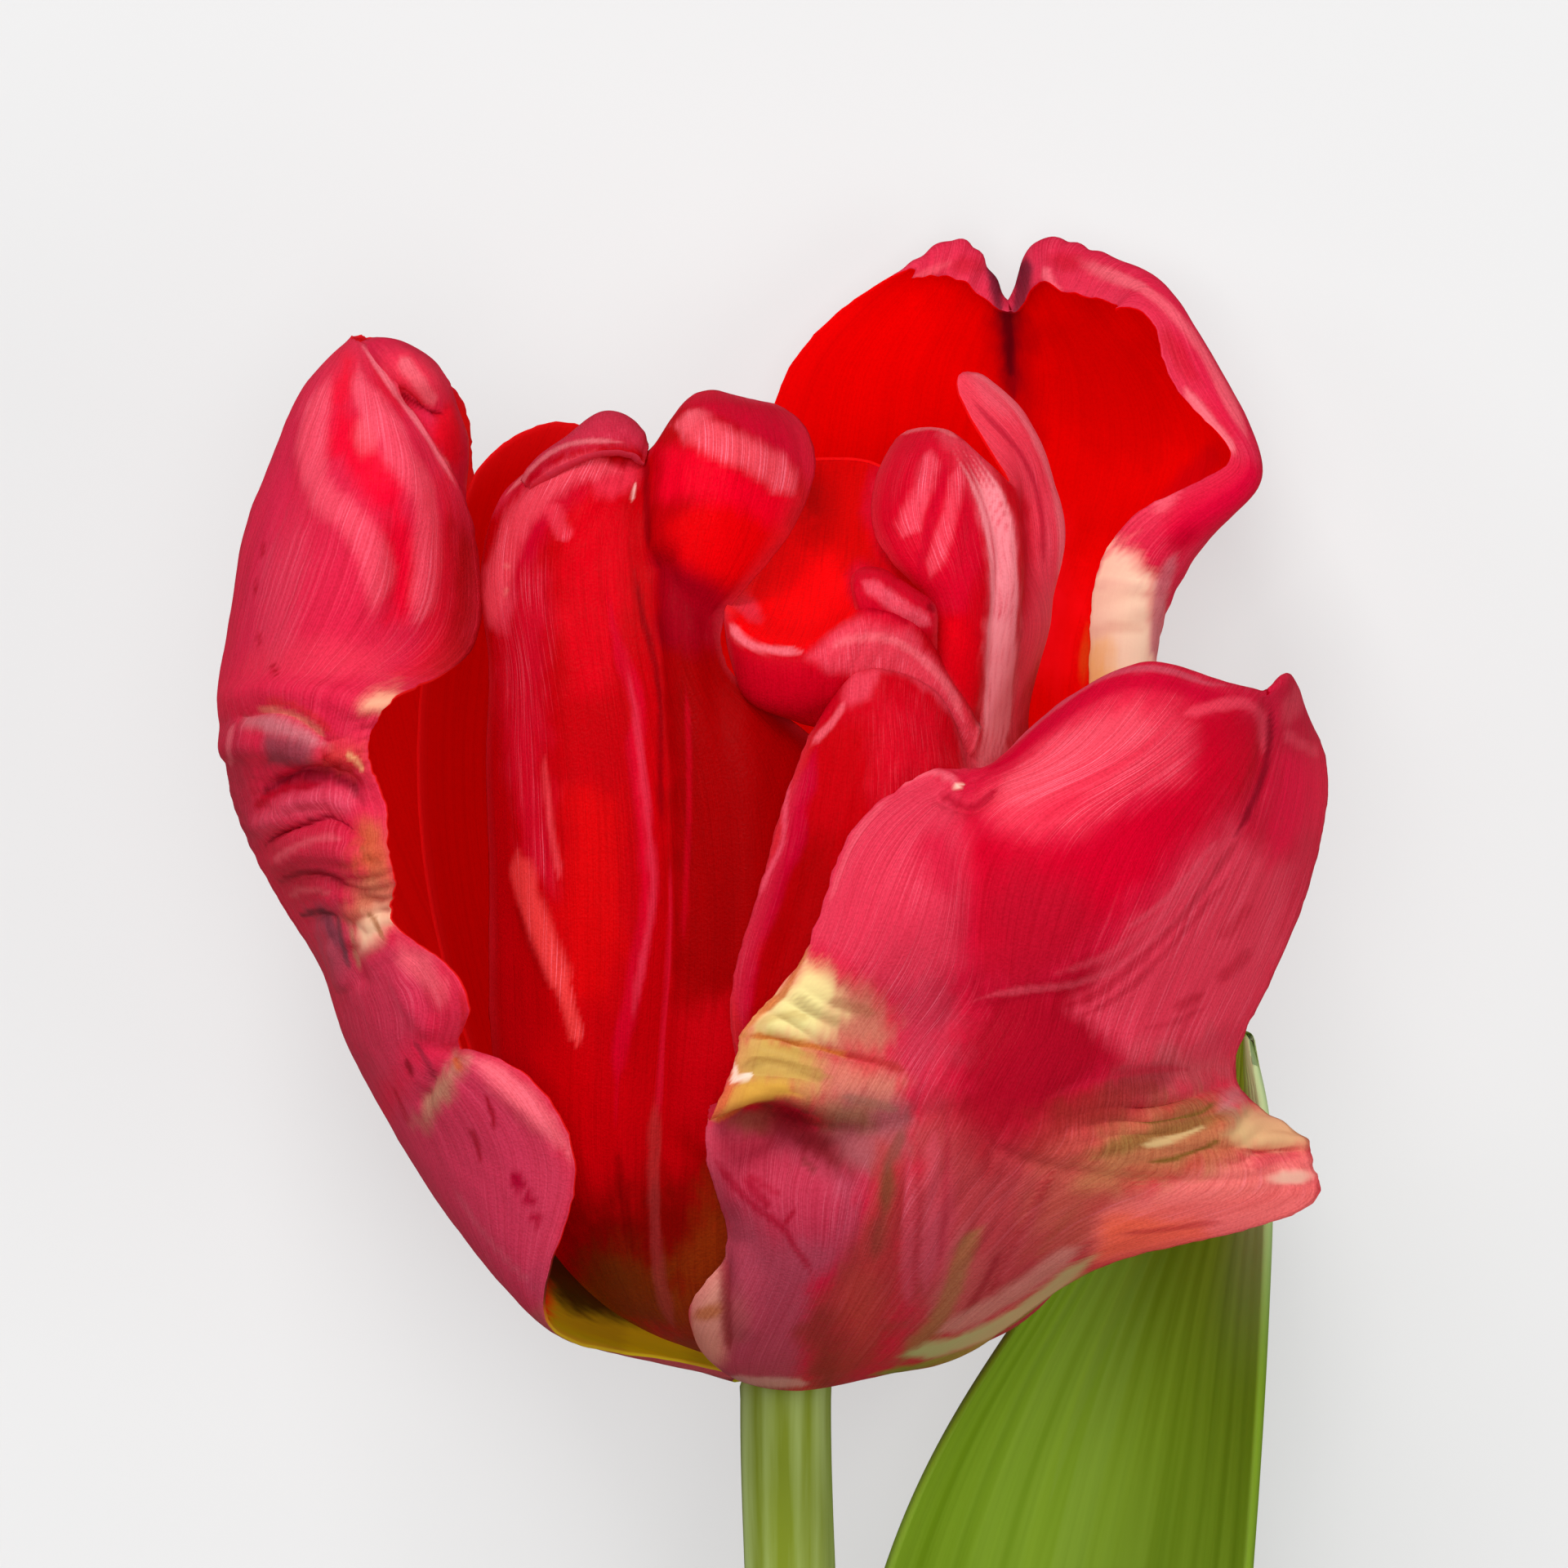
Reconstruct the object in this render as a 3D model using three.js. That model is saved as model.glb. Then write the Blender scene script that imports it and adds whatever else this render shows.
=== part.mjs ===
// A cut parrot tulip, lying on its back on a flat surface. Sizes are in millimetres.
// +X points to the bloom's right, +Y along the stem towards the bloom, and +Z up from the surface.
// Six crinkled tepals stand in two whorls round six stamens and a pistil.
// The long stem carries one clasping leaf and ends in a square cut.
import * as THREE from "three";

const stemRadius = 3.75;
const tepalThickness = 0.7;
const leafThickness = 0.8;
const axisHeight = 40; // the bloom's axis above the surface it lies on
const stamenCount = 6;
const stamenLean = 0.34; // how far a stamen leans out for each unit it rises
const stamenFoot = { radius: 2.1, height: 2.2 };
const sheetSteps = 2; // steps of a sheet between two of its rows, and between two points of a row
const stemSteps = 34;
const sides = { stem: 20, pistil: 24, stamen: 10 };

const colours = {
  outer_tepal_front: 0xc8305a,
  outer_tepal_left: 0xb8213f,
  outer_tepal_back: 0xd4161a,
  inner_tepal_front: 0xb0122a,
  inner_tepal_right: 0xbd1a30,
  inner_tepal_back: 0xc80e0c,
  stem: 0x7f9a55,
  leaf: 0x6f9a3c,
  pistil: 0xb9c46a,
  stamen: 0x2c1c2c,
};

const point = ([x, y, z]) => new THREE.Vector3(x, y, z);

// Evenly stepped points on the natural cubic spline through the given points.
function smoothThrough(points, steps) {
  const last = points.length - 1;
  const bend = points.map(() => new THREE.Vector3());
  const carry = new Array(last).fill(0);
  for (let i = 1; i < last; i++) {
    const pull = points[i - 1].clone().add(points[i + 1]).addScaledVector(points[i], -2);
    carry[i] = 1 / (4 - carry[i - 1]);
    bend[i].copy(pull.multiplyScalar(6).sub(bend[i - 1]).multiplyScalar(carry[i]));
  }
  for (let i = last - 1; i > 0; i--) bend[i].addScaledVector(bend[i + 1], -carry[i]);
  return Array.from({ length: steps + 1 }, (_, step) => {
    const along = (step / steps) * last;
    const i = Math.min(Math.floor(along), last - 1);
    const f = along - i;
    const g = 1 - f;
    return new THREE.Vector3()
      .addScaledVector(points[i], g)
      .addScaledVector(points[i + 1], f)
      .addScaledVector(bend[i], (g ** 3 - g) / 6)
      .addScaledVector(bend[i + 1], (f ** 3 - f) / 6);
  });
}

// A grid of points on the sheet through rows of points: grid[along][across].
function sheetThrough(rows) {
  const along = sheetSteps * (rows.length - 1);
  const across = sheetSteps * (rows[0].length - 1);
  const wide = rows.map((row) => smoothThrough(row.map(point), across));
  const lines = wide[0].map((_, j) => smoothThrough(wide.map((row) => row[j]), along));
  return Array.from({ length: along + 1 }, (_, i) => lines.map((line) => line[i]));
}

// The direction out of the sheet at a point of its grid, towards the outside of the bloom.
function normalAt(grid, i, j) {
  const clampRow = (row) => Math.min(Math.max(row, 0), grid.length - 1);
  const clampColumn = (column) => Math.min(Math.max(column, 0), grid[0].length - 1);
  const up = grid[clampRow(i + 1)][j].clone().sub(grid[clampRow(i - 1)][j]);
  const right = grid[i][clampColumn(j + 1)].clone().sub(grid[i][clampColumn(j - 1)]);
  return right.cross(up).normalize();
}

// A closed solid of even thickness on a grid of points. Both faces are split alike.
function solidSheet(grid, thickness) {
  const rows = grid.length;
  const columns = grid[0].length;
  const positions = [];
  for (const side of [0.5, -0.5]) {
    for (let i = 0; i < rows; i++)
      for (let j = 0; j < columns; j++) {
        const p = grid[i][j].clone().addScaledVector(normalAt(grid, i, j), side * thickness);
        positions.push(p.x, p.y, p.z);
      }
  }
  const front = (i, j) => i * columns + j;
  const back = (i, j) => rows * columns + i * columns + j;
  const index = [];
  for (let i = 0; i < rows - 1; i++)
    for (let j = 0; j < columns - 1; j++) {
      index.push(front(i, j), front(i, j + 1), front(i + 1, j + 1));
      index.push(front(i, j), front(i + 1, j + 1), front(i + 1, j));
      index.push(back(i, j), back(i + 1, j + 1), back(i, j + 1));
      index.push(back(i, j), back(i + 1, j), back(i + 1, j + 1));
    }
  const wall = (a, b) => {
    index.push(front(...b), front(...a), back(...a));
    index.push(front(...b), back(...a), back(...b));
  };
  for (let j = 0; j < columns - 1; j++) {
    wall([0, j], [0, j + 1]);
    wall([rows - 1, j + 1], [rows - 1, j]);
  }
  for (let i = 0; i < rows - 1; i++) {
    wall([i, columns - 1], [i + 1, columns - 1]);
    wall([i + 1, 0], [i, 0]);
  }
  const geometry = new THREE.BufferGeometry();
  geometry.setAttribute("position", new THREE.Float32BufferAttribute(positions, 3));
  geometry.setIndex(index);
  return geometry;
}

// The tepals. Each is a sheet through rows of points, from its claw on the receptacle to its tip.
// A row runs from left to right as seen from outside. [x, y, z] is measured from the receptacle,
// with y along the bloom's axis and z upwards.
const outerFront = [
  [[-3.4, 0.5, 2.0], [-2.6, 0.2, 3.2], [-1.2, 0.1, 4.0], [0.4, 0.1, 4.2],
   [1.9, 0.1, 3.9], [3.1, 0.2, 2.9], [3.8, 0.4, 1.6]],
  [[-5.2, 1.4, 6.3], [-4.4, 0.9, 8.9], [-2.6, 0.3, 10.8], [0.2, 0, 11.5],
   [3.2, 0.2, 11], [6, 0.7, 9], [8, 1.3, 6.5]],
  [[-7.7, 6.3, 20.5], [-6, 4.2, 20], [-2.5, 3.4, 20.5], [1.5, 3.6, 21.5],
   [5.5, 4, 21], [10, 4.2, 18], [14.5, 4.3, 13]],
  [[-4.5, 11.5, 25], [-2.5, 10.5, 27.5], [0.5, 10, 29.5], [4.5, 10, 30],
   [9.5, 10, 28.5], [15.5, 9.2, 24.5], [22.5, 10, 17.5]],
  [[-6.4, 18.3, 27.5], [-3.5, 16.8, 30], [0.5, 16, 32], [6, 16, 33],
   [13, 16, 31.5], [22, 14.5, 27], [33, 12.2, 19.5]],
  [[-6.6, 23, 27], [-3, 21.5, 28.5], [2, 20, 31], [8, 20, 33],
   [16, 20.5, 32.5], [28, 17.5, 26.5], [42.3, 15, 16]],
  [[-6.2, 22, 34], [-1.5, 23.3, 35], [3.5, 22.8, 34.5], [9.5, 22.5, 33.5],
   [17, 22.7, 32.6], [28.5, 20.3, 26.7], [42.2, 17.7, 16]],
  [[-4, 27.2, 34.5], [0, 26, 35], [4.5, 25.5, 35], [10, 25, 34],
   [18, 25, 32.5], [28.5, 22.5, 26.5], [41.3, 20.1, 15.5]],
  [[-0.3, 31.4, 34.5], [4, 30.5, 35], [8.5, 29.5, 34], [13, 29, 32.5],
   [20, 28.5, 31.5], [28.5, 26.5, 26], [36.3, 24.3, 15.5]],
  [[2.2, 37, 34.5], [5.5, 35.8, 36], [10, 34.5, 35], [15, 33.2, 32.5],
   [21, 32, 31.5], [30, 31, 26], [38.3, 30.8, 11]],
  [[5.4, 45, 31.5], [8.5, 42.5, 34.5], [12, 40.5, 35], [15.5, 39.5, 34],
   [23, 38.5, 35], [33, 38, 27], [41.6, 38.5, 5]],
  [[13, 49.1, 28], [13.8, 48, 30], [15, 47, 31.5], [19, 46, 35],
   [26, 45, 34.5], [36, 44.5, 24.5], [43.3, 44.5, 2]],
  [[16.5, 50.2, 27], [19.5, 50.8, 30], [23, 51, 32], [27.5, 50.8, 31.5],
   [32, 50.2, 28.5], [38.3, 50, 19], [43.8, 50, 0]],
  [[20, 53.3, 24.5], [24, 56, 26], [28.5, 57.4, 26], [33, 56.5, 24],
   [37.6, 55.4, 19], [41, 56.9, 11.5], [43.6, 54.4, 4]],
  [[22.3, 53.6, 20.5], [25.8, 55.6, 20.6], [29.5, 56.4, 19.6], [33.2, 55.8, 17.6],
   [36.6, 54.6, 14], [39.2, 55.8, 8.5], [41.3, 54.4, 3]],
];

const innerFront = [
  [[-3.2, 1.4, 0.7], [-3, 1.3, 1.6], [-2.4, 1.3, 2.4], [-1.6, 1.3, 2.9],
   [-0.7, 1.3, 3.2], [0.2, 1.4, 3.2], [1, 1.5, 3.1]],
  [[-8.4, 3.7, 3], [-8, 3.2, 5.4], [-6.9, 3, 7.7], [-5, 2.9, 9.3],
   [-2.5, 2.9, 9.9], [0, 3, 9.4], [2.3, 3.5, 7.9]],
  [[-15.6, 7.8, 4.6], [-14.6, 6.7, 8.8], [-12.3, 6, 12.2], [-9.4, 5.7, 14.4],
   [-5, 5.9, 16], [-0.5, 6.3, 15.4], [3.8, 7.2, 12.6]],
  [[-21.3, 14.5, 7], [-19.2, 13.5, 12.5], [-15.5, 13, 17], [-10.7, 12.6, 18.8],
   [-5.5, 13, 20.3], [-0.5, 13.5, 19.4], [4.3, 14, 16]],
  [[-23.3, 22.5, 8.5], [-21, 21.5, 14.5], [-16.8, 21, 19.7], [-10.4, 20.5, 21.2],
   [-5, 21, 23.5], [0.5, 21.5, 22.6], [6, 22, 19.2]],
  [[-24, 31.5, 9], [-21.3, 30.5, 15.5], [-16.6, 30, 21.5], [-9.8, 30, 23],
   [-4.5, 30, 25.6], [1, 30, 24.8], [7, 30, 21]],
  [[-24, 41, 9.5], [-21.5, 40.5, 16], [-16.6, 40, 22], [-9.4, 40, 23.4],
   [-4.5, 40, 25.8], [1, 40, 24.8], [7, 40, 21]],
  [[-24.2, 51, 9.5], [-22, 50.5, 15], [-17, 50, 21], [-10.4, 50, 22.4],
   [-5.5, 50, 24.8], [-0.5, 50, 23.8], [4.5, 50, 20.3]],
  [[-24, 58.5, 9.5], [-22.2, 58, 14], [-18, 57.5, 19.5], [-11.6, 57, 20.8],
   [-8, 57, 22.8], [-5.5, 57, 22.6], [-3.3, 56.5, 21.8]],
  [[-24.7, 64.5, 7.5], [-23.2, 64.3, 12], [-18.8, 63.5, 17.5], [-12.6, 63, 19],
   [-9, 63, 21.8], [-6.5, 62.8, 21.6], [-4.7, 62.3, 20.8]],
  [[-23.9, 70, 7], [-22.6, 70.2, 11.3], [-18.5, 69.5, 16.5], [-12.9, 68.7, 17],
   [-9, 69, 21], [-4.5, 68.5, 21.3], [-0.2, 68.2, 17.5]],
  [[-22, 73, 7], [-20.4, 73.8, 11], [-16.5, 74.3, 15], [-12.3, 72.6, 15],
   [-8, 75, 19.2], [-3, 75, 19], [2.3, 74.5, 13]],
  [[-19, 74.8, 6.5], [-17.4, 76.2, 9], [-14.8, 77.2, 12], [-11.6, 75, 13],
   [-8.2, 78.3, 14.8], [-3.5, 78.8, 14.5], [1, 78.2, 10]],
  [[-17, 76.8, 4.5], [-15.2, 78, 6.5], [-13, 78, 9], [-11, 75.8, 11.5],
   [-7.8, 79.9, 11.2], [-4, 80.1, 9.5], [-0.9, 79.5, 7.5]],
];

const innerRight = [
  [[2.1, 1.5, 2.5], [2.6, 1.4, 1.9], [3, 1.3, 1.1], [3.25, 1.3, 0.4],
   [3.25, 1.3, -0.4], [3, 1.3, -1.1], [2.6, 1.4, -1.9], [2.1, 1.5, -2.5]],
  [[5.4, 3.6, 7.6], [7.3, 3.1, 6.2], [8.9, 2.9, 4.1], [9.9, 2.9, 1.6],
   [9.9, 2.9, -1.6], [9.1, 2.9, -4.2], [7.6, 3.1, -6.4], [5.4, 3.6, -8]],
  [[9, 7.4, 13.3], [12.6, 6.3, 11.4], [15.6, 5.7, 8], [17.3, 5.6, 3.2],
   [17.3, 5.6, -2.6], [15.5, 5.7, -7.8], [12.6, 6.3, -11.8], [9, 7.4, -14.8]],
  [[11.5, 13.5, 18.6], [15.8, 12, 16.3], [19.6, 11.1, 11.6], [22, 10.8, 5],
   [22, 10.8, -3], [19.8, 11.1, -9.8], [15.8, 12, -15.2], [11.3, 13.5, -19]],
  [[4, 22, 25.3], [12.5, 20.9, 24.3], [19.6, 20, 18.8], [24.6, 19.5, 9.5],
   [25.2, 19.5, -1], [22.6, 20, -10.8], [17.4, 21, -18], [11, 23, -22.3]],
  [[-4.4, 31.5, 28.5], [4, 31, 29.3], [13.5, 30.6, 27.3], [22, 30.2, 19.5],
   [26.6, 30, 8], [26, 30.2, -4.5], [21, 31, -15], [13.5, 32, -21.5]],
  [[-1.6, 41.5, 29], [5, 41, 29.5], [12.5, 40.7, 27.8], [20, 40.2, 20.5],
   [25, 40, 9.5], [25.3, 40, -3], [20.8, 40.5, -13], [14, 41, -19]],
  [[0.6, 49, 28], [4.8, 49, 27.8], [10, 48.7, 25.5], [15.5, 48.2, 21],
   [19.8, 48, 13], [22, 48, 2], [19.8, 48.5, -8.5], [14.5, 49, -14]],
  [[2.4, 54.2, 26.6], [5.4, 57.4, 25.6], [9.3, 57.2, 23], [13, 54.6, 20],
   [16.5, 52.5, 14.5], [19, 52, 5], [19, 52.3, -4], [16, 53, -9]],
  [[-3, 54.8, 24], [1.6, 55.4, 22.6], [7.4, 56.4, 19.5], [12.4, 54.6, 17.3],
   [16.6, 53.2, 13], [18.4, 53.8, 5], [18.6, 54.3, -2.5], [16, 55, -8]],
  [[-4.7, 61.5, 23.6], [0.4, 59, 21.5], [6.4, 61.6, 19], [12, 58.4, 16.6],
   [16.6, 57.5, 13.5], [18.2, 58.2, 7.5], [19.8, 58.8, 0], [17, 59.5, -6.5]],
  [[0.2, 66, 12.5], [3.6, 62.8, 14.5], [7.6, 62.6, 15], [12.2, 60.6, 15.2],
   [16.8, 60.2, 13.6], [18.3, 60.8, 8.2], [20.8, 61.3, 1], [18, 62, -6]],
  [[5.4, 65.2, 12], [7.6, 65.8, 14.2], [10.8, 64.2, 15.4], [14.5, 62.8, 16.5],
   [18.8, 62.8, 13.5], [18.6, 63.5, 8.5], [21.6, 64, 2], [19, 64.5, -5.5]],
  [[6.8, 69.6, 10], [8.6, 69.8, 13.5], [12, 69.5, 15.8], [15.5, 69, 15.8],
   [19.2, 68.5, 12.5], [18.9, 69.5, 8], [22.3, 70, 2], [20, 70.5, -5]],
  [[7.9, 74.5, 8], [9.8, 74.7, 11], [12.5, 74.8, 12.8], [15.5, 73.5, 13],
   [18.9, 70.8, 12], [18.5, 74, 7.3], [20.8, 75, 1.5], [19.3, 75.5, -4.5]],
  [[9.1, 76.5, 5.5], [10.8, 76.9, 7.5], [12.8, 76.8, 9], [15, 75.3, 10.3],
   [18.9, 71.9, 11.5], [16.4, 77, 5.6], [18.4, 79.3, 1], [18.3, 79.4, -4]],
  [[9.3, 76.8, 4.5], [11, 77.2, 6.3], [13, 77.1, 7.8], [15.2, 75.5, 9],
   [18.6, 73, 11], [14, 80, 4], [15.2, 82.2, 0.5], [16.9, 81.3, -3]],
];

const outerLeft = [
  [[-1.6, 0.5, -3.7], [-2.8, 0.3, -3], [-3.7, 0.2, -1.9], [-4.1, 0.2, -0.8],
   [-4.25, 0.3, -0.1], [-4.2, 0.4, 0.5], [-4.05, 0.6, 1.1]],
  [[-4.7, 1.2, -9.4], [-7.2, 1.2, -7.7], [-9.3, 1.5, -4.9], [-10.3, 1.8, -2],
   [-10.6, 1.9, 0.3], [-10.3, 1.8, 2.2], [-9.7, 1.9, 4]],
  [[-8.4, 4.3, -19.5], [-13.2, 3.6, -15.4], [-16.8, 3.6, -9.6], [-18.2, 4.2, -3.5],
   [-18.1, 4.3, 1.5], [-17, 3.7, 5.5], [-15.2, 2.8, 9]],
  [[-12, 10, -26], [-17.8, 8.2, -21], [-22.2, 7.8, -12.5], [-23.5, 8.6, -3.5],
   [-23.1, 8.4, 4], [-21.6, 7, 10.5], [-19.3, 5.4, 15.5]],
  [[-14, 17, -30], [-20.5, 15, -25], [-26, 14.5, -15.5], [-28, 14.8, -4],
   [-27.3, 14, 6], [-24.3, 12.5, 15], [-18.4, 11.5, 20.5]],
  [[-16, 25, -34], [-23, 22.5, -28], [-29.3, 21.3, -17.5], [-31.8, 21, -5],
   [-30.8, 20, 7.5], [-25.8, 19, 18], [-17, 18.7, 24.5]],
  [[-17.5, 31, -37], [-25.5, 28, -30.5], [-31.5, 26, -19], [-34.3, 25.5, -6],
   [-33.2, 24.5, 7.5], [-28.3, 23.7, 19], [-21, 24.4, 25]],
  [[-18.5, 35, -38.6], [-27, 31.5, -31], [-33.3, 29.2, -19.5], [-35.8, 28.5, -6],
   [-34.8, 27.8, 7.5], [-31, 27.4, 17.5], [-25.4, 27.8, 22.5]],
  [[-19, 37.5, -39], [-27.6, 34, -31], [-34.2, 31.8, -19.5], [-36.6, 31, -6],
   [-35.6, 30.4, 8], [-31.5, 30.2, 18.5], [-25.5, 30.6, 24.5]],
  [[-20, 40.5, -39.6], [-28.7, 37, -31], [-35.4, 34.5, -19.5], [-37.6, 33.7, -6],
   [-36.6, 33.4, 8], [-33, 33.6, 18], [-27.6, 34.4, 24]],
  [[-21, 44, -39.8], [-30, 40, -31], [-37, 37.6, -19], [-39.5, 36.8, -6],
   [-38, 36.8, 8], [-35.3, 37, 16.5], [-31.6, 37.4, 20.5]],
  [[-21.5, 47.5, -39.8], [-31.3, 43.5, -31], [-38.8, 41, -19], [-41.7, 40.2, -6],
   [-39.8, 40, 8], [-36.7, 40.2, 17], [-31.5, 40.2, 22]],
  [[-22, 51, -39.8], [-32.4, 47, -31], [-40.6, 44.7, -19], [-43.6, 44, -6],
   [-41.8, 43.6, 7.5], [-37.5, 43.6, 18.5], [-32, 43.4, 22.5]],
  [[-22.7, 55, -39.8], [-33.4, 50.7, -30.6], [-42, 48.4, -18.5], [-45, 47.6, -5.5],
   [-43, 47.2, 7], [-38.3, 47, 16.2], [-32.3, 47, 21]],
  [[-23.3, 59, -38.4], [-34.2, 54.5, -30], [-42.9, 52, -18], [-45.6, 51.3, -5],
   [-44.2, 50.8, 8], [-39.5, 50.6, 17.5], [-33.5, 50.5, 21.5]],
  [[-24, 62.5, -36], [-34.7, 57.8, -28.6], [-43.3, 55.5, -17], [-46, 54.6, -4.5],
   [-44.8, 54, 9], [-39.8, 53.8, 19], [-33.2, 53.2, 21.5]],
  [[-24.6, 66, -33], [-35, 61, -26.8], [-43.4, 58.8, -15.8], [-45.9, 57.8, -3.5],
   [-44.2, 57, 9.5], [-38.6, 57, 19], [-30.8, 56, 21.5]],
  [[-25.2, 70, -29], [-35.2, 66, -23.5], [-43, 63.8, -13], [-45, 62.8, -2],
   [-42.8, 62.3, 10.5], [-35.5, 62, 19.2], [-25.6, 59.5, 9]],
  [[-25.8, 74, -23], [-34.8, 71.5, -18.5], [-42, 69.8, -9.5], [-43.9, 69, 0.5],
   [-41, 68.3, 11.5], [-33.5, 68, 18.5], [-25, 66.5, 5]],
  [[-26, 78.3, -15], [-33, 77.3, -12], [-39.2, 76, -5.5], [-41.6, 75, 2.5],
   [-38.6, 74.5, 11], [-32.4, 74, 16.5], [-26.3, 72.2, 8]],
  [[-27.2, 81, -8], [-31.5, 82, -6.5], [-36.3, 81.7, -2.5], [-38.9, 81, 3],
   [-37, 80.5, 9], [-33.3, 79.6, 12], [-29.6, 78, 11.5]],
  [[-29.5, 83.7, -2.5], [-31.8, 84.6, -1.8], [-33.7, 85.1, -0.2], [-35, 85.2, 1.8],
   [-35.3, 85, 4], [-34.6, 84.6, 6], [-33.2, 84, 7.2]],
];

const outerBack = [
  [[4.2, 0.5, 0.4], [4.1, 0.2, -0.9], [3.5, 0.1, -2.3], [2.5, 0.1, -3.4],
   [1.2, 0.2, -4.05], [0, 0.3, -4.2], [-0.9, 0.5, -4.1]],
  [[10.4, 1.5, -0.4], [9.9, 1.3, -3.4], [8.6, 1.1, -6.2], [6.5, 1, -8.5],
   [3.8, 1.1, -10], [1.2, 1.3, -10.4], [-1.5, 1.8, -10]],
  [[18, 4.3, -1.8], [17.4, 3.9, -6.8], [15.2, 3.5, -11.8], [11.5, 3.3, -16.3],
   [6.8, 3.3, -19.2], [2, 3.8, -20], [-2.6, 5, -19]],
  [[24, 10.3, -4.8], [23, 9.8, -11.5], [20, 9.5, -18.5], [15, 9.5, -24.3],
   [9, 9.8, -27.8], [3, 10.8, -28.3], [-3.2, 12.6, -26.8]],
  [[28, 22, -11.5], [27, 21.5, -19], [23.3, 21, -27], [17.3, 20.5, -32.5],
   [10, 21, -35], [3, 22, -35], [-4.2, 24, -32.5]],
  [[28, 36, -13.5], [29, 35, -21], [26, 34, -30.5], [19.5, 33, -36.8],
   [11, 33, -39.3], [3, 34, -38.8], [-5, 36, -35.8]],
  [[25.5, 48, -15], [29.5, 47.5, -19], [28, 47, -29], [21.5, 46, -37.2],
   [12.5, 46, -39.9], [3.5, 47, -39.3], [-5.5, 48, -36.3]],
  [[25, 58.5, -16], [29.7, 58.5, -19], [29.2, 58.5, -28], [22.5, 58.5, -36.8],
   [13, 58.5, -39.9], [4, 59, -39], [-5, 60, -35.8]],
  [[25.4, 65, -15.5], [31, 64.5, -18.5], [31, 65, -28.5], [24, 65.3, -36.5],
   [14, 65, -39.4], [5, 65.5, -38.3], [-4.5, 66.5, -35]],
  [[29.3, 71.2, -15.5], [35, 69.9, -17.5], [34.2, 71, -27], [26, 71.5, -35.8],
   [15.5, 71, -38.5], [6.5, 71, -37.2], [-3.5, 71.5, -33.8]],
  [[36.6, 75.4, -18], [39.2, 74.3, -20], [36.4, 76, -28], [27, 77, -35],
   [17, 77, -37], [8, 76.5, -35.5], [-2, 76.5, -32]],
  [[32.6, 80.8, -20], [36.7, 81.4, -22], [33.7, 82.5, -29], [26, 83, -34],
   [18.3, 83, -35], [9, 82.5, -34.5], [0, 82.5, -31]],
  [[30.5, 86.3, -22], [32.5, 88.2, -25], [28.7, 88.7, -31], [23, 88, -33.5],
   [18.5, 86.3, -33], [11.5, 87.5, -33.5], [4.6, 88, -31.5]],
  [[28.5, 88, -22.5], [29.4, 90.6, -26], [25.3, 92.7, -29.5], [20.6, 93, -31],
   [18.6, 88, -31.5], [15.2, 93, -31.5], [10, 91.3, -30.5]],
  [[27.3, 87.9, -22], [27, 88.1, -23.5], [23, 88.6, -25], [20.5, 89.6, -27],
   [18.7, 87.4, -30], [15, 88.5, -27.5], [10, 88.3, -28]],
];

const innerBack = [
  [[1, 1.5, -3.1], [0.2, 1.4, -3.2], [-0.7, 1.3, -3.2], [-1.6, 1.3, -2.9],
   [-2.4, 1.3, -2.4], [-3, 1.3, -1.6], [-3.2, 1.4, -0.7]],
  [[2.4, 3.8, -8.4], [0.2, 3.3, -9.6], [-2.3, 3, -10.2], [-4.8, 2.9, -9.7],
   [-6.8, 3, -8.1], [-8, 3.2, -5.6], [-8.5, 3.8, -3.2]],
  [[4, 8, -14.8], [-0.2, 6.8, -17.2], [-5, 6.2, -17.8], [-9.6, 6, -16.3],
   [-13, 6.3, -12.6], [-15, 7, -8.2], [-15.8, 8.2, -3.6]],
  [[5.5, 15, -19.5], [0.3, 13.8, -22.3], [-6, 13.2, -23], [-12, 13.2, -21.2],
   [-17, 13.5, -16.2], [-20, 14.2, -9.8], [-21.2, 15.2, -2.5]],
  [[7, 26, -22], [0.8, 25.5, -26], [-6.5, 25, -27.8], [-13.5, 25, -26],
   [-20.2, 25.3, -20.5], [-24.4, 26, -12.2], [-25.8, 27, -2.5]],
  [[8.5, 39, -22.5], [1.5, 38, -28], [-6.5, 38, -30.5], [-14.5, 38, -29],
   [-22.5, 38, -23], [-27.5, 38.5, -13], [-29, 39, -2]],
  [[10, 52, -21], [2.5, 51, -27.5], [-6.5, 51, -30.5], [-15, 51, -29],
   [-23.5, 51, -22.5], [-28.5, 51, -12.5], [-30, 51, -2]],
  [[11, 63, -18.5], [3.5, 62.5, -25], [-5.5, 62.5, -28.5], [-14.5, 62.5, -27],
   [-22.5, 62.5, -20.5], [-27.5, 62, -11.5], [-29, 61.5, -2.5]],
  [[10.5, 70.5, -15], [4, 71, -21], [-5, 72, -24.5], [-14, 72, -23],
   [-21.5, 71.5, -17], [-25.8, 70.5, -9.5], [-27, 69, -3]],
  [[8.5, 73.8, -12], [4, 74.8, -17], [-4, 75.6, -20], [-11.5, 75.6, -19],
   [-18, 78.4, -15.5], [-24, 75.8, -9], [-26.2, 72, -4.5]],
];

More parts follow.
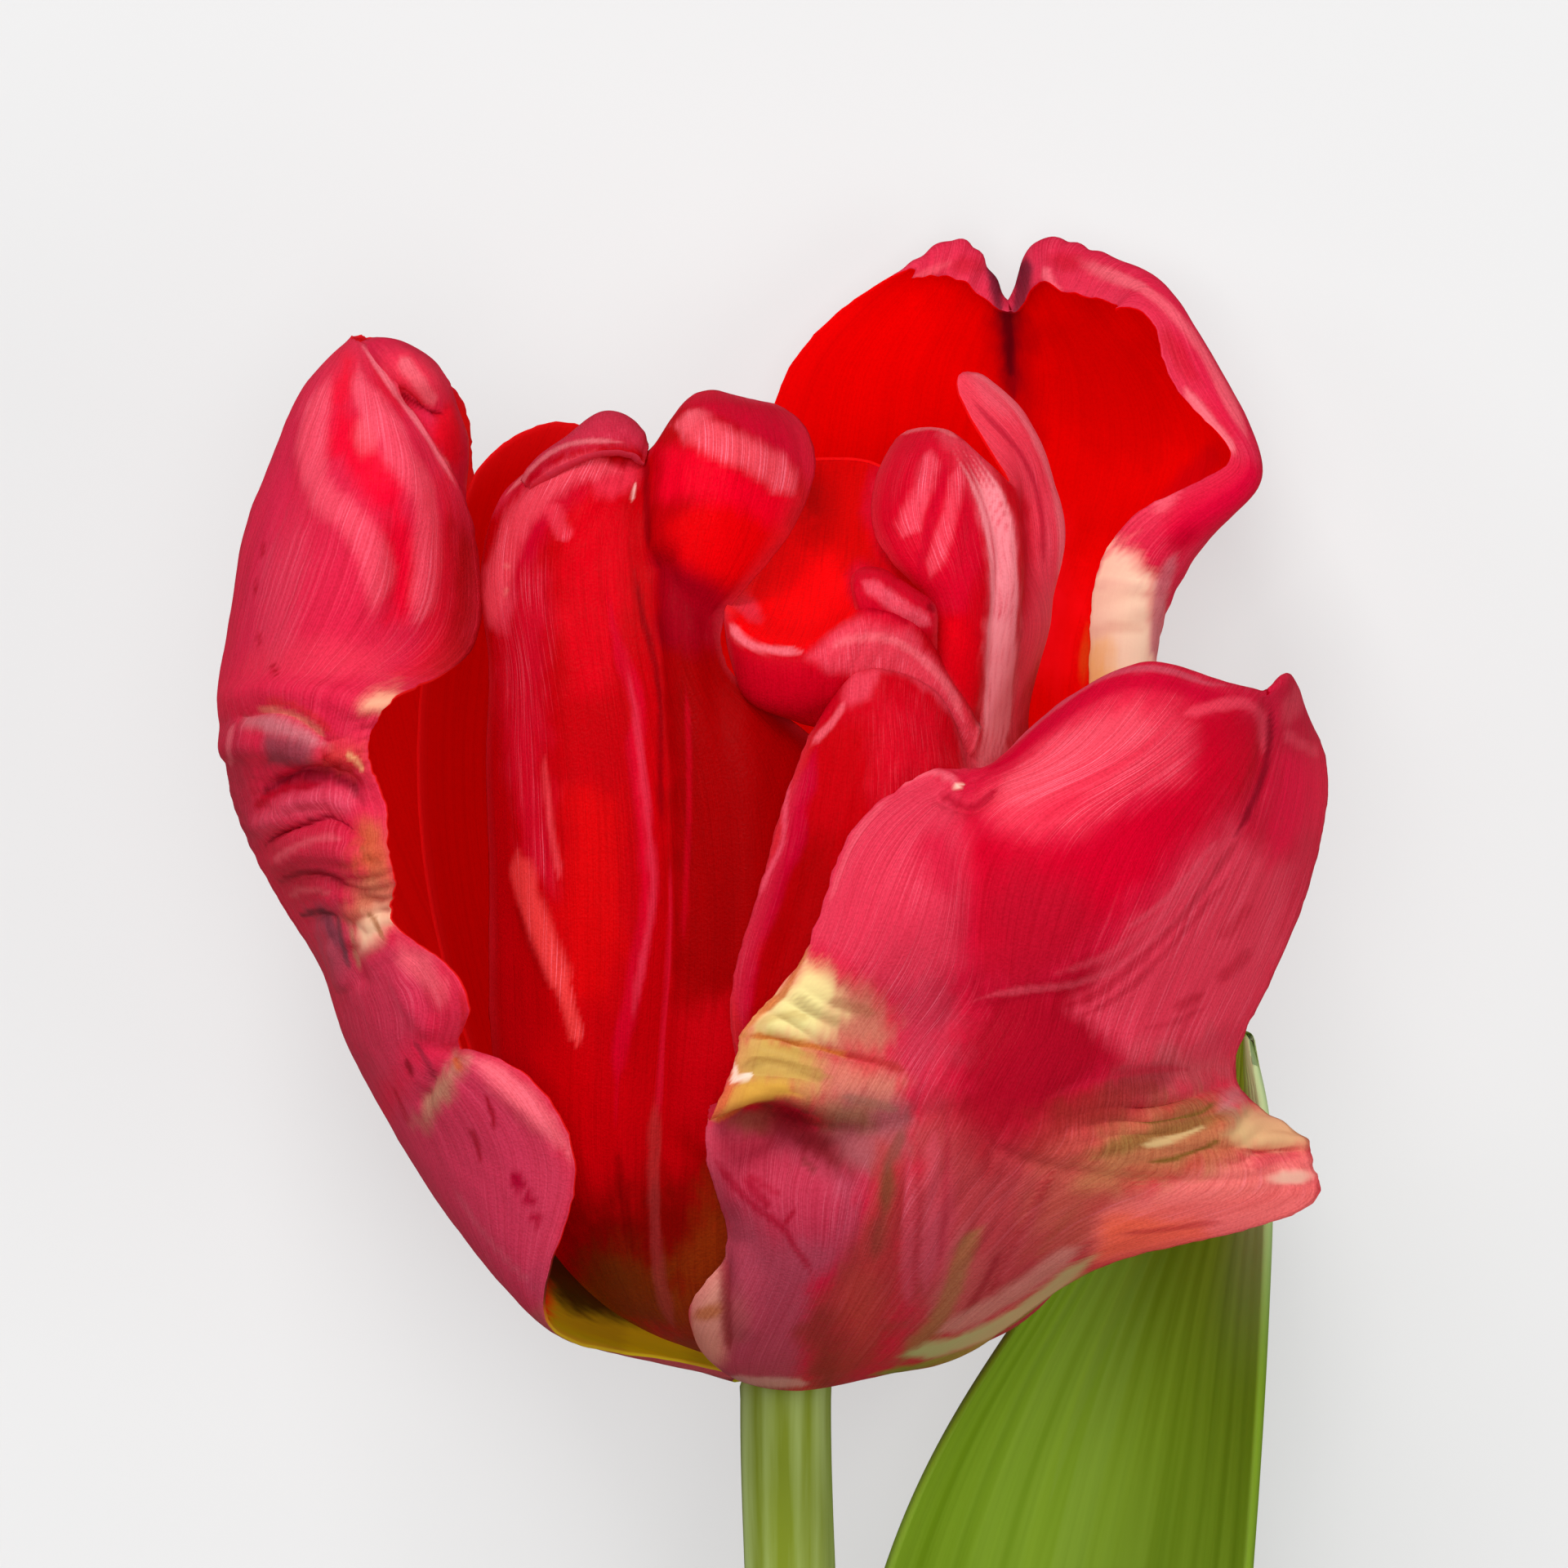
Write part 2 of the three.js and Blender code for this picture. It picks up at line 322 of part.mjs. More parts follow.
const leaf = [
  [[5.3, -120.9, -16.3], [6.9, -120, -19.7], [5.3, -119.1, -23.1],
   [1.5, -118.8, -24.2], [-1.7, -119.4, -22]],
  [[12.3, -109, -13.5], [11.9, -108, -19.5], [7.2, -107.5, -23.8],
   [0.8, -107.5, -23.2], [-3.3, -108.5, -17]],
  [[24, -86, -9.5], [19.5, -86, -19], [10.5, -86, -23.8], [1, -85, -20.5], [-4.8, -84, -12.5]],
  [[34, -50, -12.5], [26.5, -50.5, -21], [16.5, -51, -24.5], [7, -50, -21], [1, -49, -15.5]],
  [[38.2, -15, -14], [32.5, -15, -21.5], [23.5, -15.5, -25], [14.8, -15, -22.5], [8.8, -15, -17]],
  [[39.5, 6, -16], [35.5, 6, -23], [29.7, 6, -26], [24, 6, -25], [20, 5.5, -22]],
  [[39.8, 18, -19], [38, 18.5, -24], [34.8, 18.5, -27], [31.5, 18.5, -27], [28.5, 18.5, -26]],
  [[39.1, 24.3, -23.2], [38.3, 24.8, -25.3], [37.1, 25, -26.8], [35.9, 24.8, -27.3], [34.5, 24.4, -27.4]],
  [[38.5, 27.4, -25.2], [38.3, 27.9, -25.8], [38, 28.2, -26.4], [37.6, 28, -26.8], [37, 27.4, -27.1]],
];

// The stem's line from the receptacle to its cut end, which rests on the surface.
const stemLine = [
  [0, 2, 0], [0, -6, 0], [0.5, -20, -0.5], [1.6, -50, -3.6],
  [2.4, -95, -13], [1.8, -145, -26.5], [0.4, -185, -35],
  [0, -200, stemRadius - axisHeight],
];

// The receptacle on top of the stem, as rings: [height, radius].
const receptacle = [[1.85, 1], [1.55, 1.9], [1.1, 2.6], [0.6, 3.1], [0.1, 3.55], [-0.5, 3.75]];
const stemStart = -1.5; // where the plain stem takes over from the receptacle

// A three-sided ovary under a stigma of three crinkled lobes: [height, radius, depth of the lobes].
const pistilProfile = [
  [2.4, 0.8, 0], [4, 1.4, 0.06], [6.5, 2.2, 0.1], [10, 2.9, 0.12], [16, 3.2, 0.14],
  [22, 2.8, 0.14], [24.5, 2.4, 0.18], [26.5, 3.4, 0.28], [28, 4.4, 0.34], [29, 4.2, 0.34],
  [29.6, 2.4, 0.2],
];

// A thin filament that carries a long dark anther: [distance along it, radius].
const stamenProfile = [
  [0, 0.55], [3, 0.6], [7, 0.5], [9.5, 0.4], [10.3, 1.1],
  [12, 1.5], [16, 1.6], [20, 1.4], [22.5, 0.8],
];

// A closed skin over rings of points. A fan closes the first ring and the last.
function skinOver(rings) {
  const around = rings[0].length;
  const positions = rings.flat().flatMap((p) => [p.x, p.y, p.z]);
  const index = [];
  for (let i = 0; i < rings.length - 1; i++)
    for (let j = 0; j < around; j++) {
      const a = i * around + j;
      const b = i * around + ((j + 1) % around);
      index.push(a, b, b + around, a, b + around, a + around);
    }
  for (const ring of [0, rings.length - 1]) {
    const middle = new THREE.Vector3();
    for (const p of rings[ring]) middle.addScaledVector(p, 1 / around);
    positions.push(middle.x, middle.y, middle.z);
    const hub = positions.length / 3 - 1;
    for (let j = 0; j < around; j++) {
      const a = ring * around + j;
      const b = ring * around + ((j + 1) % around);
      if (ring === 0) index.push(hub, b, a);
      else index.push(hub, a, b);
    }
  }
  const geometry = new THREE.BufferGeometry();
  geometry.setAttribute("position", new THREE.Float32BufferAttribute(positions, 3));
  geometry.setIndex(index);
  return geometry;
}

// A ring of points round a line, where radiusAt(angle) gives the ring's outline.
function ringRound(centre, direction, radiusAt, around) {
  const side = new THREE.Vector3(1, 0, 0);
  const up = new THREE.Vector3().crossVectors(direction, side).normalize();
  side.crossVectors(up, direction).normalize();
  return Array.from({ length: around }, (_, j) => {
    const angle = (2 * Math.PI * j) / around;
    const radius = radiusAt(angle);
    return centre.clone()
      .addScaledVector(side, radius * Math.cos(angle))
      .addScaledVector(up, radius * Math.sin(angle));
  });
}

function stemGeometry() {
  const down = new THREE.Vector3(0, -1, 0);
  const rings = receptacle.map(([height, radius]) =>
    ringRound(new THREE.Vector3(0, height, 0), down, () => radius, sides.stem));
  const line = smoothThrough(stemLine.map(point), stemSteps);
  line.forEach((centre, i) => {
    if (centre.y > stemStart) return;
    const next = line[Math.min(i + 1, stemSteps)];
    const direction = next.clone().sub(line[i - 1]).normalize();
    rings.push(ringRound(centre, direction, () => stemRadius, sides.stem));
  });
  return skinOver(rings);
}

function pistilGeometry() {
  const up = new THREE.Vector3(0, 1, 0);
  return skinOver(pistilProfile.map(([height, radius, depth]) => {
    const lobed = (angle) => radius * (1 + depth * Math.cos(3 * angle));
    return ringRound(new THREE.Vector3(0, height, 0), up, lobed, sides.pistil);
  }));
}

// A stamen that stands at an angle round the axis and leans outwards.
function stamenGeometry(angle) {
  const outX = Math.cos(angle);
  const outZ = Math.sin(angle);
  const foot = new THREE.Vector3(stamenFoot.radius * outX, stamenFoot.height, stamenFoot.radius * outZ);
  const rise = new THREE.Vector3(stamenLean * outX, 1, stamenLean * outZ).normalize();
  return skinOver(stamenProfile.map(([along, radius]) =>
    ringRound(foot.clone().addScaledVector(rise, along), rise, () => radius, sides.stamen)));
}

const flower = new THREE.Group();

function add(name, geometry, colour) {
  const material = new THREE.MeshStandardMaterial({ color: colour, roughness: 0.5, metalness: 0 });
  const mesh = new THREE.Mesh(geometry, material);
  mesh.name = name;
  flower.add(mesh);
}

const tepals = {
  outer_tepal_front: outerFront,
  outer_tepal_left: outerLeft,
  outer_tepal_back: outerBack,
  inner_tepal_front: innerFront,
  inner_tepal_right: innerRight,
  inner_tepal_back: innerBack,
};
for (const [name, rows] of Object.entries(tepals))
  add(name, solidSheet(sheetThrough(rows), tepalThickness), colours[name]);
add("leaf", solidSheet(sheetThrough(leaf), leafThickness), colours.leaf);
add("stem", stemGeometry(), colours.stem);
add("pistil", pistilGeometry(), colours.pistil);
for (let k = 0; k < stamenCount; k++) {
  const angle = (2 * Math.PI * (k + 0.5)) / stamenCount;
  add(`stamen_${k + 1}`, stamenGeometry(angle), colours.stamen);
}

// Nothing goes below the surface: the tepals flatten a little where they rest on it.
for (const mesh of flower.children) {
  const place = mesh.geometry.getAttribute("position");
  for (let i = 0; i < place.count; i++) place.setZ(i, Math.max(place.getZ(i), -axisHeight));
}

// The part's origin is on the surface, under the middle of its bounds.
const middle = new THREE.Box3().setFromObject(flower).getCenter(new THREE.Vector3());
flower.position.set(-middle.x, -middle.y, axisHeight);

const root = new THREE.Group();
root.add(flower);

export default root;
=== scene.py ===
import math

import bmesh
import bpy
import numpy as np
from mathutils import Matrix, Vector, noise


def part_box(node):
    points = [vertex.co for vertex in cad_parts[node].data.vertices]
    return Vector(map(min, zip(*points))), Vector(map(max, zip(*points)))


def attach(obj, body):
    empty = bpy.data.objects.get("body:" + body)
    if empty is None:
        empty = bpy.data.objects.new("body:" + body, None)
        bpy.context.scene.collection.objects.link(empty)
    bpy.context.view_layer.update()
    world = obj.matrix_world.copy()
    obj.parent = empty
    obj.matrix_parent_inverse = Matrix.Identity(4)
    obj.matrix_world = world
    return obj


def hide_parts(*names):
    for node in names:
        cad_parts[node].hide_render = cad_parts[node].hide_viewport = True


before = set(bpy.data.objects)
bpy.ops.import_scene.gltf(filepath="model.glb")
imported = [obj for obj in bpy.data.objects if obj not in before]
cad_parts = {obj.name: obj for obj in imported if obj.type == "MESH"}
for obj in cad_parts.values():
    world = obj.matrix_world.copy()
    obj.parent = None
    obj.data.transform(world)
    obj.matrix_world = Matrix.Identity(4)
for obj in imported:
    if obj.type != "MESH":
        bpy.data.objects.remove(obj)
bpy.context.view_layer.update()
mm = 0.001
print("frame loaded")


def middleOf(node, axis):
    low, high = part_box(node)
    return (low[axis] + high[axis]) / 2


# The tepals meet the stem here. Rows of points below are measured from it, in millimetres. The pistil's
# lobes are even from front to back but not from side to side, so the bloom's axis has its x from stamen_2.
pistilFoot = 2.4 * mm
bloomFoot = np.array((middleOf("stamen_2", 0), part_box("pistil")[0][1] - pistilFoot, middleOf("pistil", 2)))
tableBelow = -bloomFoot[2] / mm  # the height of the table, measured from the bloom's axis
fadeDepth = 10  # the marks and folds of a tepal fade out over this many millimetres


def placed(point):  # from the bloom's millimetres to the frame's metres
    return Vector(np.array(point) * mm + bloomFoot)


def tint(red, green, blue, veins=0.0):
    # A colour as painters' tools show it, made linear, then how far pale veins show on it. Below nought,
    # that last number is a painted glow instead: emission that stands in for light scattered in the petal.
    shares = [channel / 255 for channel in (red, green, blue)]
    linear = [share / 12.92 if share <= 0.04045 else ((share + 0.055) / 1.055) ** 2.4 for share in shares]
    return (*linear, veins)


def smoothAlong(points, steps):  # a natural cubic spline along the first axis
    last = len(points) - 1
    bend = np.zeros_like(points)
    carry = [0.0] * last
    for i in range(1, last):
        carry[i] = 1 / (4 - carry[i - 1])
        bend[i] = carry[i] * (6 * (points[i - 1] - 2 * points[i] + points[i + 1]) - bend[i - 1])
    for i in range(last - 1, 0, -1):
        bend[i] -= carry[i] * bend[i + 1]
    along = np.linspace(0, last, steps + 1)
    i = np.minimum(along.astype(int), last - 1)
    f = (along - i).reshape(-1, *[1] * (points.ndim - 1))
    g = 1 - f
    return g * points[i] + f * points[i + 1] + (g**3 - g) / 6 * bend[i] + (f**3 - f) / 6 * bend[i + 1]


def sheetThrough(rows, across, along):  # points[along][across] in millimetres
    wide = smoothAlong(np.swapaxes(np.array(rows, float), 0, 1), across)
    return smoothAlong(np.swapaxes(wide, 0, 1), along)


def acrossAndAlong(points):  # how far across and along its sheet each point lies, 0 to 1
    return np.linspace(0, 1, points.shape[1])[None, :], np.linspace(0, 1, points.shape[0])[:, None]


def unit(vectors):
    return vectors / np.maximum(np.linalg.norm(vectors, axis=2, keepdims=True), 1e-9)


def outwardsOf(points):
    return unit(np.cross(np.gradient(points, axis=1), np.gradient(points, axis=0)))


def softNoise(points, scale, seed=0.0):  # smooth noise from -1 to 1 at each point
    flat = points.reshape(-1, 3) / scale + seed
    return np.array([noise.noise(Vector(p)) for p in flat]).reshape(points.shape[:2])


def turned(x, y, turn):  # measured along a direction in degrees, and across it
    c, s = math.cos(math.radians(turn)), math.sin(math.radians(turn))
    return x * c + y * s, y * c - x * s


def fromEdge(x, y, start, end):  # how far each point is from a straight edge, and whereabouts along it
    (ax, ay), (bx, by) = start, end
    t = np.clip(((x - ax) * (bx - ax) + (y - ay) * (by - ay)) / ((bx - ax) ** 2 + (by - ay) ** 2), 0, 1)
    return np.hypot(x - ax - t * (bx - ax), y - ay - t * (by - ay)), t


def fromLine(x, y, line):  # how far each point is from a smooth line, and whereabouts along it, 0 to 1
    places = smoothAlong(np.array(line, float), 5 * (len(line) - 1))
    lengths = np.linalg.norm(np.diff(places, axis=0), axis=1)
    nearest = np.full(x.shape, np.inf)
    whereabouts = np.zeros(x.shape)
    for k, length in enumerate(lengths):
        gap, t = fromEdge(x, y, places[k], places[k + 1])
        closer = gap < nearest
        nearest = np.where(closer, gap, nearest)
        whereabouts = np.where(closer, (lengths[:k].sum() + t * length) / lengths.sum(), whereabouts)
    return nearest, whereabouts


def beyond(x, y, outline):  # how far each point is outside an outline, below nought where it is inside
    nearest = np.full(x.shape, np.inf)
    inside = np.zeros(x.shape, bool)
    for (ax, ay), (bx, by) in zip(outline, outline[1:] + outline[:1]):
        nearest = np.minimum(nearest, fromEdge(x, y, (ax, ay), (bx, by))[0])
        if ay != by:
            inside ^= ((ay > y) != (by > y)) & (x < ax + (y - ay) * (bx - ax) / (by - ay))
    return np.where(inside, -nearest, nearest)


def taper(whereabouts):  # a stroke fades in and out over a sixth of its length
    return np.clip(np.minimum(whereabouts, 1 - whereabouts) * 6, 0, 1)


def markedPart(points, look):  # 1 above the height given as markedFrom, fading to 0 below it
    return np.clip((points[..., 2] - look.get("markedFrom", tableBelow)) / fadeDepth + 1, 0, 1)


def relief(points, look):
    # Folds are ridges, or grooves where the height is below nought: width, height and a line of places.
    # Wrinkles are patches of parallel waves: centre x and y, reach along and across them, the direction
    # that they run in degrees, the distance between them, their height and their shift.
    x, y = points[..., 0], points[..., 1]
    height = np.zeros(x.shape)
    wander = softNoise(points, scale=6)
    for width, size, line in look["folds"]:
        gap, whereabouts = fromLine(x + 0.25 * wander, y, line)
        height += size * np.exp(-((gap / width) ** 2)) * taper(whereabouts)
    for cx, cy, reachAlong, reachAcross, turn, spacing, size, shift in look["wrinkles"]:
        lengthwise, sideways = turned(x - cx, y - cy, turn)
        near = np.exp(-((lengthwise / reachAlong) ** 2) - (sideways / reachAcross) ** 2)
        height += size * near * np.cos(2 * math.pi * (sideways / spacing + 0.8 * wander + shift))
    height *= markedPart(points, look)
    fineNoise = softNoise(points, scale=3.1, seed=5.5) + 0.5 * softNoise(points, scale=1.3, seed=9.5)
    return points + outwardsOf(points) * (height + look["unevenness"] * fineNoise)[..., None]


def fray(points, amount):  # small teeth along both sides and the top, with none near the foot
    u, v = acrossAndAlong(points)
    jag = softNoise(points, scale=1.1, seed=2.2) + 0.8 * softNoise(points, scale=0.5, seed=4.4)
    grown = np.clip(v * 8 - 1, 0, 1)  # 0 on the lowest eighth
    left = np.clip(1 - u * 25, 0, 1) * grown  # 1 at the edge, 0 from a twenty-fifth of the width on
    right = np.clip(1 - (1 - u) * 25, 0, 1) * grown
    top = np.clip(1 - (1 - v) * 30, 0, 1)
    sideways = unit(np.gradient(points, axis=1)) * (jag * (right - left))[..., None]
    upwards = unit(np.gradient(points, axis=0)) * (jag * top)[..., None]
    return points + amount * (sideways + upwards)


def thinEdges(points):  # the share of the full thickness at each point, least at the free edges
    u, v = acrossAndAlong(points)
    thinnest = 0.35
    inwards = np.minimum(np.minimum(u, 1 - u) * 12, (1 - v) * 14)  # 1 or more where the thickness is full
    return np.clip(thinnest + (1 - thinnest) * inwards, 0, 1)


def linesBetween(count, wide, shade, strength, borders):
    # Thin strokes side by side between two lines of places.
    left, right = (np.array(border, float) for border in borders)
    parts = [(k + 0.5) / count for k in range(count)]
    return [(wide, shade, strength, (left * (1 - part) + right * part).tolist()) for part in parts]


def paint(points, coat, marked):
    # Each area has a soft edge: softness, colour, strength and an outline. Each patch is a soft spot: centre
    # x and y, half length and half width, direction in degrees, colour and strength. Each stroke is a soft
    # line: half width, colour, strength and a line of places. They show as far as the tepal is marked.
    x, y = points[..., 0], points[..., 1]
    colour = np.zeros((*x.shape, 4)) + coat["base"]
    wander = softNoise(points, scale=2.6, seed=7.3)
    brushed = softNoise(points * (1.7, 0.6, 1), scale=0.8, seed=3.1)

    def lay(away, shade, strength):  # away is 0 in the middle of a mark and 1 near its edge
        ragged = away + 0.25 * wander + 0.2 * brushed
        near = np.clip((1.3 - ragged) / 0.9, 0, 1)  # full colour up to 0.4, none from 1.3 on
        near = (near * near * (3 - 2 * near) * strength * marked)[..., None]
        colour[:] = colour * (1 - near) + np.array(shade) * near

    for soft, shade, strength, outline in coat["areas"]:
        lay(0.85 + 0.45 * beyond(x, y, outline) / soft, shade, strength)
    for cx, cy, long, wide, turn, shade, strength in coat["patches"]:
        lengthwise, sideways = turned(x - cx, y - cy, turn)
        lay(np.hypot(lengthwise / long, sideways / wide), shade, strength)
    for wide, shade, strength, line in coat["strokes"]:
        gap, whereabouts = fromLine(x, y, line)
        lay(gap / wide + 1.5 * (1 - taper(whereabouts)), shade, strength)
    rim = (1 - thinEdges(points))[..., None] * coat["rimStrength"]
    return colour * (1 - rim) + np.array(coat["rim"]) * rim


def addGrid(form, points):
    # A grid laid on the given points, with a map that runs 0 to 1 across and along it.
    along, across = points.shape[0] - 1, points.shape[1] - 1
    made = bmesh.ops.create_grid(form, x_segments=across, y_segments=along, size=0.5, calc_uvs=True)
    form.verts.index_update()
    start = len(form.verts) - (across + 1) * (along + 1)
    for vertex in made["verts"]:
        j = round((vertex.co.x + 0.5) * across)
        i = round((vertex.co.y + 0.5) * along)
        vertex.co = placed(points[i][j])
        vertex.index = start + i * (across + 1) + j
    form.verts.sort()


def meshOf(form, name):
    for face in form.faces:
        face.smooth = True
    mesh = bpy.data.meshes.new(name)
    form.to_mesh(mesh)
    form.free()
    return mesh


def addColours(mesh, layer, colours):
    attribute = mesh.color_attributes.new(layer, "FLOAT_COLOR", "POINT")
    attribute.data.foreach_set("color", np.concatenate([sheet.reshape(-1, 4) for sheet in colours]).ravel())


def settle(mesh, node, slot, *materials):
    piece = bpy.data.objects.new(mesh.name, mesh)
    bpy.context.scene.collection.objects.link(piece)
    for material in materials:
        mesh.materials.append(material)
    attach(piece, "root")
    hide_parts(node)
    return piece


def addWall(piece, thickness):  # gives a sheet its thickness, half on each side
    wall = piece.modifiers.new("wall", "SOLIDIFY")
    wall.thickness = thickness * mm
    wall.offset = 0
    return wall


def tepal(name, node, slot, look):
    # Folds, frays and paints the sheets of one tepal, and gives them their thickness.
    form = bmesh.new()
    form.loops.layers.uv.new("growth")
    sheets = []
    for sheet in look["sheets"]:
        points = sheetThrough(sheet["rows"], sheet["across"], sheet["along"])
        points = fray(relief(points, look), look["teeth"])
        points[..., 2] = np.maximum(points[..., 2], tableBelow + 0.5 * look["thickness"])
        addGrid(form, points)
        sheets.append(points)
    mesh = meshOf(form, name)
    outer = [paint(points, look["outer"], markedPart(points, look)) for points in sheets]
    inner = [paint(points, look["inner"], 1) for points in sheets]
    addColours(mesh, "outerTint", outer)
    addColours(mesh, "innerTint", inner)
    piece = settle(mesh, node, slot, outerSkin, innerSkin)
    group = piece.vertex_groups.new(name="body")
    weights = np.concatenate([thinEdges(points).ravel() for points in sheets])
    for index, weight in enumerate(weights):
        group.add((index,), float(weight), "REPLACE")
    wall = addWall(piece, look["thickness"])
    wall.vertex_group = group.name
    wall.material_offset = 1  # the inner skin is on the inside and on the rims
    wall.material_offset_rim = 1
    print(name, "laid out")


def newSkin(name):
    material = bpy.data.materials.new(name)
    material.use_nodes = True
    material.node_tree.nodes.clear()
    return material


def addNode(tree, kind, inputs, **settings):
    # Each input is a number, a colour, or another node's output, which is then linked to it.
    node = tree.nodes.new(kind)
    for key, value in settings.items():
        setattr(node, key, value)
    for socket, value in inputs.items():
        if isinstance(value, bpy.types.NodeSocket):
            tree.links.new(value, node.inputs[socket])
        else:
            node.inputs[socket].default_value = value
    return node


def grain(tree, place, stretch, scale, detail):  # noise, drawn out or squeezed along each axis
    stretched = addNode(tree, "ShaderNodeMapping", {"Vector": place, "Scale": stretch}).outputs["Vector"]
    inputs = {"Vector": stretched, "Scale": scale, "Detail": detail}
    return addNode(tree, "ShaderNodeTexNoise", inputs).outputs["Fac"]


def ramp(tree, value, low, high, bottom, top):
    # A soft step from bottom to top while the value goes from low to high.
    inputs = {"Value": value, "From Min": low, "From Max": high, "To Min": bottom, "To Max": top}
    return addNode(tree, "ShaderNodeMapRange", inputs, interpolation_type="SMOOTHSTEP").outputs["Result"]


def maths(tree, operation, *values, **settings):
    inputs = dict(enumerate(values))
    return addNode(tree, "ShaderNodeMath", inputs, operation=operation, **settings).outputs["Value"]


def blend(tree, mode, factor, first, second):
    inputs = {0: factor, 6: first, 7: second}
    return addNode(tree, "ShaderNodeMix", inputs, data_type="RGBA", blend_type=mode).outputs[2]


def opaque(shade):
    return (*shade[:3], 1)


def petalSkin(name, layer, look):
    material = newSkin(name)
    tree = material.node_tree
    growth = addNode(tree, "ShaderNodeUVMap", {}, uv_map="growth").outputs["UV"]
    painted = addNode(tree, "ShaderNodeAttribute", {}, attribute_name=layer).outputs
    place = addNode(tree, "ShaderNodeTexCoord", {}).outputs["Object"]
    across, along = look["veinsAcross"], look["veinsAlong"]
    veins = grain(tree, growth, (across, along, 1), 1, 3)
    streaks = grain(tree, growth, (0.22 * across, 0.6 * along, 1), 1, 2)  # broader and longer than the veins
    cells = grain(tree, place, (1, 1, 1), 1 / (look["cellSize"] * mm), 1)
    green = addNode(tree, "ShaderNodeSeparateColor", {"Color": painted["Color"]}).outputs["Green"]
    creamAt = (0.15, 0.5)  # the green in a colour as it goes from red to cream
    redness = ramp(tree, green, *creamAt, 1, 0.1)  # cream and yellow skin has faint veins

    def deepen(shade, pattern, low, high, depth):  # noise lies mostly between 0.3 and 0.7
        share = maths(tree, "MULTIPLY", ramp(tree, pattern, low, high, 0, depth), redness)
        return blend(tree, "MULTIPLY", share, shade, opaque(look["veinShade"]))

    shade = deepen(painted["Color"], veins, 0.42, 0.68, look["veinDepth"])
    shade = deepen(shade, streaks, 0.45, 0.7, look["streakDepth"])
    palest = maths(tree, "MULTIPLY", ramp(tree, veins, 0.46, 0.3, 0, 1), painted["Alpha"])
    shade = blend(tree, "MIX", palest, shade, opaque(look["paleShade"]))
    shade = deepen(shade, cells, 0.35, 0.75, look["cellDepth"])
    # A painted glow, emission standing in for light scattered inside the bloom: what the skin has,
    # and more where the vein number is below nought
    glowStrength = maths(tree, "MULTIPLY_ADD", painted["Alpha"], -1, look["paintedGlow"], use_clamp=True)
    height = maths(tree, "ADD", veins, ramp(tree, cells, 0.3, 0.7, 0, look["cellRelief"]))
    bump = {"Height": height, "Distance": 0.12 * mm}
    bump["Strength"] = ramp(tree, green, *creamAt, look["ridge"], 0.15 * look["ridge"])
    skin = addNode(tree, "ShaderNodeBsdfPrincipled", {
        "Base Color": shade, "Normal": addNode(tree, "ShaderNodeBump", bump).outputs["Normal"],
        "Roughness": ramp(tree, veins, 0.3, 0.7, look["roughness"] - 0.05, look["roughness"] + 0.08),
        "IOR": look["ior"], "Specular IOR Level": look["gloss"],
        "Emission Color": shade, "Emission Strength": glowStrength,
    })
    richer = addNode(tree, "ShaderNodeGamma", {"Color": shade, "Gamma": 1.15})
    glow = addNode(tree, "ShaderNodeBsdfTranslucent", {"Color": richer.outputs["Color"]})
    layers = {"Fac": look["glow"], 1: skin.outputs["BSDF"], 2: glow.outputs["BSDF"]}
    both = addNode(tree, "ShaderNodeMixShader", layers)
    addNode(tree, "ShaderNodeOutputMaterial", {"Surface": both.outputs["Shader"]})
    return material


outerSkin = petalSkin("outer skin", "outerTint", {
    "veinsAcross": 430, "veinsAlong": 9, "veinDepth": 0.3, "streakDepth": 0.2,
    "veinShade": tint(200, 130, 140), "paleShade": tint(255, 150, 175),
    "gloss": 0.08, "ior": 1.3, "roughness": 0.32, "ridge": 0.5, "glow": 0.4, "paintedGlow": 0.0,
    "cellSize": 0.22, "cellRelief": 0.35, "cellDepth": 0.25,
})
# The inner skin has a painted glow all over: emission that stands in for light scattered inside the bloom
innerSkin = petalSkin("inner skin", "innerTint", {
    "veinsAcross": 260, "veinsAlong": 3, "veinDepth": 0.1, "streakDepth": 0.1,
    "veinShade": tint(190, 20, 20), "paleShade": tint(255, 90, 80),
    "gloss": 0.2, "ior": 1.2, "roughness": 0.55, "ridge": 0.3, "glow": 0.7, "paintedGlow": 0.4,
    "cellSize": 0.22, "cellRelief": 0.2, "cellDepth": 0.1,
})
print("petal skins mixed")

# Petal colours
rose = tint(236, 44, 86, 0.12)
crimson = tint(212, 0, 22, 0.03)
scarlet = tint(246, 4, 4)
darkOlive = tint(80, 50, 18)
yellow = tint(215, 175, 30)
cream = tint(242, 222, 175)
paleCream = tint(250, 226, 200)
greenCream = tint(214, 212, 130)
paleGreen = tint(178, 186, 110)
orange = tint(222, 112, 40)

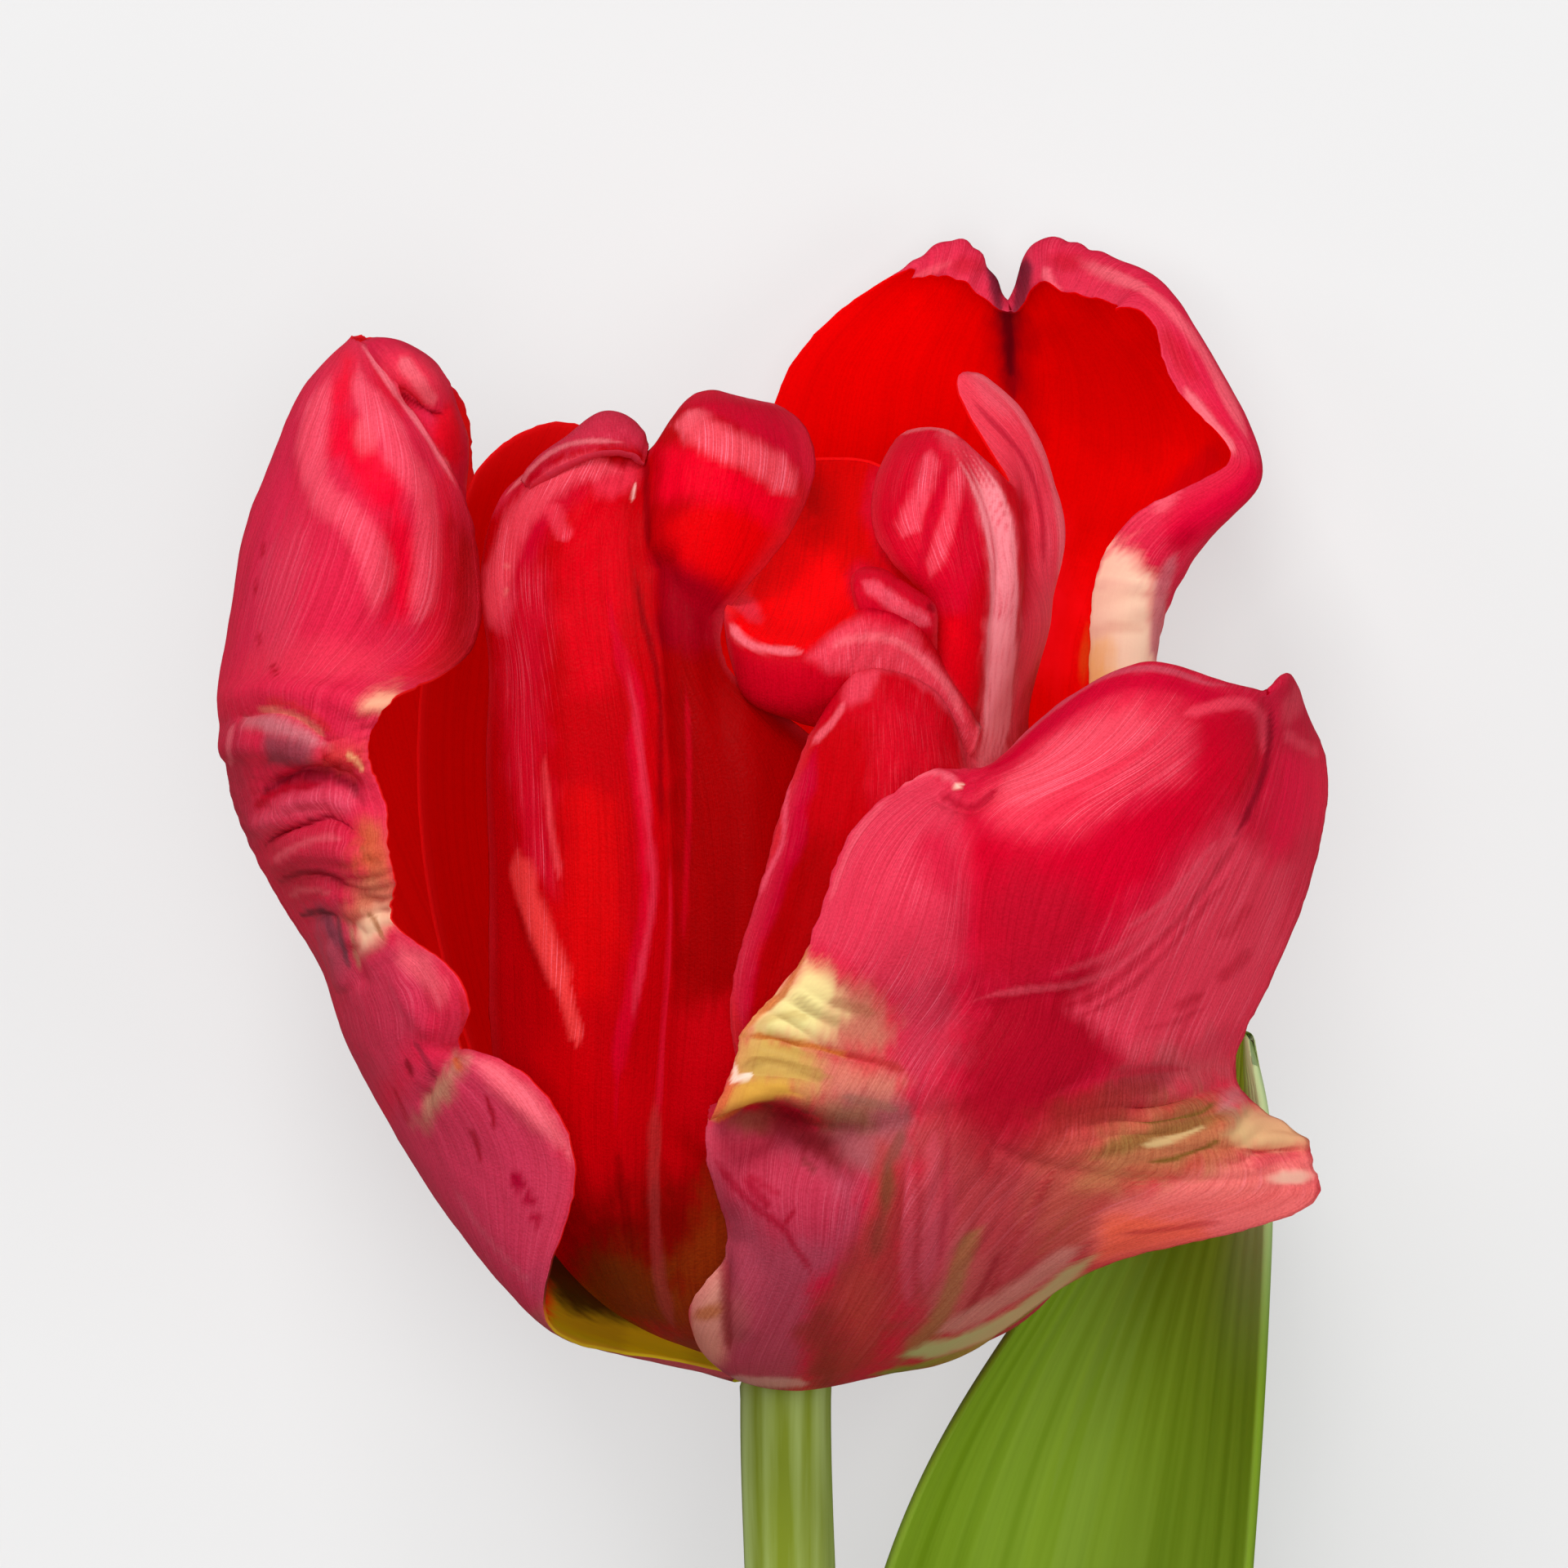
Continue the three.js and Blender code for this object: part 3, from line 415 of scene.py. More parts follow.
# The outer tepal at the front right: it bulges over a crease, with a cream fringe on its left and a horn
# on its right
frontTepal = {
    "thickness": 0.7, "teeth": 0.22, "unevenness": 0.06,
    "sheets": [{"across": 170, "along": 230, "rows": [
        [(-3.4, 0.5, 2), (-2.6, 0.2, 3.2), (-1.2, 0.1, 4), (0.4, 0.1, 4.2), (1.9, 0.1, 3.9),
         (3.1, 0.2, 2.9), (3.8, 0.4, 1.6)],
        [(-5.2, 1.4, 6.3), (-4.4, 0.9, 8.9), (-2.6, 0.3, 10.8), (0.2, 0, 11.5), (3.2, 0.2, 11), (6, 0.6, 9),
         (8.6, 1, 6.5)],
        [(-7.7, 6.3, 20.5), (-6, 4.2, 20), (-2.5, 3.4, 20.5), (1.5, 3.6, 21.5), (5.5, 3.8, 21),
         (10, 3.4, 18), (15, 2.8, 13)],
        [(-4.7, 11.5, 25), (-2.7, 10.5, 27.5), (0.5, 10, 29.5), (4.5, 10, 30), (9.5, 10, 28.5),
         (15.5, 8.8, 24.5), (24, 9, 17.5)],
        [(-6.2, 18.3, 27.5), (-3.5, 16.8, 30), (0.5, 16, 32), (6, 16, 33), (13, 16, 31.5), (22, 14.5, 27),
         (34, 12, 19.5)],
        [(-6, 22.7, 27), (-2.9, 22.6, 28.2), (2.2, 21, 31), (8, 20.4, 33), (16, 20.5, 32.5),
         (28, 17.5, 26.5), (42.6, 14.8, 16)],
        [(-6.1, 21.9, 34), (-1.3, 23.8, 35.4), (2.6, 22.7, 35), (8.6, 22.2, 33.6), (17, 22.7, 32.6),
         (28.5, 20.3, 26.7), (42.5, 17.9, 16)],
        [(-4.1, 26.2, 34.5), (0, 26.4, 35), (4.5, 25.6, 35), (10, 25, 34), (18, 25, 32.5),
         (28.5, 22.5, 26.5), (41.6, 20.3, 15.5)],
        [(-3, 29.6, 34.5), (1.5, 30, 35), (7, 29.6, 34), (12.6, 29, 32.5), (20, 28.5, 31.5),
         (28.5, 26.5, 26), (36.6, 24.3, 15.5)],
        [(1.9, 35.8, 34.5), (5.5, 35.4, 35.6), (10, 34.5, 34.8), (15, 33.2, 32.8), (21, 32, 31.5),
         (30, 31, 26), (38.3, 30.8, 11)],
        [(5.4, 45, 31.5), (8.5, 42.5, 34.5), (12, 40.5, 35), (15.5, 39.5, 34), (23, 38.5, 34),
         (33, 38, 26.4), (41.7, 38, 5)],
        [(12.6, 49.6, 28), (13.8, 48, 30), (15, 47, 31.5), (19, 46, 34), (26, 45, 33.5), (36, 44.5, 24),
         (43.5, 44, 2)],
        [(16.5, 50.2, 27), (19.5, 50.8, 30), (23, 51, 32), (27.5, 50.8, 31.5), (32, 50.2, 28.5),
         (38.3, 50, 19.6), (44.1, 50, 0)],
        [(20, 53.3, 24.5), (24, 56, 26), (28.5, 57.7, 26), (33, 56.9, 24), (38.2, 55.9, 18.6),
         (40.7, 57, 11.5), (42.2, 54.4, 4.6)],
        [(22.3, 53.6, 20.5), (25.8, 55.8, 20.6), (29.5, 56.6, 19.6), (33.2, 55.9, 17.6), (36.8, 54.8, 14),
         (39.6, 55.6, 8.5), (41, 54, 3.4)],
    ]}],
    "folds": [
        (0.8, -0.4, [(38.7, 58), (38.8, 54), (38.2, 49.5), (37, 46)]),
        (0.9, -0.28, [(37.6, 48), (35, 43), (31.4, 38.4), (28, 35.2), (24.6, 32.6), (19.5, 31.6),
         (14.6, 30.4)]),
        (2.2, 0.2, [(36, 54), (34.5, 50), (32.4, 46), (28.5, 41), (23, 38.5)]),
        (1.3, -0.4, [(14, 50), (14.8, 46.5), (15.2, 42), (15.2, 37.5), (14.6, 33.5)]),
        (1.6, 0.25, [(12, 47), (12.5, 42), (13, 37), (12.5, 32)]),
        (0.5, 0.5, [(8.8, 48), (10.8, 49.3), (13, 49), (14.4, 47.8)]),
        (0.4, -0.5, [(11.5, 47.8), (13.4, 46.8), (15.6, 46.8), (17.4, 48.2)]),
        (0.9, -0.35, [(15, 34), (13.2, 30), (11.6, 26), (10.2, 21), (9.4, 15), (9.2, 8)]),
        (1.1, 0.3, [(13.4, 30), (12, 25), (11.2, 20), (10.8, 14), (10.4, 8)]),
        (1.0, -0.3, [(20, 23), (25, 25), (30, 25.7), (36, 25)]),
        (0.7, -0.3, [(14, 22), (18, 19), (24, 17.4), (31, 16.8), (38, 17)]),
        (0.6, 0.3, [(25, 19.4), (30, 19.6), (35, 20.6), (38, 21.6)]),
        (0.5, -0.5, [(27, 22.6), (31, 23), (34.4, 24), (36.5, 24.4)]),
        (0.6, 0.5, [(34.6, 20.4), (36, 22), (37, 23.4)]),
        (0.5, -0.5, [(37, 19.2), (39.4, 18.9), (42, 18.8)]),
        (0.5, 0.35, [(37, 17.9), (39.6, 17.6), (42.4, 17.4)]),
        (0.6, -0.5, [(-3.4, 28.4), (0, 28), (4, 27), (8, 26)]),
        (0.8, 0.3, [(-3.8, 26), (0, 26.2), (4, 25.2)]),
        (0.9, 0.35, [(-4.4, 14), (-3, 17), (0, 19), (3, 18.6)]),
        (0.9, -0.3, [(2.8, 18.8), (5, 15.6), (6, 11), (4, 7)]),
        (0.9, -0.55, [(-5.1, 11.5), (-4.8, 8), (-4.7, 5), (-4.3, 2)]),
        (1.0, 0.4, [(-3.2, 12), (-3, 8), (-2.8, 4)]),
    ],
    "wrinkles": [
        (1, 30, 3.4, 3, -28, 1.5, 0.2, 0.2), (-1, 25.6, 4, 1.6, -14, 1.1, 0.16, 0.6),
        (14.2, 47.8, 2, 1.4, 70, 0.9, 0.18, 0.2), (39.5, 19.5, 5, 3, 2, 1.5, 0.16, 0.0),
        (27, 50, 9, 6, 80, 2.6, 0.03, 0.0), (10, 14, 8, 5, 78, 1.6, 0.1, 0.3),
        (18, 14, 8, 6, 62, 2.0, 0.08, 0.1), (30, 21.6, 6, 2.4, 8, 1.2, 0.12, 0.4),
    ],
    "outer": {"base": tint(226, 26, 68, 0.12), "rim": tint(240, 96, 120), "rimStrength": 0.3, "areas": [
        # The foot and the hollow above it
        (1.5, tint(196, 76, 100, 0.2), 0.95, [(-7, -1), (-9, 8), (-5.5, 13), (-8, 21), (-4, 22.5),
         (3, 20.5), (6, 18), (7.2, 18.8), (6.6, 15.4), (5.9, 13.1), (4.5, 10.5), (2.3, 8), (2.1, 6),
         (1.1, 4.6), (1.8, 3), (0, -1)]),
        (1.6, tint(208, 48, 80, 0.15), 0.7, [(-6.4, 20), (-4, 15), (-1, 12), (4, 12), (5, 15), (2.5, 18.4),
         (-2, 20.6)]),
        (3.0, tint(190, 74, 78, 0.12), 0.9, [(9.5, 1), (9.2, 12), (9, 22), (12.6, 23.6), (20, 20), (27, 17),
         (26, 10), (16, 4)]),
        (2.4, tint(206, 104, 86, 0.1), 0.75, [(20, 22), (27, 23), (28, 15), (24, 11.4), (19.4, 12)]),
        # Painted shade in the hollow under the bulge
        (3.0, tint(172, 10, 36), 0.92, [(13, 22), (13, 28), (15, 33), (24, 35), (29, 33), (26.6, 26),
         (22, 20.6), (16, 19)]),
        (2.0, tint(204, 58, 84, 0.3), 0.85, [(8, 31), (6, 34), (9, 36), (13, 34), (14, 30), (12.6, 25),
         (10, 22), (8.6, 26)]),
        (1.0, tint(166, 104, 108, 0.1), 0.8, [(3.2, 21), (4, 24.8), (8, 25), (10.4, 22), (9.4, 19),
         (6.6, 17.4), (4.4, 18.4)]),
        # Painted shadow below the cream fringe
        (1.2, tint(160, 116, 84), 0.8, [(1.8, 22.6), (3, 24), (6.8, 23.4), (6.8, 21.4), (3.4, 21.2)]),
        # The bulge and its folded edge
        (1.4, tint(232, 64, 94, 0.3), 0.85, [(1.6, 36), (4.6, 44.5), (8, 48), (10.7, 49.8), (13.2, 49),
         (14.2, 46), (14.4, 40), (13.4, 34), (9, 32.4), (4.6, 34)]),
        (1.2, tint(220, 24, 66), 0.8, [(10.8, 41), (11, 44.6), (13, 45), (14, 42), (12.8, 39.8)]),
        (1.6, tint(216, 0, 44), 0.95, [(14.8, 46), (17, 44.5), (20, 43.6), (23.2, 43.8), (27, 46.4),
         (31.5, 48.6), (33, 51.5), (31.4, 54.2), (33.4, 54.6), (36, 55.2), (38, 54.4), (38.8, 52),
         (38.2, 49.5), (36, 47.6), (32.4, 44.4), (29.4, 41.4), (26, 38.4), (22, 35.6), (17, 34.5),
         (15, 36)]),
        # Painted shade on the lower side of the bulge
        (2.2, tint(196, 22, 50), 0.75, [(15.6, 34.4), (15.6, 40), (19, 42), (23, 40.6), (25, 37), (22, 34),
         (18, 33)]),
        (1.4, tint(246, 76, 106, 0.3), 0.85, [(23, 30.6), (27, 36), (31.6, 41.6), (35.4, 45.4), (41, 42),
         (40.4, 35), (37, 30), (33, 27), (28, 26.6)]),
        # A painted highlight on the top of the bulge
        (1.3, tint(246, 66, 94, 0.8), 0.9, [(15.3, 46.9), (18.3, 49.1), (21, 51.9), (24.8, 54.3),
         (27.6, 55.2), (30.8, 54.8), (32.4, 52.9), (31.9, 49.6), (27, 47.6), (23.2, 45), (20, 44.8),
         (17, 45.4)]),
        (0.8, tint(218, 0, 44), 0.8, [(33.4, 50), (33.6, 53.4), (36, 54.2), (37.8, 52.6), (37.6, 49.6),
         (35.6, 48)]),
        (1.2, tint(250, 20, 82), 0.85, [(38.8, 42), (39.6, 50.8), (42, 51.4), (44, 50), (44, 46),
         (42, 44.6)]),
        # The cream fringe
        (1.8, tint(206, 140, 112, 0.1), 0.85, [(1.4, 34), (4, 33.4), (6.6, 32), (8.6, 29.6), (7.4, 27.4),
         (1.4, 27.4)]),
        (1.4, tint(222, 140, 116, 0.1), 0.85, [(1, 27.2), (3.4, 27), (6.6, 26.2), (9.6, 24.8), (8, 23.4),
         (5.4, 23.6), (1, 23.8)]),
        (1.3, tint(244, 238, 164), 0.95, [(-2.6, 30), (0, 32), (1.6, 34.8), (2.6, 34.4), (3.6, 32),
         (4.4, 30.2), (3.4, 28.8), (1.4, 28), (-2.6, 28.2)]),
        (1.3, tint(208, 176, 92), 0.95, [(-4.4, 28.6), (-1.6, 28.8), (1, 28), (2.4, 26.6), (2.4, 24.8),
         (1.6, 23.8), (0.6, 24), (-2, 24.4), (-4.4, 24.4)]),
        # Painted shadow under the arch of the fringe, olive-brown at its left and dark maroon in its middle
        (0.8, tint(150, 92, 66), 0.75, [(-4.8, 21.4), (-3, 22.9), (-1, 23.4), (-0.4, 22.2), (-1.2, 20.8),
         (-3.2, 20.6)]),
        (1.5, tint(136, 28, 36), 0.9, [(-1.4, 22.8), (0.4, 23.4), (1.7, 22.8), (2.8, 21.4), (4.6, 19),
         (6, 16.8), (4, 17.6), (1.8, 19), (-0.4, 20.4), (-1.6, 21.6)]),
        (0.3, tint(220, 172, 72), 0.95, [(-6.4, 21.8), (-5.6, 21.5), (-4.8, 21.8), (-3.6, 22.8),
         (-1.8, 23.6), (0, 24), (1.2, 23.8), (0, 24.8), (-2.4, 24.8), (-4.4, 24.4), (-5.6, 23.2)]),
        # The left side of the foot
        (1.0, tint(190, 62, 60, 0.1), 0.85, [(7.4, 20), (7, 17.4), (6.6, 15.4), (5.9, 13.1), (4.5, 10.5),
         (2.3, 8), (2.1, 6), (1.1, 4.6), (1.8, 3), (2.2, 0), (4.8, 0), (8.9, 5.3), (9.4, 9.4), (9.2, 16.3),
         (8.8, 20.6)]),
        (1.4, tint(160, 50, 48), 0.7, [(2, 1), (1.6, 4.6), (2.6, 7), (4, 6), (4.6, 2.4), (3.6, 0)]),
        (1.4, tint(206, 74, 66), 0.7, [(4.6, 6), (4.8, 9.8), (7, 10.4), (7.6, 7), (6.4, 4.8)]),
        (0.7, tint(226, 158, 138, 0.1), 0.9, [(-5, 11), (-6.4, 10), (-8, 7.6), (-7.8, 3.6), (-5.8, 1),
         (-4.8, 3), (-5, 7)]),
        # The horn and the hollow beside it
        (1.0, tint(250, 136, 130, 0.3), 0.95, [(25, 10), (25, 14.4), (30, 16.8), (36, 18.6), (43.6, 18.8),
         (43.6, 13), (36.6, 11.6), (30, 10.6)]),
        (0.9, tint(255, 120, 84), 0.85, [(25, 10), (25.4, 13.8), (29, 14.6), (33, 14.2), (34, 12),
         (29, 10.8)]),
        # A painted highlight along the horn
        (0.7, tint(246, 122, 118, 0.4), 0.8, [(28, 14.2), (33, 15.2), (39, 16), (42.6, 16.6), (42.6, 15.6),
         (36, 14.2), (31, 13.4)]),
        (2.2, tint(204, 96, 104, 0.1), 0.75, [(26, 24), (30, 28), (35, 28), (36.4, 25), (34, 23.6),
         (29, 22.6)]),
        (1.8, tint(200, 142, 92), 0.85, [(24, 16.6), (25.4, 20.6), (30, 22.6), (34.6, 22.8), (36.4, 20.4),
         (36, 18.4), (30, 16.8)]),
        (0.9, tint(226, 204, 146), 0.9, [(42.8, 19.4), (37.6, 19), (35.4, 20.4), (36.6, 22.6), (39, 22.8),
         (41.6, 21.4)]),
        (0.7, tint(210, 160, 160), 0.7, [(34.8, 22), (35.2, 23.8), (36.6, 24.4), (37.2, 23.2), (36, 22)]),
    ], "patches": [
        (30, 20.4, 7, 0.8, 14, tint(138, 110, 50), 0.7), (40.8, 16.9, 2.2, 0.6, 2, paleCream, 0.8),
        (28.5, 25, 3.2, 1.3, 10, tint(140, 38, 44), 0.7), (32, 22, 2.4, 1, 15, tint(150, 104, 60), 0.7),
        (12.4, 13.5, 5, 1.3, 82, tint(216, 80, 100), 0.6), (14, 8, 4, 2, 55, tint(206, 104, 100), 0.5),
        (8, 16.2, 2.2, 0.7, 84, tint(116, 84, 50), 0.65), (7.4, 12.4, 2, 0.8, 78, tint(130, 76, 54), 0.5),
        (8.8, 19.6, 2, 0.6, 62, tint(140, 84, 70), 0.65), (-6.2, 6.2, 1.4, 0.6, 20, tint(196, 116, 64), 0.8),
        (-4, 5.4, 3, 1.2, 75, tint(206, 110, 110), 0.5), (41, 55.2, 2, 1, 60, tint(244, 84, 106), 0.7),
        (25, 22.8, 5, 1.8, 8, tint(150, 44, 38), 0.75),
        (34.6, 27.6, 3, 1.2, 20, tint(222, 60, 90, 0.3), 0.6),
        (41.6, 41, 5, 1.2, 82, tint(232, 50, 86, 0.2), 0.6), (22, 46.6, 3, 0.8, 20, tint(232, 30, 70), 0.4),
    ], "strokes": [
        # The bulge's painted highlight and its folded edge
        (1.6, tint(250, 90, 112, 0.9), 0.7, [(16, 46.6), (19, 48.2), (23, 51), (27, 52.8), (30.8, 52.6)]),
        # Painted shade along the folded edge where it turns back, then the edge's pale rim
        (0.75, tint(214, 0, 54), 0.9, [(14.6, 48.2), (17, 49.8), (20, 52.3), (23, 54.6), (26.4, 56.4),
         (30, 56.8), (33, 55.9), (36, 55.3), (37.8, 55.6)]),
        (0.28, tint(216, 92, 116), 0.8, [(15.4, 49.4), (18.6, 52), (22, 54.7), (25, 56.7), (28, 57.6),
         (31, 57.5), (33.6, 56.6), (37, 56.3)]),
        # Painted highlights along the right end of the edge and on the flap beyond it
        (0.5, tint(250, 76, 104), 0.85, [(30.8, 54), (33.2, 54.5), (36, 55.1), (37.7, 54.6), (38.3, 53),
         (38.2, 50)]),
        (0.55, tint(248, 76, 104, 0.2), 0.8, [(39.6, 52.8), (41, 52.2), (43.6, 50.9)]),
        (0.35, tint(150, 4, 36), 0.85, [(38.8, 55.8), (38.8, 52), (38.1, 49), (37, 46.4), (35.6, 44)]),
        # Ribs across the bulge
        (0.34, tint(240, 96, 120), 0.42, [(37.4, 46.6), (35.1, 42.8), (31.8, 38.5), (28.8, 35.9),
         (25, 33.4), (19.9, 32.4), (15.6, 31.6), (13.4, 30)]),
        (0.3, tint(240, 96, 120), 0.3, [(36.4, 46), (33.8, 42.4), (30.6, 38.8), (27.8, 36.6), (24, 34.4),
         (19.4, 33.3)]),
        (0.25, tint(236, 92, 116), 0.6, [(35, 45), (32.4, 41.8), (29.4, 38.8), (26.4, 36.8)]),
        (0.4, tint(176, 4, 36), 0.55, [(37.5, 46.2), (34.1, 41.4), (30.9, 37.3), (27.4, 34), (24.3, 31.6),
         (20, 30.4)]),
        (0.3, tint(180, 6, 38), 0.45, [(36.6, 42.6), (33, 38.4), (30, 35), (26.6, 31.8), (22, 29.4)]),
        (0.5, tint(196, 16, 48), 0.5, [(30.8, 30.6), (32.4, 31.4), (33.6, 32)]),
        (0.6, tint(200, 16, 50), 0.5, [(34.3, 32.8), (36, 34), (37.6, 35.4)]),
        (0.6, tint(206, 16, 50), 0.4, [(34.4, 36), (36, 37.6), (37.4, 39.4)]),
        (0.3, tint(190, 20, 50), 0.3, [(28, 29), (31, 29.6), (34, 31)]),
        # The notch at the left end of the folded edge, with painted shade inside its curl
        (0.35, tint(190, 16, 50), 0.8, [(12.5, 48.6), (12.9, 47.5), (14.5, 46.7), (16.1, 47.2),
         (17.5, 48.6)]),
        # The cream fringe and the edge above it
        (0.4, tint(166, 138, 84), 0.5, [(0.4, 32), (2.4, 30.6), (4.8, 29.4)]),
        (0.35, tint(206, 178, 104), 0.6, [(-2.4, 29.4), (0, 30.2), (2.2, 29.8)]),
        (0.4, tint(176, 140, 70), 0.6, [(-3.8, 26), (-1, 26.4), (1.8, 25.6), (4, 25)]),
        # A painted highlight on the notch's curl
        (0.25, paleCream, 0.9, [(13.3, 48.2), (13.8, 48.4), (14.2, 48.2)]),
        (0.3, tint(244, 110, 130), 0.8, [(8.5, 48), (10.7, 49.4), (12.5, 49.4), (14.3, 48.2)]),
        (0.3, tint(244, 104, 124, 0.2), 0.6, [(3.4, 38.4), (4.6, 42), (6.4, 45.4), (9, 48)]),
        (0.4, tint(206, 118, 40), 0.8, [(-3.8, 28.5), (-1.5, 28.5), (1, 28), (4, 27.2), (6.4, 26.5)]),
        (0.4, tint(190, 56, 56), 0.9, [(4, 27.2), (7, 26.5), (10, 25.4)]),
        (0.3, tint(204, 128, 58), 0.9, [(-3, 30), (-0.4, 31.6), (1, 34), (2.2, 36)]),
        (0.5, tint(170, 110, 76), 0.5, [(3, 31.4), (5, 31), (7.4, 30.2)]),
        (0.4, tint(150, 110, 90), 0.5, [(4, 23.8), (7, 23.2), (9.4, 22.6)]),
        # Painted highlights on the top of the tongue
        (0.3, tint(252, 240, 220), 0.95, [(-4.2, 24.9), (-3.4, 25.1), (-2.4, 25.3)]),
        (0.25, tint(252, 240, 220), 0.8, [(-4.2, 26.4), (-4, 25.4), (-4.4, 24.6)]),
        (0.5, tint(226, 112, 56), 0.85, [(-6.4, 21.7), (-5.8, 22.5), (-4.9, 23.5), (-4.3, 25)]),
        (0.4, tint(226, 144, 66), 0.75, [(-4.3, 28.6), (-3, 29.6), (-1.6, 30.8), (-0.4, 32)]),
        (0.25, tint(226, 120, 60), 0.8, [(-5.8, 21.5), (-4.6, 21.9), (-3.4, 22.9)]),
        (0.3, tint(200, 150, 70), 0.7, [(-2.8, 28.9), (-4, 28.2), (-4, 26.6)]),
        # The foot and its ribs
        (0.3, tint(180, 10, 46), 0.7, [(-6.2, 19.2), (-3.9, 16.5), (-2.1, 14.7), (-0.2, 13.3), (0.7, 11.9),
         (1.8, 10.3), (2.7, 8.3)]),
        (0.45, tint(180, 10, 46), 0.7, [(-3.4, 17.4), (-2.2, 15.9), (-0.9, 14.6)]),
        (0.2, tint(180, 16, 46), 0.8, [(1, 14.8), (0.4, 14), (-0.2, 13.2)]),
        (0.3, tint(186, 16, 50), 0.6, [(-3, 17.6), (-1.6, 16.4), (0, 15.6)]),
        (0.3, tint(130, 50, 44), 0.6, [(1.2, 18.6), (2, 18), (2.6, 17.2)]),
        (0.6, tint(218, 82, 102, 0.4), 0.6, [(9.9, 20), (9.9, 15), (9.7, 10), (9.9, 6)]),
        (0.6, tint(222, 88, 108, 0.4), 0.5, [(12, 22), (11.6, 17), (11.4, 12), (11, 7)]),
        (0.25, tint(180, 36, 62), 0.4, [(10.9, 21), (10.7, 16), (10.5, 11), (10.3, 7)]),
        (0.3, tint(180, 32, 58), 0.4, [(13, 24), (12.8, 19), (12.6, 14), (12, 9)]),
        (0.9, tint(166, 128, 74), 0.65, [(16.4, 14), (14.8, 12.2), (13.9, 10.4), (13.2, 8), (12, 5.6),
         (10.3, 3.4), (8.5, 1.4)]),
        (0.3, tint(204, 96, 100), 0.5, [(15, 14.6), (13.2, 11.4), (12.2, 8), (10.6, 5)]),
        (0.35, tint(160, 28, 44), 0.7, [(17.4, 12), (16, 9), (14.4, 6.4), (12.6, 4.4)]),
        (0.3, tint(170, 30, 44), 0.6, [(22, 19), (20, 15), (17.8, 10.6), (15.6, 6.6)]),
        (0.35, tint(208, 90, 96, 0.2), 0.5, [(20.6, 16), (18.8, 12), (16.6, 8)]),
        (0.3, tint(188, 96, 72), 0.5, [(25, 17), (22, 13.4), (19.6, 10)]),
        (0.9, tint(214, 150, 136), 0.8, [(24.6, 12.2), (21, 9.8), (17.6, 7.4), (14.4, 5.6), (11, 4.4)]),
        (0.9, tint(186, 196, 132), 0.95, [(26, 11.6), (23.6, 9.8), (20.6, 7.2), (17.2, 5), (13.6, 3.6),
         (8, 2.6)]),
        (0.45, tint(150, 162, 60), 0.95, [(27, 10.6), (24, 8.9), (21.4, 6.3), (18, 4.1), (14.8, 2.8),
         (11.4, 1.8), (5, 0.8)]),
        # The horn
        (0.22, tint(132, 104, 40), 0.9, [(28.4, 18.4), (31, 18.6), (33.4, 19.4), (35.3, 20.4)]),
        (0.22, tint(132, 104, 44), 0.9, [(27.6, 21.2), (30.4, 21.5), (33.1, 22.1), (35.3, 23.1)]),
        (0.25, tint(222, 200, 140), 0.8, [(28, 19.6), (31, 20), (34, 21.2)]),
        (0.2, tint(160, 140, 70), 0.8, [(36.6, 24.2), (38.6, 22.9), (40.2, 21.9), (42, 20.4)]),
        (0.4, tint(226, 84, 96), 0.6, [(37, 17.7), (39.4, 18.3), (41.9, 18.8)]),
        (0.2, tint(200, 60, 60), 0.6, [(36, 19), (39, 19.1), (42, 19.3)]),
        (0.4, tint(196, 30, 60), 0.4, [(20, 23), (22.6, 24.2), (26, 25.2), (30, 25.7), (33.4, 25.4)]),
        (0.25, tint(196, 60, 60), 0.6, [(26, 12.6), (31, 13), (36, 13.6)]),
        # The left side of the foot
        (0.6, tint(150, 40, 44), 0.7, [(-5, 11.4), (-4.6, 8), (-4.6, 5), (-4.2, 2.4)]),
        (0.25, tint(220, 80, 90), 0.7, [(-6.4, 10), (-7.6, 7.6), (-7.5, 4.4), (-6, 1.8)]),
        (0.5, tint(226, 190, 176), 0.6, [(-5, 0.9), (-3, 0.6), (0, 0.5), (2.4, 0.4)]),
    ]},
    "inner": {"base": scarlet, "rim": scarlet, "rimStrength": 0.0, "areas": [
        (0.8, tint(206, 0, 40), 0.95, [(35, 53), (36, 58.5), (44, 58.5), (44, 52), (40, 52)]),
    ], "patches": [
        (2, 5, 12, 9, 0, yellow, 0.8), (2, 13, 12, 6, 0, darkOlive, 0.7), (0, 28, 6, 4, 40, greenCream, 0.9),
        (-6.4, 23.2, 3, 2, 0, tint(214, 56, 84), 0.95), (38, 18, 8, 4, 0, cream, 0.8),
        (30, 53, 14, 2, 0, crimson, 0.6),
    ], "strokes": []},
}
tepal("outer_tepal_front_petal", "outer_tepal_front", "outer_tepal", frontTepal)

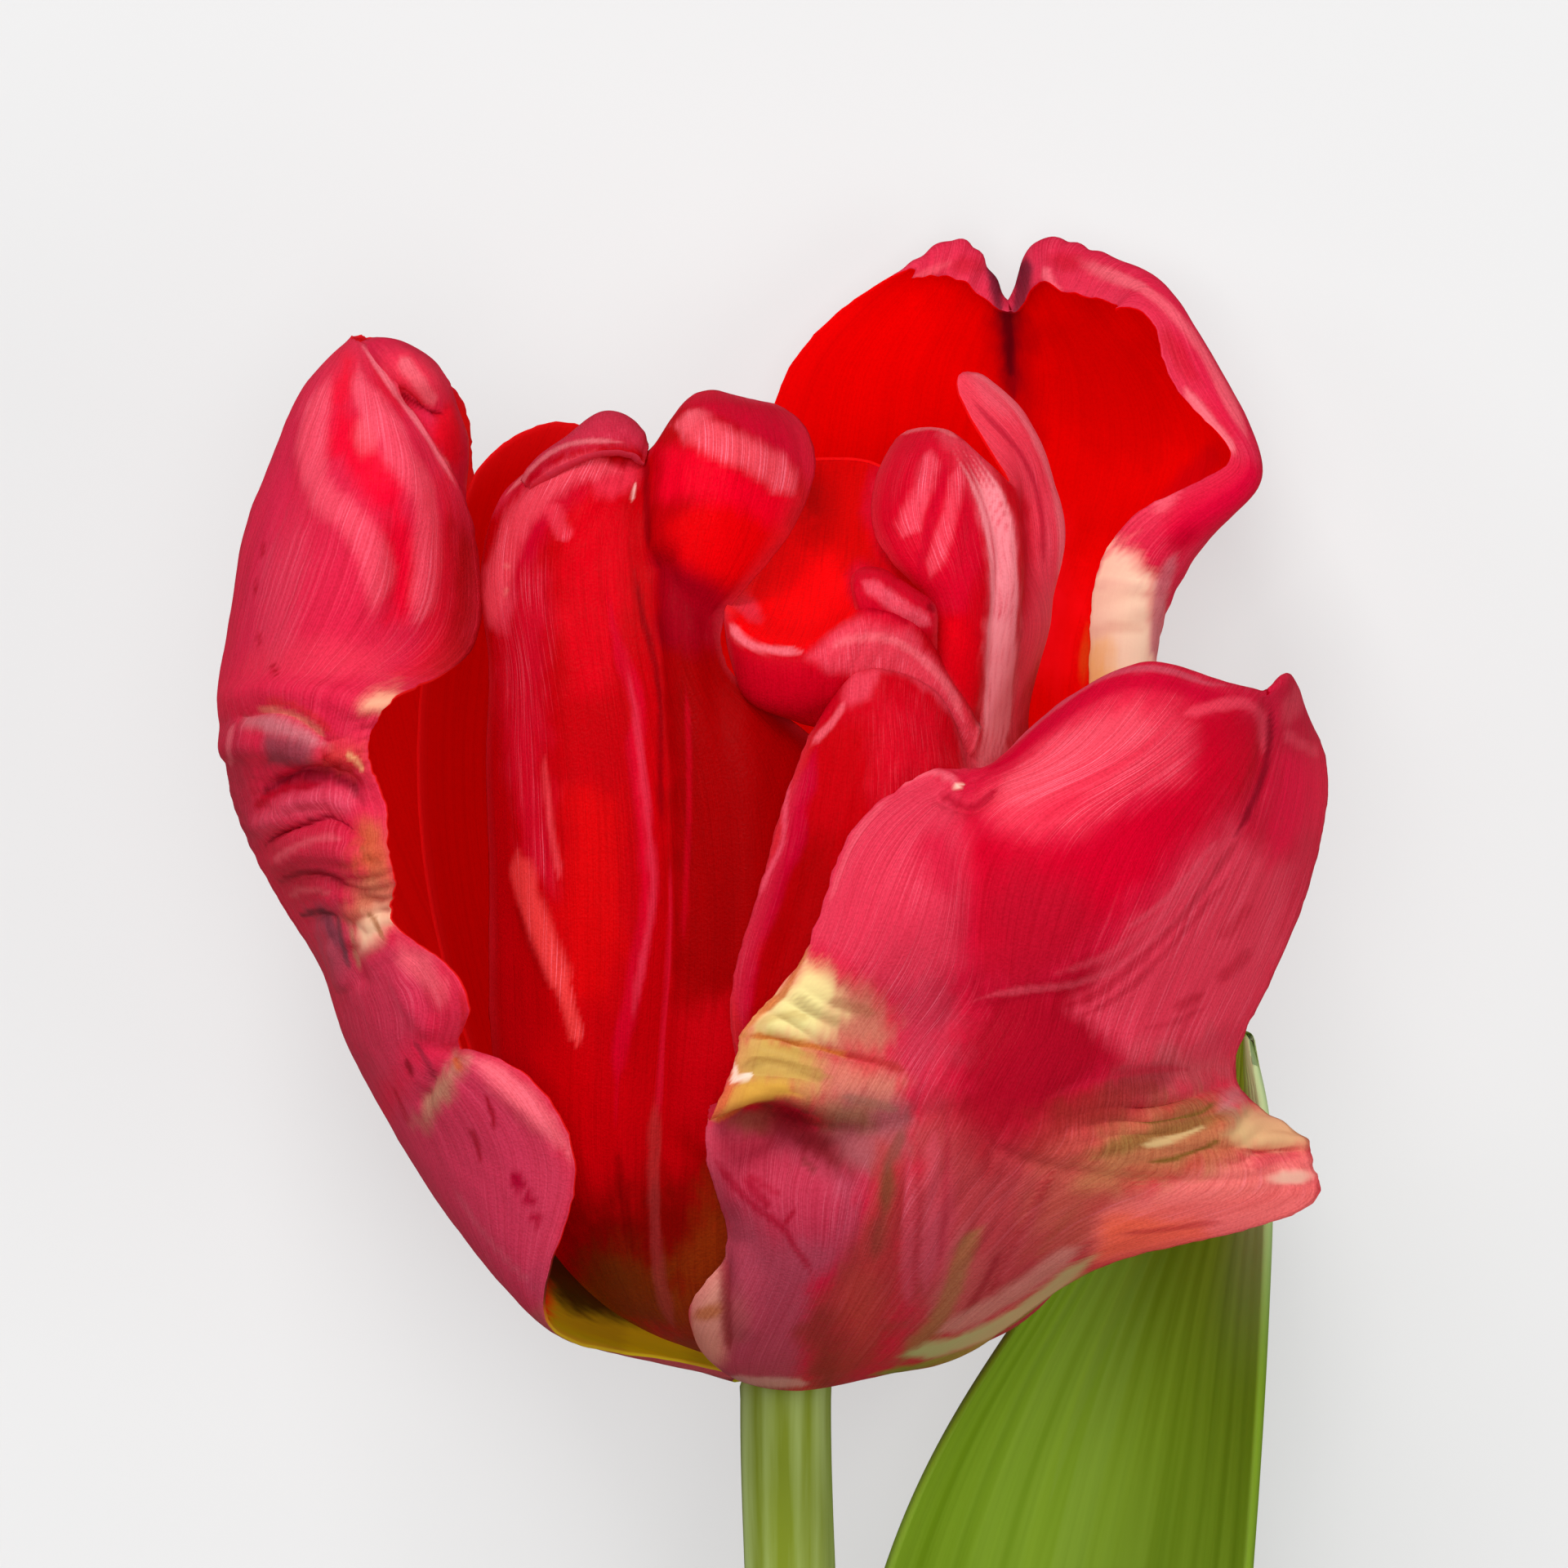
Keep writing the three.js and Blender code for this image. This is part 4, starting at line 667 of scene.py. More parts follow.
# The inner tepal at the front left: a groove runs up its middle to a notch between two rolled lobes
frontInnerTepal = {
    "thickness": 0.7, "teeth": 0.12, "unevenness": 0.05,
    "sheets": [{"across": 150, "along": 210, "rows": [
        [(-3.2, 1.4, 0.7), (-3, 1.3, 1.6), (-2.4, 1.3, 2.4), (-1.6, 1.3, 2.9), (-0.7, 1.3, 3.2),
         (0.2, 1.4, 3.2), (1, 1.5, 3.1)],
        [(-8.4, 3.7, 3), (-8, 3.2, 5.4), (-6.9, 3, 7.7), (-5, 2.9, 9.3), (-2.5, 2.9, 9.9), (0, 3, 9.4),
         (2.3, 3.5, 7.9)],
        [(-15.6, 7.8, 4.6), (-14.6, 6.7, 8.8), (-12.3, 6, 12.2), (-9.4, 5.7, 14.4), (-5, 5.9, 16),
         (-0.5, 6.3, 15.4), (3.8, 7.2, 12.6)],
        [(-21.3, 14.5, 7), (-19.2, 13.5, 12.5), (-15.5, 13, 17), (-10.7, 12.6, 18.8), (-5.5, 13, 20.3),
         (-0.5, 13.5, 19.4), (4.3, 14, 16)],
        [(-23.3, 22.5, 8.5), (-21, 21.5, 14.5), (-16.8, 21, 19.7), (-10.4, 20.5, 21.2), (-5, 21, 23.5),
         (0.5, 21.5, 22.6), (6, 22, 19.2)],
        [(-24, 31.5, 9), (-21.3, 30.5, 15.5), (-16.6, 30, 21.5), (-9.8, 30, 23), (-4.5, 30, 25.6),
         (1, 30, 24.8), (7, 30, 21)],
        [(-24, 41, 9.5), (-21.5, 40.5, 16), (-16.6, 40, 22), (-9.4, 40, 23.4), (-4.5, 40, 25.8),
         (1, 40, 24.8), (7, 40, 21)],
        [(-24.2, 51, 9.5), (-22, 50.5, 15), (-17, 50, 21), (-10.4, 50, 22.4), (-5.5, 50, 24.8),
         (-0.5, 50, 23.8), (4.5, 50, 20.3)],
        [(-24, 58.5, 9.5), (-22.2, 58, 14), (-18, 57.5, 19.5), (-11.6, 57, 20.8), (-8, 57, 22.8),
         (-5.5, 57, 22.6), (-3.3, 56.5, 21.8)],
        [(-24.7, 64.5, 7.5), (-23.2, 64.3, 12), (-18.8, 63.5, 17.5), (-12.6, 63, 19), (-9, 63, 21.8),
         (-6.5, 62.8, 21.6), (-4.7, 62.3, 20.8)],
        [(-23.9, 70, 7), (-22.6, 70.2, 11.3), (-18.5, 69.5, 16.5), (-12.9, 68.7, 17), (-9, 69, 21),
         (-4.5, 68.5, 21.3), (-0.2, 68.2, 17.5)],
        [(-22, 73, 7), (-20.4, 73.8, 11), (-16.5, 74.3, 15), (-12.3, 72.6, 15), (-8, 75, 19.2),
         (-3, 75, 19), (2.3, 74.5, 13)],
        [(-19, 74.8, 6.5), (-17.4, 76.2, 9), (-14.8, 77.2, 12), (-11.6, 75, 13), (-8.2, 78.3, 14.8),
         (-3.5, 78.8, 14.5), (1, 78.2, 10)],
        [(-17, 76.8, 4.5), (-15.2, 78, 6.5), (-13, 78, 9), (-11, 75.8, 11.5), (-7.8, 79.9, 11.2),
         (-4, 80.1, 9.5), (-0.9, 79.5, 7.5)],
    ]}, {"across": 70, "along": 40, "rows": [
        [(-20.8, 72.2, 13), (-19.4, 73.4, 14.8), (-17.2, 74.6, 15.8), (-14.9, 75.4, 15.6),
         (-12.7, 75.3, 15), (-11.4, 74.6, 14.8)],
        [(-21.2, 73, 12), (-19.5, 74.6, 13.2), (-17.4, 76.1, 13.6), (-15, 77.5, 13), (-12.6, 77.2, 12.8),
         (-11.1, 75.9, 13.2)],
        [(-21.4, 73.2, 10.4), (-19.8, 75, 10.8), (-17.6, 76.6, 10.4), (-15.1, 78.5, 9.4), (-12.7, 78, 9.6),
         (-11.2, 76.3, 11.2)],
        [(-21, 72.6, 9), (-19.6, 74.2, 8.8), (-17.6, 75.6, 8.2), (-15.4, 76.8, 7), (-13.2, 76.8, 7.4),
         (-11.6, 75.6, 9.6)],
    ]}],
    "folds": [
        (0.8, -0.6, [(-11, 79), (-11.4, 72), (-11.2, 65), (-10.2, 58), (-9.6, 50), (-9.3, 40), (-9.6, 30),
         (-10, 20), (-10.6, 8)]),
        (1.1, 0.5, [(-14, 68), (-12.8, 60), (-12, 50), (-11.5, 40), (-12.5, 30), (-13, 20), (-13, 8)]),
        (1.6, -0.5, [(-16.5, 62), (-15.5, 52), (-15.5, 42), (-16.5, 32), (-16, 22)]),
        (1.4, 0.45, [(-21.4, 58), (-21, 48), (-20, 38), (-17.6, 30), (-15.5, 22)]),
        (1.5, -0.6, [(-6.5, 62), (-5.5, 56), (-5, 46), (-5.5, 36), (-6.5, 26)]),
        (1.6, -0.9, [(-10.6, 68), (-9.4, 65), (-6.8, 63), (-4.2, 61.6)]),
    ],
    "wrinkles": [
        (-18, 71, 4, 6, 40, 2.0, 0.05, 0.0), (-3, 74, 5, 5, 95, 2.2, 0.04, 0.5),
        (-11, 73, 3, 3, 80, 1.3, 0.12, 0.1),
    ],
    "outer": {"base": tint(198, 0, 12), "rim": tint(240, 90, 110), "rimStrength": 0.25, "areas": [
        # The body on both sides of the groove
        # Painted shade on the body to the right of the groove
        (1.6, tint(162, 0, 2), 0.95, [(-9.4, 61), (-8, 62), (-3, 60), (8, 62), (10, 20), (-4, 12),
         (-8.6, 20), (-8.6, 36), (-9.4, 50)]),
        (1.6, tint(214, 0, 20), 0.7, [(-9, 30), (-4, 32), (-3, 26), (-6, 20), (-9, 22)]),
        (1.6, tint(226, 6, 10), 0.7, [(-17.6, 47.6), (-15, 48.6), (-13, 46), (-13, 36), (-14.6, 31),
         (-17.4, 31), (-18.4, 38)]),
        # Painted shade on the left edge, where the tepal turns back
        (1.0, tint(196, 0, 16), 0.9, [(-26, 60), (-23.4, 60), (-22.8, 50), (-22, 42), (-21, 34),
         (-19.6, 26), (-22, 22), (-26, 30)]),
        (1.3, tint(216, 20, 54, 0.5), 0.7, [(-22, 66), (-20, 68), (-18.8, 62), (-19.4, 54), (-19, 46),
         (-18.4, 40), (-20.4, 42), (-22, 50), (-22.8, 58)]),
        # A painted highlight low on the left lobe
        (0.7, tint(232, 70, 96, 0.7), 0.8, [(-24, 66), (-22.4, 66.4), (-21.6, 64), (-22.4, 61),
         (-23.8, 61.6)]),
        (1.1, tint(222, 0, 24), 0.9, [(-17, 73), (-13, 72.6), (-12.6, 65), (-14, 56), (-17, 56), (-18, 62),
         (-18, 68)]),
        # The left lobe and its rolled rim
        (1.0, tint(210, 4, 50), 0.85, [(-21.4, 72), (-19.6, 74.4), (-15.6, 75.6), (-15.4, 73.2), (-18, 71),
         (-20, 67), (-22, 64), (-22.6, 68)]),
        (0.6, tint(226, 52, 84, 0.2), 0.95, [(-23.6, 70.4), (-21.4, 73), (-18.6, 75), (-15.4, 76),
         (-12.6, 76), (-11, 75.4), (-10.6, 77), (-12, 79), (-16, 79.4), (-20, 77), (-24.4, 73)]),
        # The right lobe
        # Painted shadow below the right lobe
        (1.2, tint(166, 0, 26), 0.95, [(-10.4, 67), (-8.4, 67.4), (-5, 64.4), (-4, 61.4), (-6, 59),
         (-10, 60)]),
        # Red under the lobe's highlight, with a faint painted glow
        (1.2, tint(232, 0, 8, -0.06), 0.9, [(-9, 69.6), (-6, 72), (-1, 71.4), (0.4, 69), (-2, 66), (-5, 65),
         (-8.6, 66.6)]),
        (1.0, tint(244, 0, 42), 0.9, [(-10, 75.6), (-7, 76), (-3.6, 74), (0.6, 71.8), (-0.6, 69.6),
         (-5, 71.4), (-10, 71.6)]),
        (1.0, tint(212, 6, 54), 0.85, [(-9.4, 78), (-7.6, 80.8), (-3, 81.2), (1.6, 79), (3, 74.6),
         (1.8, 73), (-1.6, 75.4), (-5, 77.6), (-8, 78.8)]),
        # The foot
        (2.4, tint(124, 8, 0), 0.8, [(-17, 14), (-10, 17), (-5, 15), (-4, 8), (-10, 6), (-17, 8)]),
        (2.4, tint(126, 58, 10), 0.8, [(-19, 9), (-14, 11), (-9, 9.6), (-8, 5), (-14, 4), (-19, 5)]),
        (1.8, tint(158, 62, 14), 0.75, [(-8.6, 8), (-7.2, 13), (-5, 18), (-3, 18), (-3.6, 8), (-6, 2),
         (-9, 2)]),
    ], "patches": [
        (-16.4, 26, 5, 1.6, 84, tint(200, 0, 10), 0.7), (-22.3, 66.3, 0.3, 0.25, 0, paleCream, 0.7),
        (-22.4, 64.2, 0.3, 0.25, 0, paleCream, 0.6),
        # Painted highlights on the right lobe and on the left lobe's rim
        (-7.6, 77.8, 1.2, 0.7, 40, tint(255, 124, 140, 0.2), 0.8),
        (-13.6, 73.2, 2.4, 1.5, 10, tint(242, 60, 88), 0.75),
        (-2, 79.6, 3, 0.5, -10, tint(232, 70, 100), 0.5),
    ], "strokes": [
        # Painted highlights along the rims of the lobes
        (1.2, tint(244, 84, 104, 0.7), 0.8, [(-12, 73.4), (-13.6, 73.8), (-15.6, 74.2), (-17.6, 73.6),
         (-19.6, 72), (-21.4, 69.8), (-22.6, 66.6), (-23.4, 63), (-23.4, 60)]),
        (0.7, tint(240, 66, 90, 0.9), 0.6, [(-19, 71.6), (-18.4, 70), (-17.5, 68)]),
        (1.4, tint(252, 96, 114, 0.9), 0.82, [(-9.6, 77.2), (-7.9, 77.5), (-5.4, 76.1), (-3.1, 75.1),
         (-0.7, 73.5), (1, 71.4)]),
        # Along the groove, then streaks on the body, the left lobe's edge and the foot
        (0.65, tint(214, 4, 44), 0.8, [(-14.8, 66.6), (-13.9, 62), (-13, 58.4), (-11.9, 54.9), (-12.1, 52),
         (-11.7, 48.9), (-11.3, 43.7), (-11.1, 39.9), (-11.6, 36), (-12.5, 30.8), (-13.3, 27),
         (-13.6, 20)]),
        (0.3, tint(236, 70, 100), 0.45, [(-13.2, 60), (-12.2, 55), (-11.5, 49), (-11, 43.7), (-10.8, 39.9),
         (-11.3, 36), (-12.2, 30.8), (-13, 27)]),
        # Painted shade in the groove
        (0.3, tint(150, 0, 10), 0.9, [(-12.5, 67.8), (-11.9, 64), (-11.2, 60.8), (-10.2, 56), (-10.2, 50),
         (-10, 44)]),
        (0.28, tint(216, 20, 50), 0.8, [(-9.2, 44), (-9.2, 38.5), (-9.7, 30.8), (-10.2, 24.4), (-10.6, 19)]),
        (0.25, tint(206, 0, 30), 0.7, [(-8, 58), (-7.6, 50), (-7.8, 42), (-8.2, 34)]),
        # Painted highlight streaks on the left of the body, with a dark line beside them
        (1.0, tint(250, 78, 78, 0.7), 0.8, [(-21.6, 44), (-20.7, 40.4), (-19.6, 37), (-18.4, 33.8),
         (-17.6, 31)]),
        (0.5, tint(250, 78, 78, 0.7), 0.8, [(-18.6, 34.4), (-17.6, 31.4), (-16.9, 29), (-16.5, 27.2)]),
        (0.3, tint(170, 0, 6), 0.7, [(-21.8, 40), (-20.9, 37), (-19.7, 34), (-18.6, 31.1)]),
        (0.3, tint(246, 80, 90, 0.3), 0.6, [(-19.4, 52), (-18.8, 46), (-17.8, 40)]),
        # A painted highlight at the notch between the lobes, then painted shade in the notch
        (0.25, tint(246, 216, 206), 0.7, [(-12.1, 73), (-12.2, 72.2), (-12.3, 71.2)]),
        (0.4, tint(150, 0, 12), 0.85, [(-11, 75.4), (-11, 71), (-10.8, 67)]),
        (0.22, tint(244, 130, 140), 0.8, [(-23, 71.4), (-20.6, 73.8), (-18, 75.7), (-15, 76.2),
         (-12.6, 76)]),
        (0.6, tint(190, 70, 70), 0.4, [(-10.6, 25), (-10.6, 18), (-10.5, 13), (-9.9, 8), (-8.4, 3.4)]),
        (0.4, tint(110, 0, 0), 0.4, [(-13.6, 20), (-12.8, 14), (-12, 10)]),
    ]},
    "inner": {"base": scarlet, "rim": scarlet, "rimStrength": 0.0, "areas": [
        (0.6, tint(220, 66, 92), 0.95, [(-22, 71.6), (-20, 72.8), (-17.4, 74), (-15, 74.8), (-12.6, 74.6),
         (-11, 74), (-10.6, 77), (-12, 79), (-16, 79.4), (-22, 75)]),
    ], "patches": [
        (-10, 6, 10, 7, 0, yellow, 0.8), (-10, 13, 10, 6, 0, darkOlive, 0.7),
    ], "strokes": []},
}
tepal("inner_tepal_front_petal", "inner_tepal_front", "inner_tepal", frontInnerTepal)

# The inner tepal on the right, cut into lobes: its body with two tall lobes, a low lobe in front,
# a bowl-like lobe that hangs to the left, and a small curl between them
veinBand = (  # the two sides of the band of pale veins on its body
    [(12.6, 76.8), (14.4, 73.2), (15.6, 70), (16.2, 66), (16.2, 63), (15.9, 60), (15.8, 55.5),
     (15.6, 52.5), (14.8, 48.9)],
    [(14.6, 76), (16.9, 73), (18.1, 70), (18.5, 66), (18.5, 63), (18.3, 60), (18, 55.5),
     (17.6, 52.5), (16.4, 48.9)],
)
rightInnerTepal = {
    "thickness": 0.7, "teeth": 0.12, "unevenness": 0.05,
    "sheets": [{"across": 130, "along": 180, "rows": [
        [(2.1, 1.5, 2.5), (2.6, 1.4, 1.9), (3, 1.3, 1.1), (3.25, 1.3, 0.4), (3.25, 1.3, -0.4),
         (3, 1.3, -1.1), (2.6, 1.4, -1.9), (2.1, 1.5, -2.5)],
        [(5.4, 3.6, 7.6), (7.3, 3.1, 6.2), (8.9, 2.9, 4.1), (9.9, 2.9, 1.6), (9.9, 2.9, -1.6),
         (9.1, 2.9, -4.2), (7.6, 3.1, -6.4), (5.4, 3.6, -8)],
        [(9, 7.4, 13.3), (12.6, 6.3, 11.4), (15.6, 5.7, 8), (17.3, 5.6, 3.2), (17.3, 5.6, -2.6),
         (15.5, 5.7, -7.8), (12.6, 6.3, -11.8), (9, 7.4, -14.8)],
        [(11.5, 13.5, 18.6), (15.8, 12, 16.3), (19.6, 11.1, 11.6), (22, 10.8, 5), (22, 10.8, -3),
         (19.8, 11.1, -9.8), (15.8, 12, -15.2), (11.3, 13.5, -19)],
        [(6, 22, 24), (13, 20.9, 23.3), (19.6, 20, 18.8), (24.6, 19.5, 9.5), (25.2, 19.5, -1),
         (22.6, 20, -10.8), (17.4, 21, -18), (11, 23, -22.3)],
        [(0, 31.5, 26.8), (6, 31, 27.3), (14, 30.6, 26), (22, 30.2, 19.5), (26.6, 30, 8), (26, 30.2, -4.5),
         (21, 31, -15), (13.5, 32, -21.5)],
        [(2, 41.5, 26.5), (7, 41, 26.5), (13, 40.7, 25.3), (19.5, 40.2, 20), (25, 40, 9.5), (25.3, 40, -3),
         (20.8, 40.5, -13), (14, 41, -19)],
        [(6, 48.5, 23), (9, 48.5, 23), (12, 48.4, 22.3), (15, 48.2, 20), (19, 48, 13.5), (22, 48, 2),
         (19.8, 48.5, -8.5), (14.5, 49, -14)],
        [(9.4, 54, 20), (11, 54, 20.3), (13, 53.8, 19.8), (15.2, 53.2, 18), (17.3, 52.8, 13),
         (19.3, 52.5, 4), (19, 53, -4), (16, 53.5, -9)],
        [(10.8, 59, 18.5), (12, 58.6, 19.3), (13.8, 58.3, 19.2), (15.8, 58, 17.5), (17.9, 57.8, 13.5),
         (20, 58, 5.5), (19.8, 58.8, -1), (17, 59.5, -6.5)],
        [(11.9, 62.8, 17.5), (12.8, 62.4, 18.6), (14.4, 62, 19), (16.4, 61.8, 17.5), (18.5, 61.6, 13.5),
         (20.9, 62, 5.5), (20.9, 62.5, 0), (18, 63, -6)],
        [(9, 66.3, 16.5), (11, 66, 18.8), (13.6, 65.5, 19.3), (16.4, 65.2, 17.3), (18.9, 65, 13),
         (20, 66, 7.5), (22, 66, 1.5), (19.2, 66.5, -5.5)],
        [(7.2, 69.2, 14), (9.5, 69.3, 17.3), (12.6, 69, 18.5), (15.8, 68.6, 16.8), (18.9, 68.2, 12.7),
         (19.6, 69.3, 7.6), (22.4, 69.8, 2), (20, 70.5, -5)],
        [(7.1, 72, 12), (9.2, 72.2, 15.3), (12.4, 72.2, 16.8), (15.6, 71.7, 15.5), (18.9, 70.6, 12.2),
         (19.1, 72.5, 7.3), (21.6, 73, 1.8), (19.7, 73.5, -4.8)],
        [(8, 75, 9.5), (10, 75.2, 12), (12.6, 75.2, 13.2), (15.4, 74, 13.2), (18.7, 71.7, 12),
         (18.6, 74.6, 6.8), (20.8, 75.6, 1.5), (19.2, 76, -4.5)],
        [(9.2, 76.8, 6.5), (11, 77.2, 8.3), (12.8, 77.1, 9.8), (15, 75.6, 11), (18.4, 72.6, 11.3),
         (17, 77, 5.8), (18.8, 79, 1), (18.2, 79.4, -4)],
        [(9.6, 77, 5), (11.3, 77.4, 6.8), (13, 77.2, 8.3), (15.2, 75.7, 9.6), (18, 73.3, 10.8),
         (14.2, 80.2, 4), (15.4, 82.2, 0.5), (17, 81.3, -3)],
    ]}, {"across": 90, "along": 90, "rows": [
        [(-1, 20, 23.6), (3, 19.5, 24.4), (8, 19.2, 24.2), (13, 19, 22.8), (18, 19, 20)],
        [(-3.6, 25.5, 26), (1, 25, 26.6), (6.5, 25, 26.4), (12, 25, 25.6), (18, 25, 23.6)],
        [(-4.4, 31.5, 28), (1, 31, 28.6), (7, 30.6, 28.4), (13, 30.4, 27.4), (19, 30.2, 25)],
        [(-3, 37.2, 28.2), (2, 36.8, 28.8), (7.6, 36.6, 28.4), (13.4, 36.2, 27.2), (19, 36, 25)],
        [(-1.5, 42, 28), (3.2, 42, 28.6), (8.2, 42, 28.2), (13.4, 41.6, 26.8), (18.6, 41, 24.6)],
        [(-0.3, 46.4, 27.6), (4, 46.8, 28.4), (8.4, 46.8, 28), (12.6, 46, 26.4), (17, 45.2, 24.4)],
        [(0.9, 50, 27.2), (4.4, 50.8, 27.8), (8.4, 51, 27.2), (12.4, 49.8, 25.4), (15.8, 47.6, 23.4)],
        [(2, 52.6, 26.6), (4.8, 54.4, 26.8), (8.2, 55, 26.2), (12, 53, 24.4), (14.8, 49.4, 22.6)],
        [(3, 53.6, 25.4), (5.2, 56.9, 25.6), (8.2, 57.4, 25), (12.2, 55.4, 23.2), (14.3, 50.4, 21.6)],
        [(3.4, 53.4, 24), (5.4, 56.6, 24), (8.2, 57, 23.4), (12, 54.9, 21.6), (14, 50.4, 20.4)],
    ]}, {"across": 110, "along": 70, "rows": [
        [(-1.6, 55.6, 18), (0, 54.6, 20.4), (2.6, 53.6, 22.6), (6, 54.4, 22.4), (9, 54.6, 21.4),
         (11.4, 52.8, 19.8), (13.9, 50, 18.4)],
        [(-3.4, 56.7, 21), (-2.1, 55.2, 23.6), (1.8, 54.9, 25.2), (6.2, 57, 24.6), (9.4, 57.4, 23.2),
         (12, 55, 21.4), (15.2, 51.2, 19.4)],
        [(-4.4, 58.8, 22.6), (-2.4, 57, 25.2), (1.8, 56.8, 26.6), (6.2, 59.6, 25.6), (9.8, 59.4, 23.8),
         (12.3, 56, 21.6), (15.5, 52.1, 19.6)],
        [(-4.9, 62.2, 22), (-2.7, 59.9, 24.8), (1.8, 59.2, 26.4), (6.3, 62, 25.2), (10.2, 61.2, 23.4),
         (12.6, 57.2, 21.2), (15.8, 53, 19.4)],
        [(-4.5, 63.4, 19), (-2, 61.4, 21.4), (2.3, 60.8, 22), (6.7, 63.2, 21.4), (10.5, 62, 20),
         (12.8, 57.8, 18.6), (15.8, 53.6, 17.4)],
        [(-3.4, 66, 13), (-0.8, 64.4, 15), (3, 64, 15.4), (7.4, 65.6, 15), (10.8, 63, 15.4),
         (13.2, 58.8, 15), (16, 54.6, 14)],
        [(-2.2, 70.4, 6.6), (0.4, 69.8, 8.4), (3.6, 69.6, 8.8), (7.6, 70.2, 9), (11, 66.8, 11.4),
         (13.4, 60.6, 12.4), (16.1, 55.4, 12.2)],
        [(-1.6, 73.8, 2.8), (1.1, 74.1, 3.6), (4.2, 74.2, 4), (7.9, 73.6, 4.8), (11.2, 69.4, 8.6),
         (13.6, 61.6, 10.6), (16.2, 55.9, 10.6)],
        [(-1.4, 74.7, 2.4), (1.2, 75, 3.2), (4.4, 75.1, 3.6), (8, 74.4, 4.4), (11.3, 70, 8), (13.7, 62, 10),
         (16.3, 56.2, 10)],
    ]}, {"across": 50, "along": 40, "rows": [
        [(6.4, 60, 22), (8, 60.2, 22), (10, 60, 21.4), (12.2, 59.4, 20.4)],
        [(5.9, 62, 23.4), (7.6, 62.2, 24), (9.8, 61.8, 23.4), (12.2, 61, 21.6)],
        [(5.4, 64, 23.2), (7.2, 64.2, 24.4), (9.6, 63.2, 24), (12.2, 62, 21.8)],
        [(5.4, 65.3, 21.6), (7.2, 65.6, 22.6), (9.4, 64.4, 22.8), (12.1, 62.7, 21)],
        [(6, 65.8, 19.6), (7.6, 65.8, 20.4), (9.5, 64.8, 21), (12, 63, 19.8)],
    ]}],
    "folds": [
        (0.5, -0.3, [(14.2, 76), (16, 72), (17, 67), (16.6, 61), (15.8, 55), (15, 50)]),
        (0.6, 0.3, [(16, 75), (17.6, 71), (18.2, 66), (17.8, 60), (16.8, 54)]),
        (0.5, -0.4, [(18.6, 73), (19.6, 69), (19.5, 65), (18.9, 61)]),
        (0.9, -0.35, [(11.6, 76), (11.4, 72), (11, 68), (11, 65)]),
        (0.8, 0.3, [(10.6, 76), (9.6, 72), (9, 68.6)]),
        (0.7, 0.3, [(14, 75.4), (13.8, 71), (13.2, 67), (12.4, 64)]),
        (1.4, 0.3, [(0.6, 50), (0, 44), (-1.8, 38), (-3, 32)]),
        (1.2, -0.3, [(3.4, 51), (2.6, 45), (0.8, 38), (-0.6, 32)]),
        (1.3, 0.25, [(9, 55), (8.6, 49), (7.6, 42), (6, 36)]),
        (0.6, -0.3, [(9.4, 65), (8.6, 63.6), (8.4, 62)]),
    ],
    "wrinkles": [(7, 60, 7, 3, 70, 1.6, 0.05, 0.1), (8, 46, 6, 10, 80, 2.0, 0.05, 0.2)],
    "outer": {"base": tint(212, 0, 26, 0.05), "rim": tint(248, 116, 132), "rimStrength": 0.22, "areas": [
        # The low lobe in front
        (1.2, tint(204, 0, 12), 0.9, [(2.2, 53), (1, 48), (0.4, 44), (-1.6, 38.8), (-3.4, 33.9), (-3.2, 28),
         (0, 18), (18, 18), (20, 36), (17, 46), (13, 51), (8, 54)]),
        (1.6, tint(176, 0, 4), 0.85, [(-1.6, 38), (1, 44), (4, 44), (5, 34), (4, 24), (-1, 22), (-3, 29)]),
        (1.4, tint(226, 16, 46, 0.2), 0.7, [(6.4, 56), (10.6, 55), (13, 50), (13, 42), (10, 38), (7.6, 42),
         (7, 50)]),
        # A painted highlight at the top left of the low lobe
        (0.45, tint(240, 72, 96, 0.2), 0.9, [(4.4, 54.6), (5.2, 57.8), (7.6, 57.8), (6.8, 55.2)]),
        # The bowl-like lobe and its rim
        # Inside the bowl, with a painted glow
        (0.5, tint(240, 0, 6, -0.34), 0.98, [(-5, 62.4), (-3.4, 60.2), (-1.4, 59.4), (1.8, 59.1), (5, 61.2),
         (6.4, 62.2), (5.4, 64), (6.2, 66.4), (8.6, 70), (8, 78), (-5, 78), (-7, 66)]),
        # Painted shade in the top right of the bowl, with a fainter painted glow
        (2.0, tint(204, 0, 0, -0.12), 0.85, [(1.4, 71), (3, 67.6), (5.4, 66), (8, 66), (10, 72), (8, 78),
         (0, 78)]),
        (0.8, tint(206, 2, 34), 0.9, [(-5.4, 62), (-3.6, 59.4), (1.7, 58.2), (4.6, 58.8), (4.6, 55),
         (2, 52.6), (-2, 52.6), (-5.6, 57)]),
        # A painted highlight along the ridge below the bowl's rim
        (0.5, tint(240, 74, 98, 0.35), 0.92, [(1.9, 58.8), (4, 60.6), (6.5, 62.2), (9.8, 61.4), (11, 59.4),
         (13, 57.2), (14.6, 54.6), (15.8, 52.5), (15.8, 48.6), (14.2, 49), (13.4, 53.4), (12, 55.8),
         (9.8, 57.2), (7.1, 57.6), (5, 57.6), (3.4, 57.8)]),
        # The small curl, and painted shade below it with a faint painted glow
        (0.6, tint(226, 8, 48, 0.1), 0.9, [(5, 65), (6, 66.2), (9.8, 64.4), (12, 62.8), (12.3, 61),
         (10, 61), (6.2, 61.6)]),
        (1.1, tint(232, 0, 24, -0.03), 0.92, [(12.2, 60), (13.4, 56.6), (15, 53.6), (16, 55), (16, 58),
         (15.4, 60.6), (14.6, 63), (12.8, 62.2)]),
        # The two tall lobes and the vein band
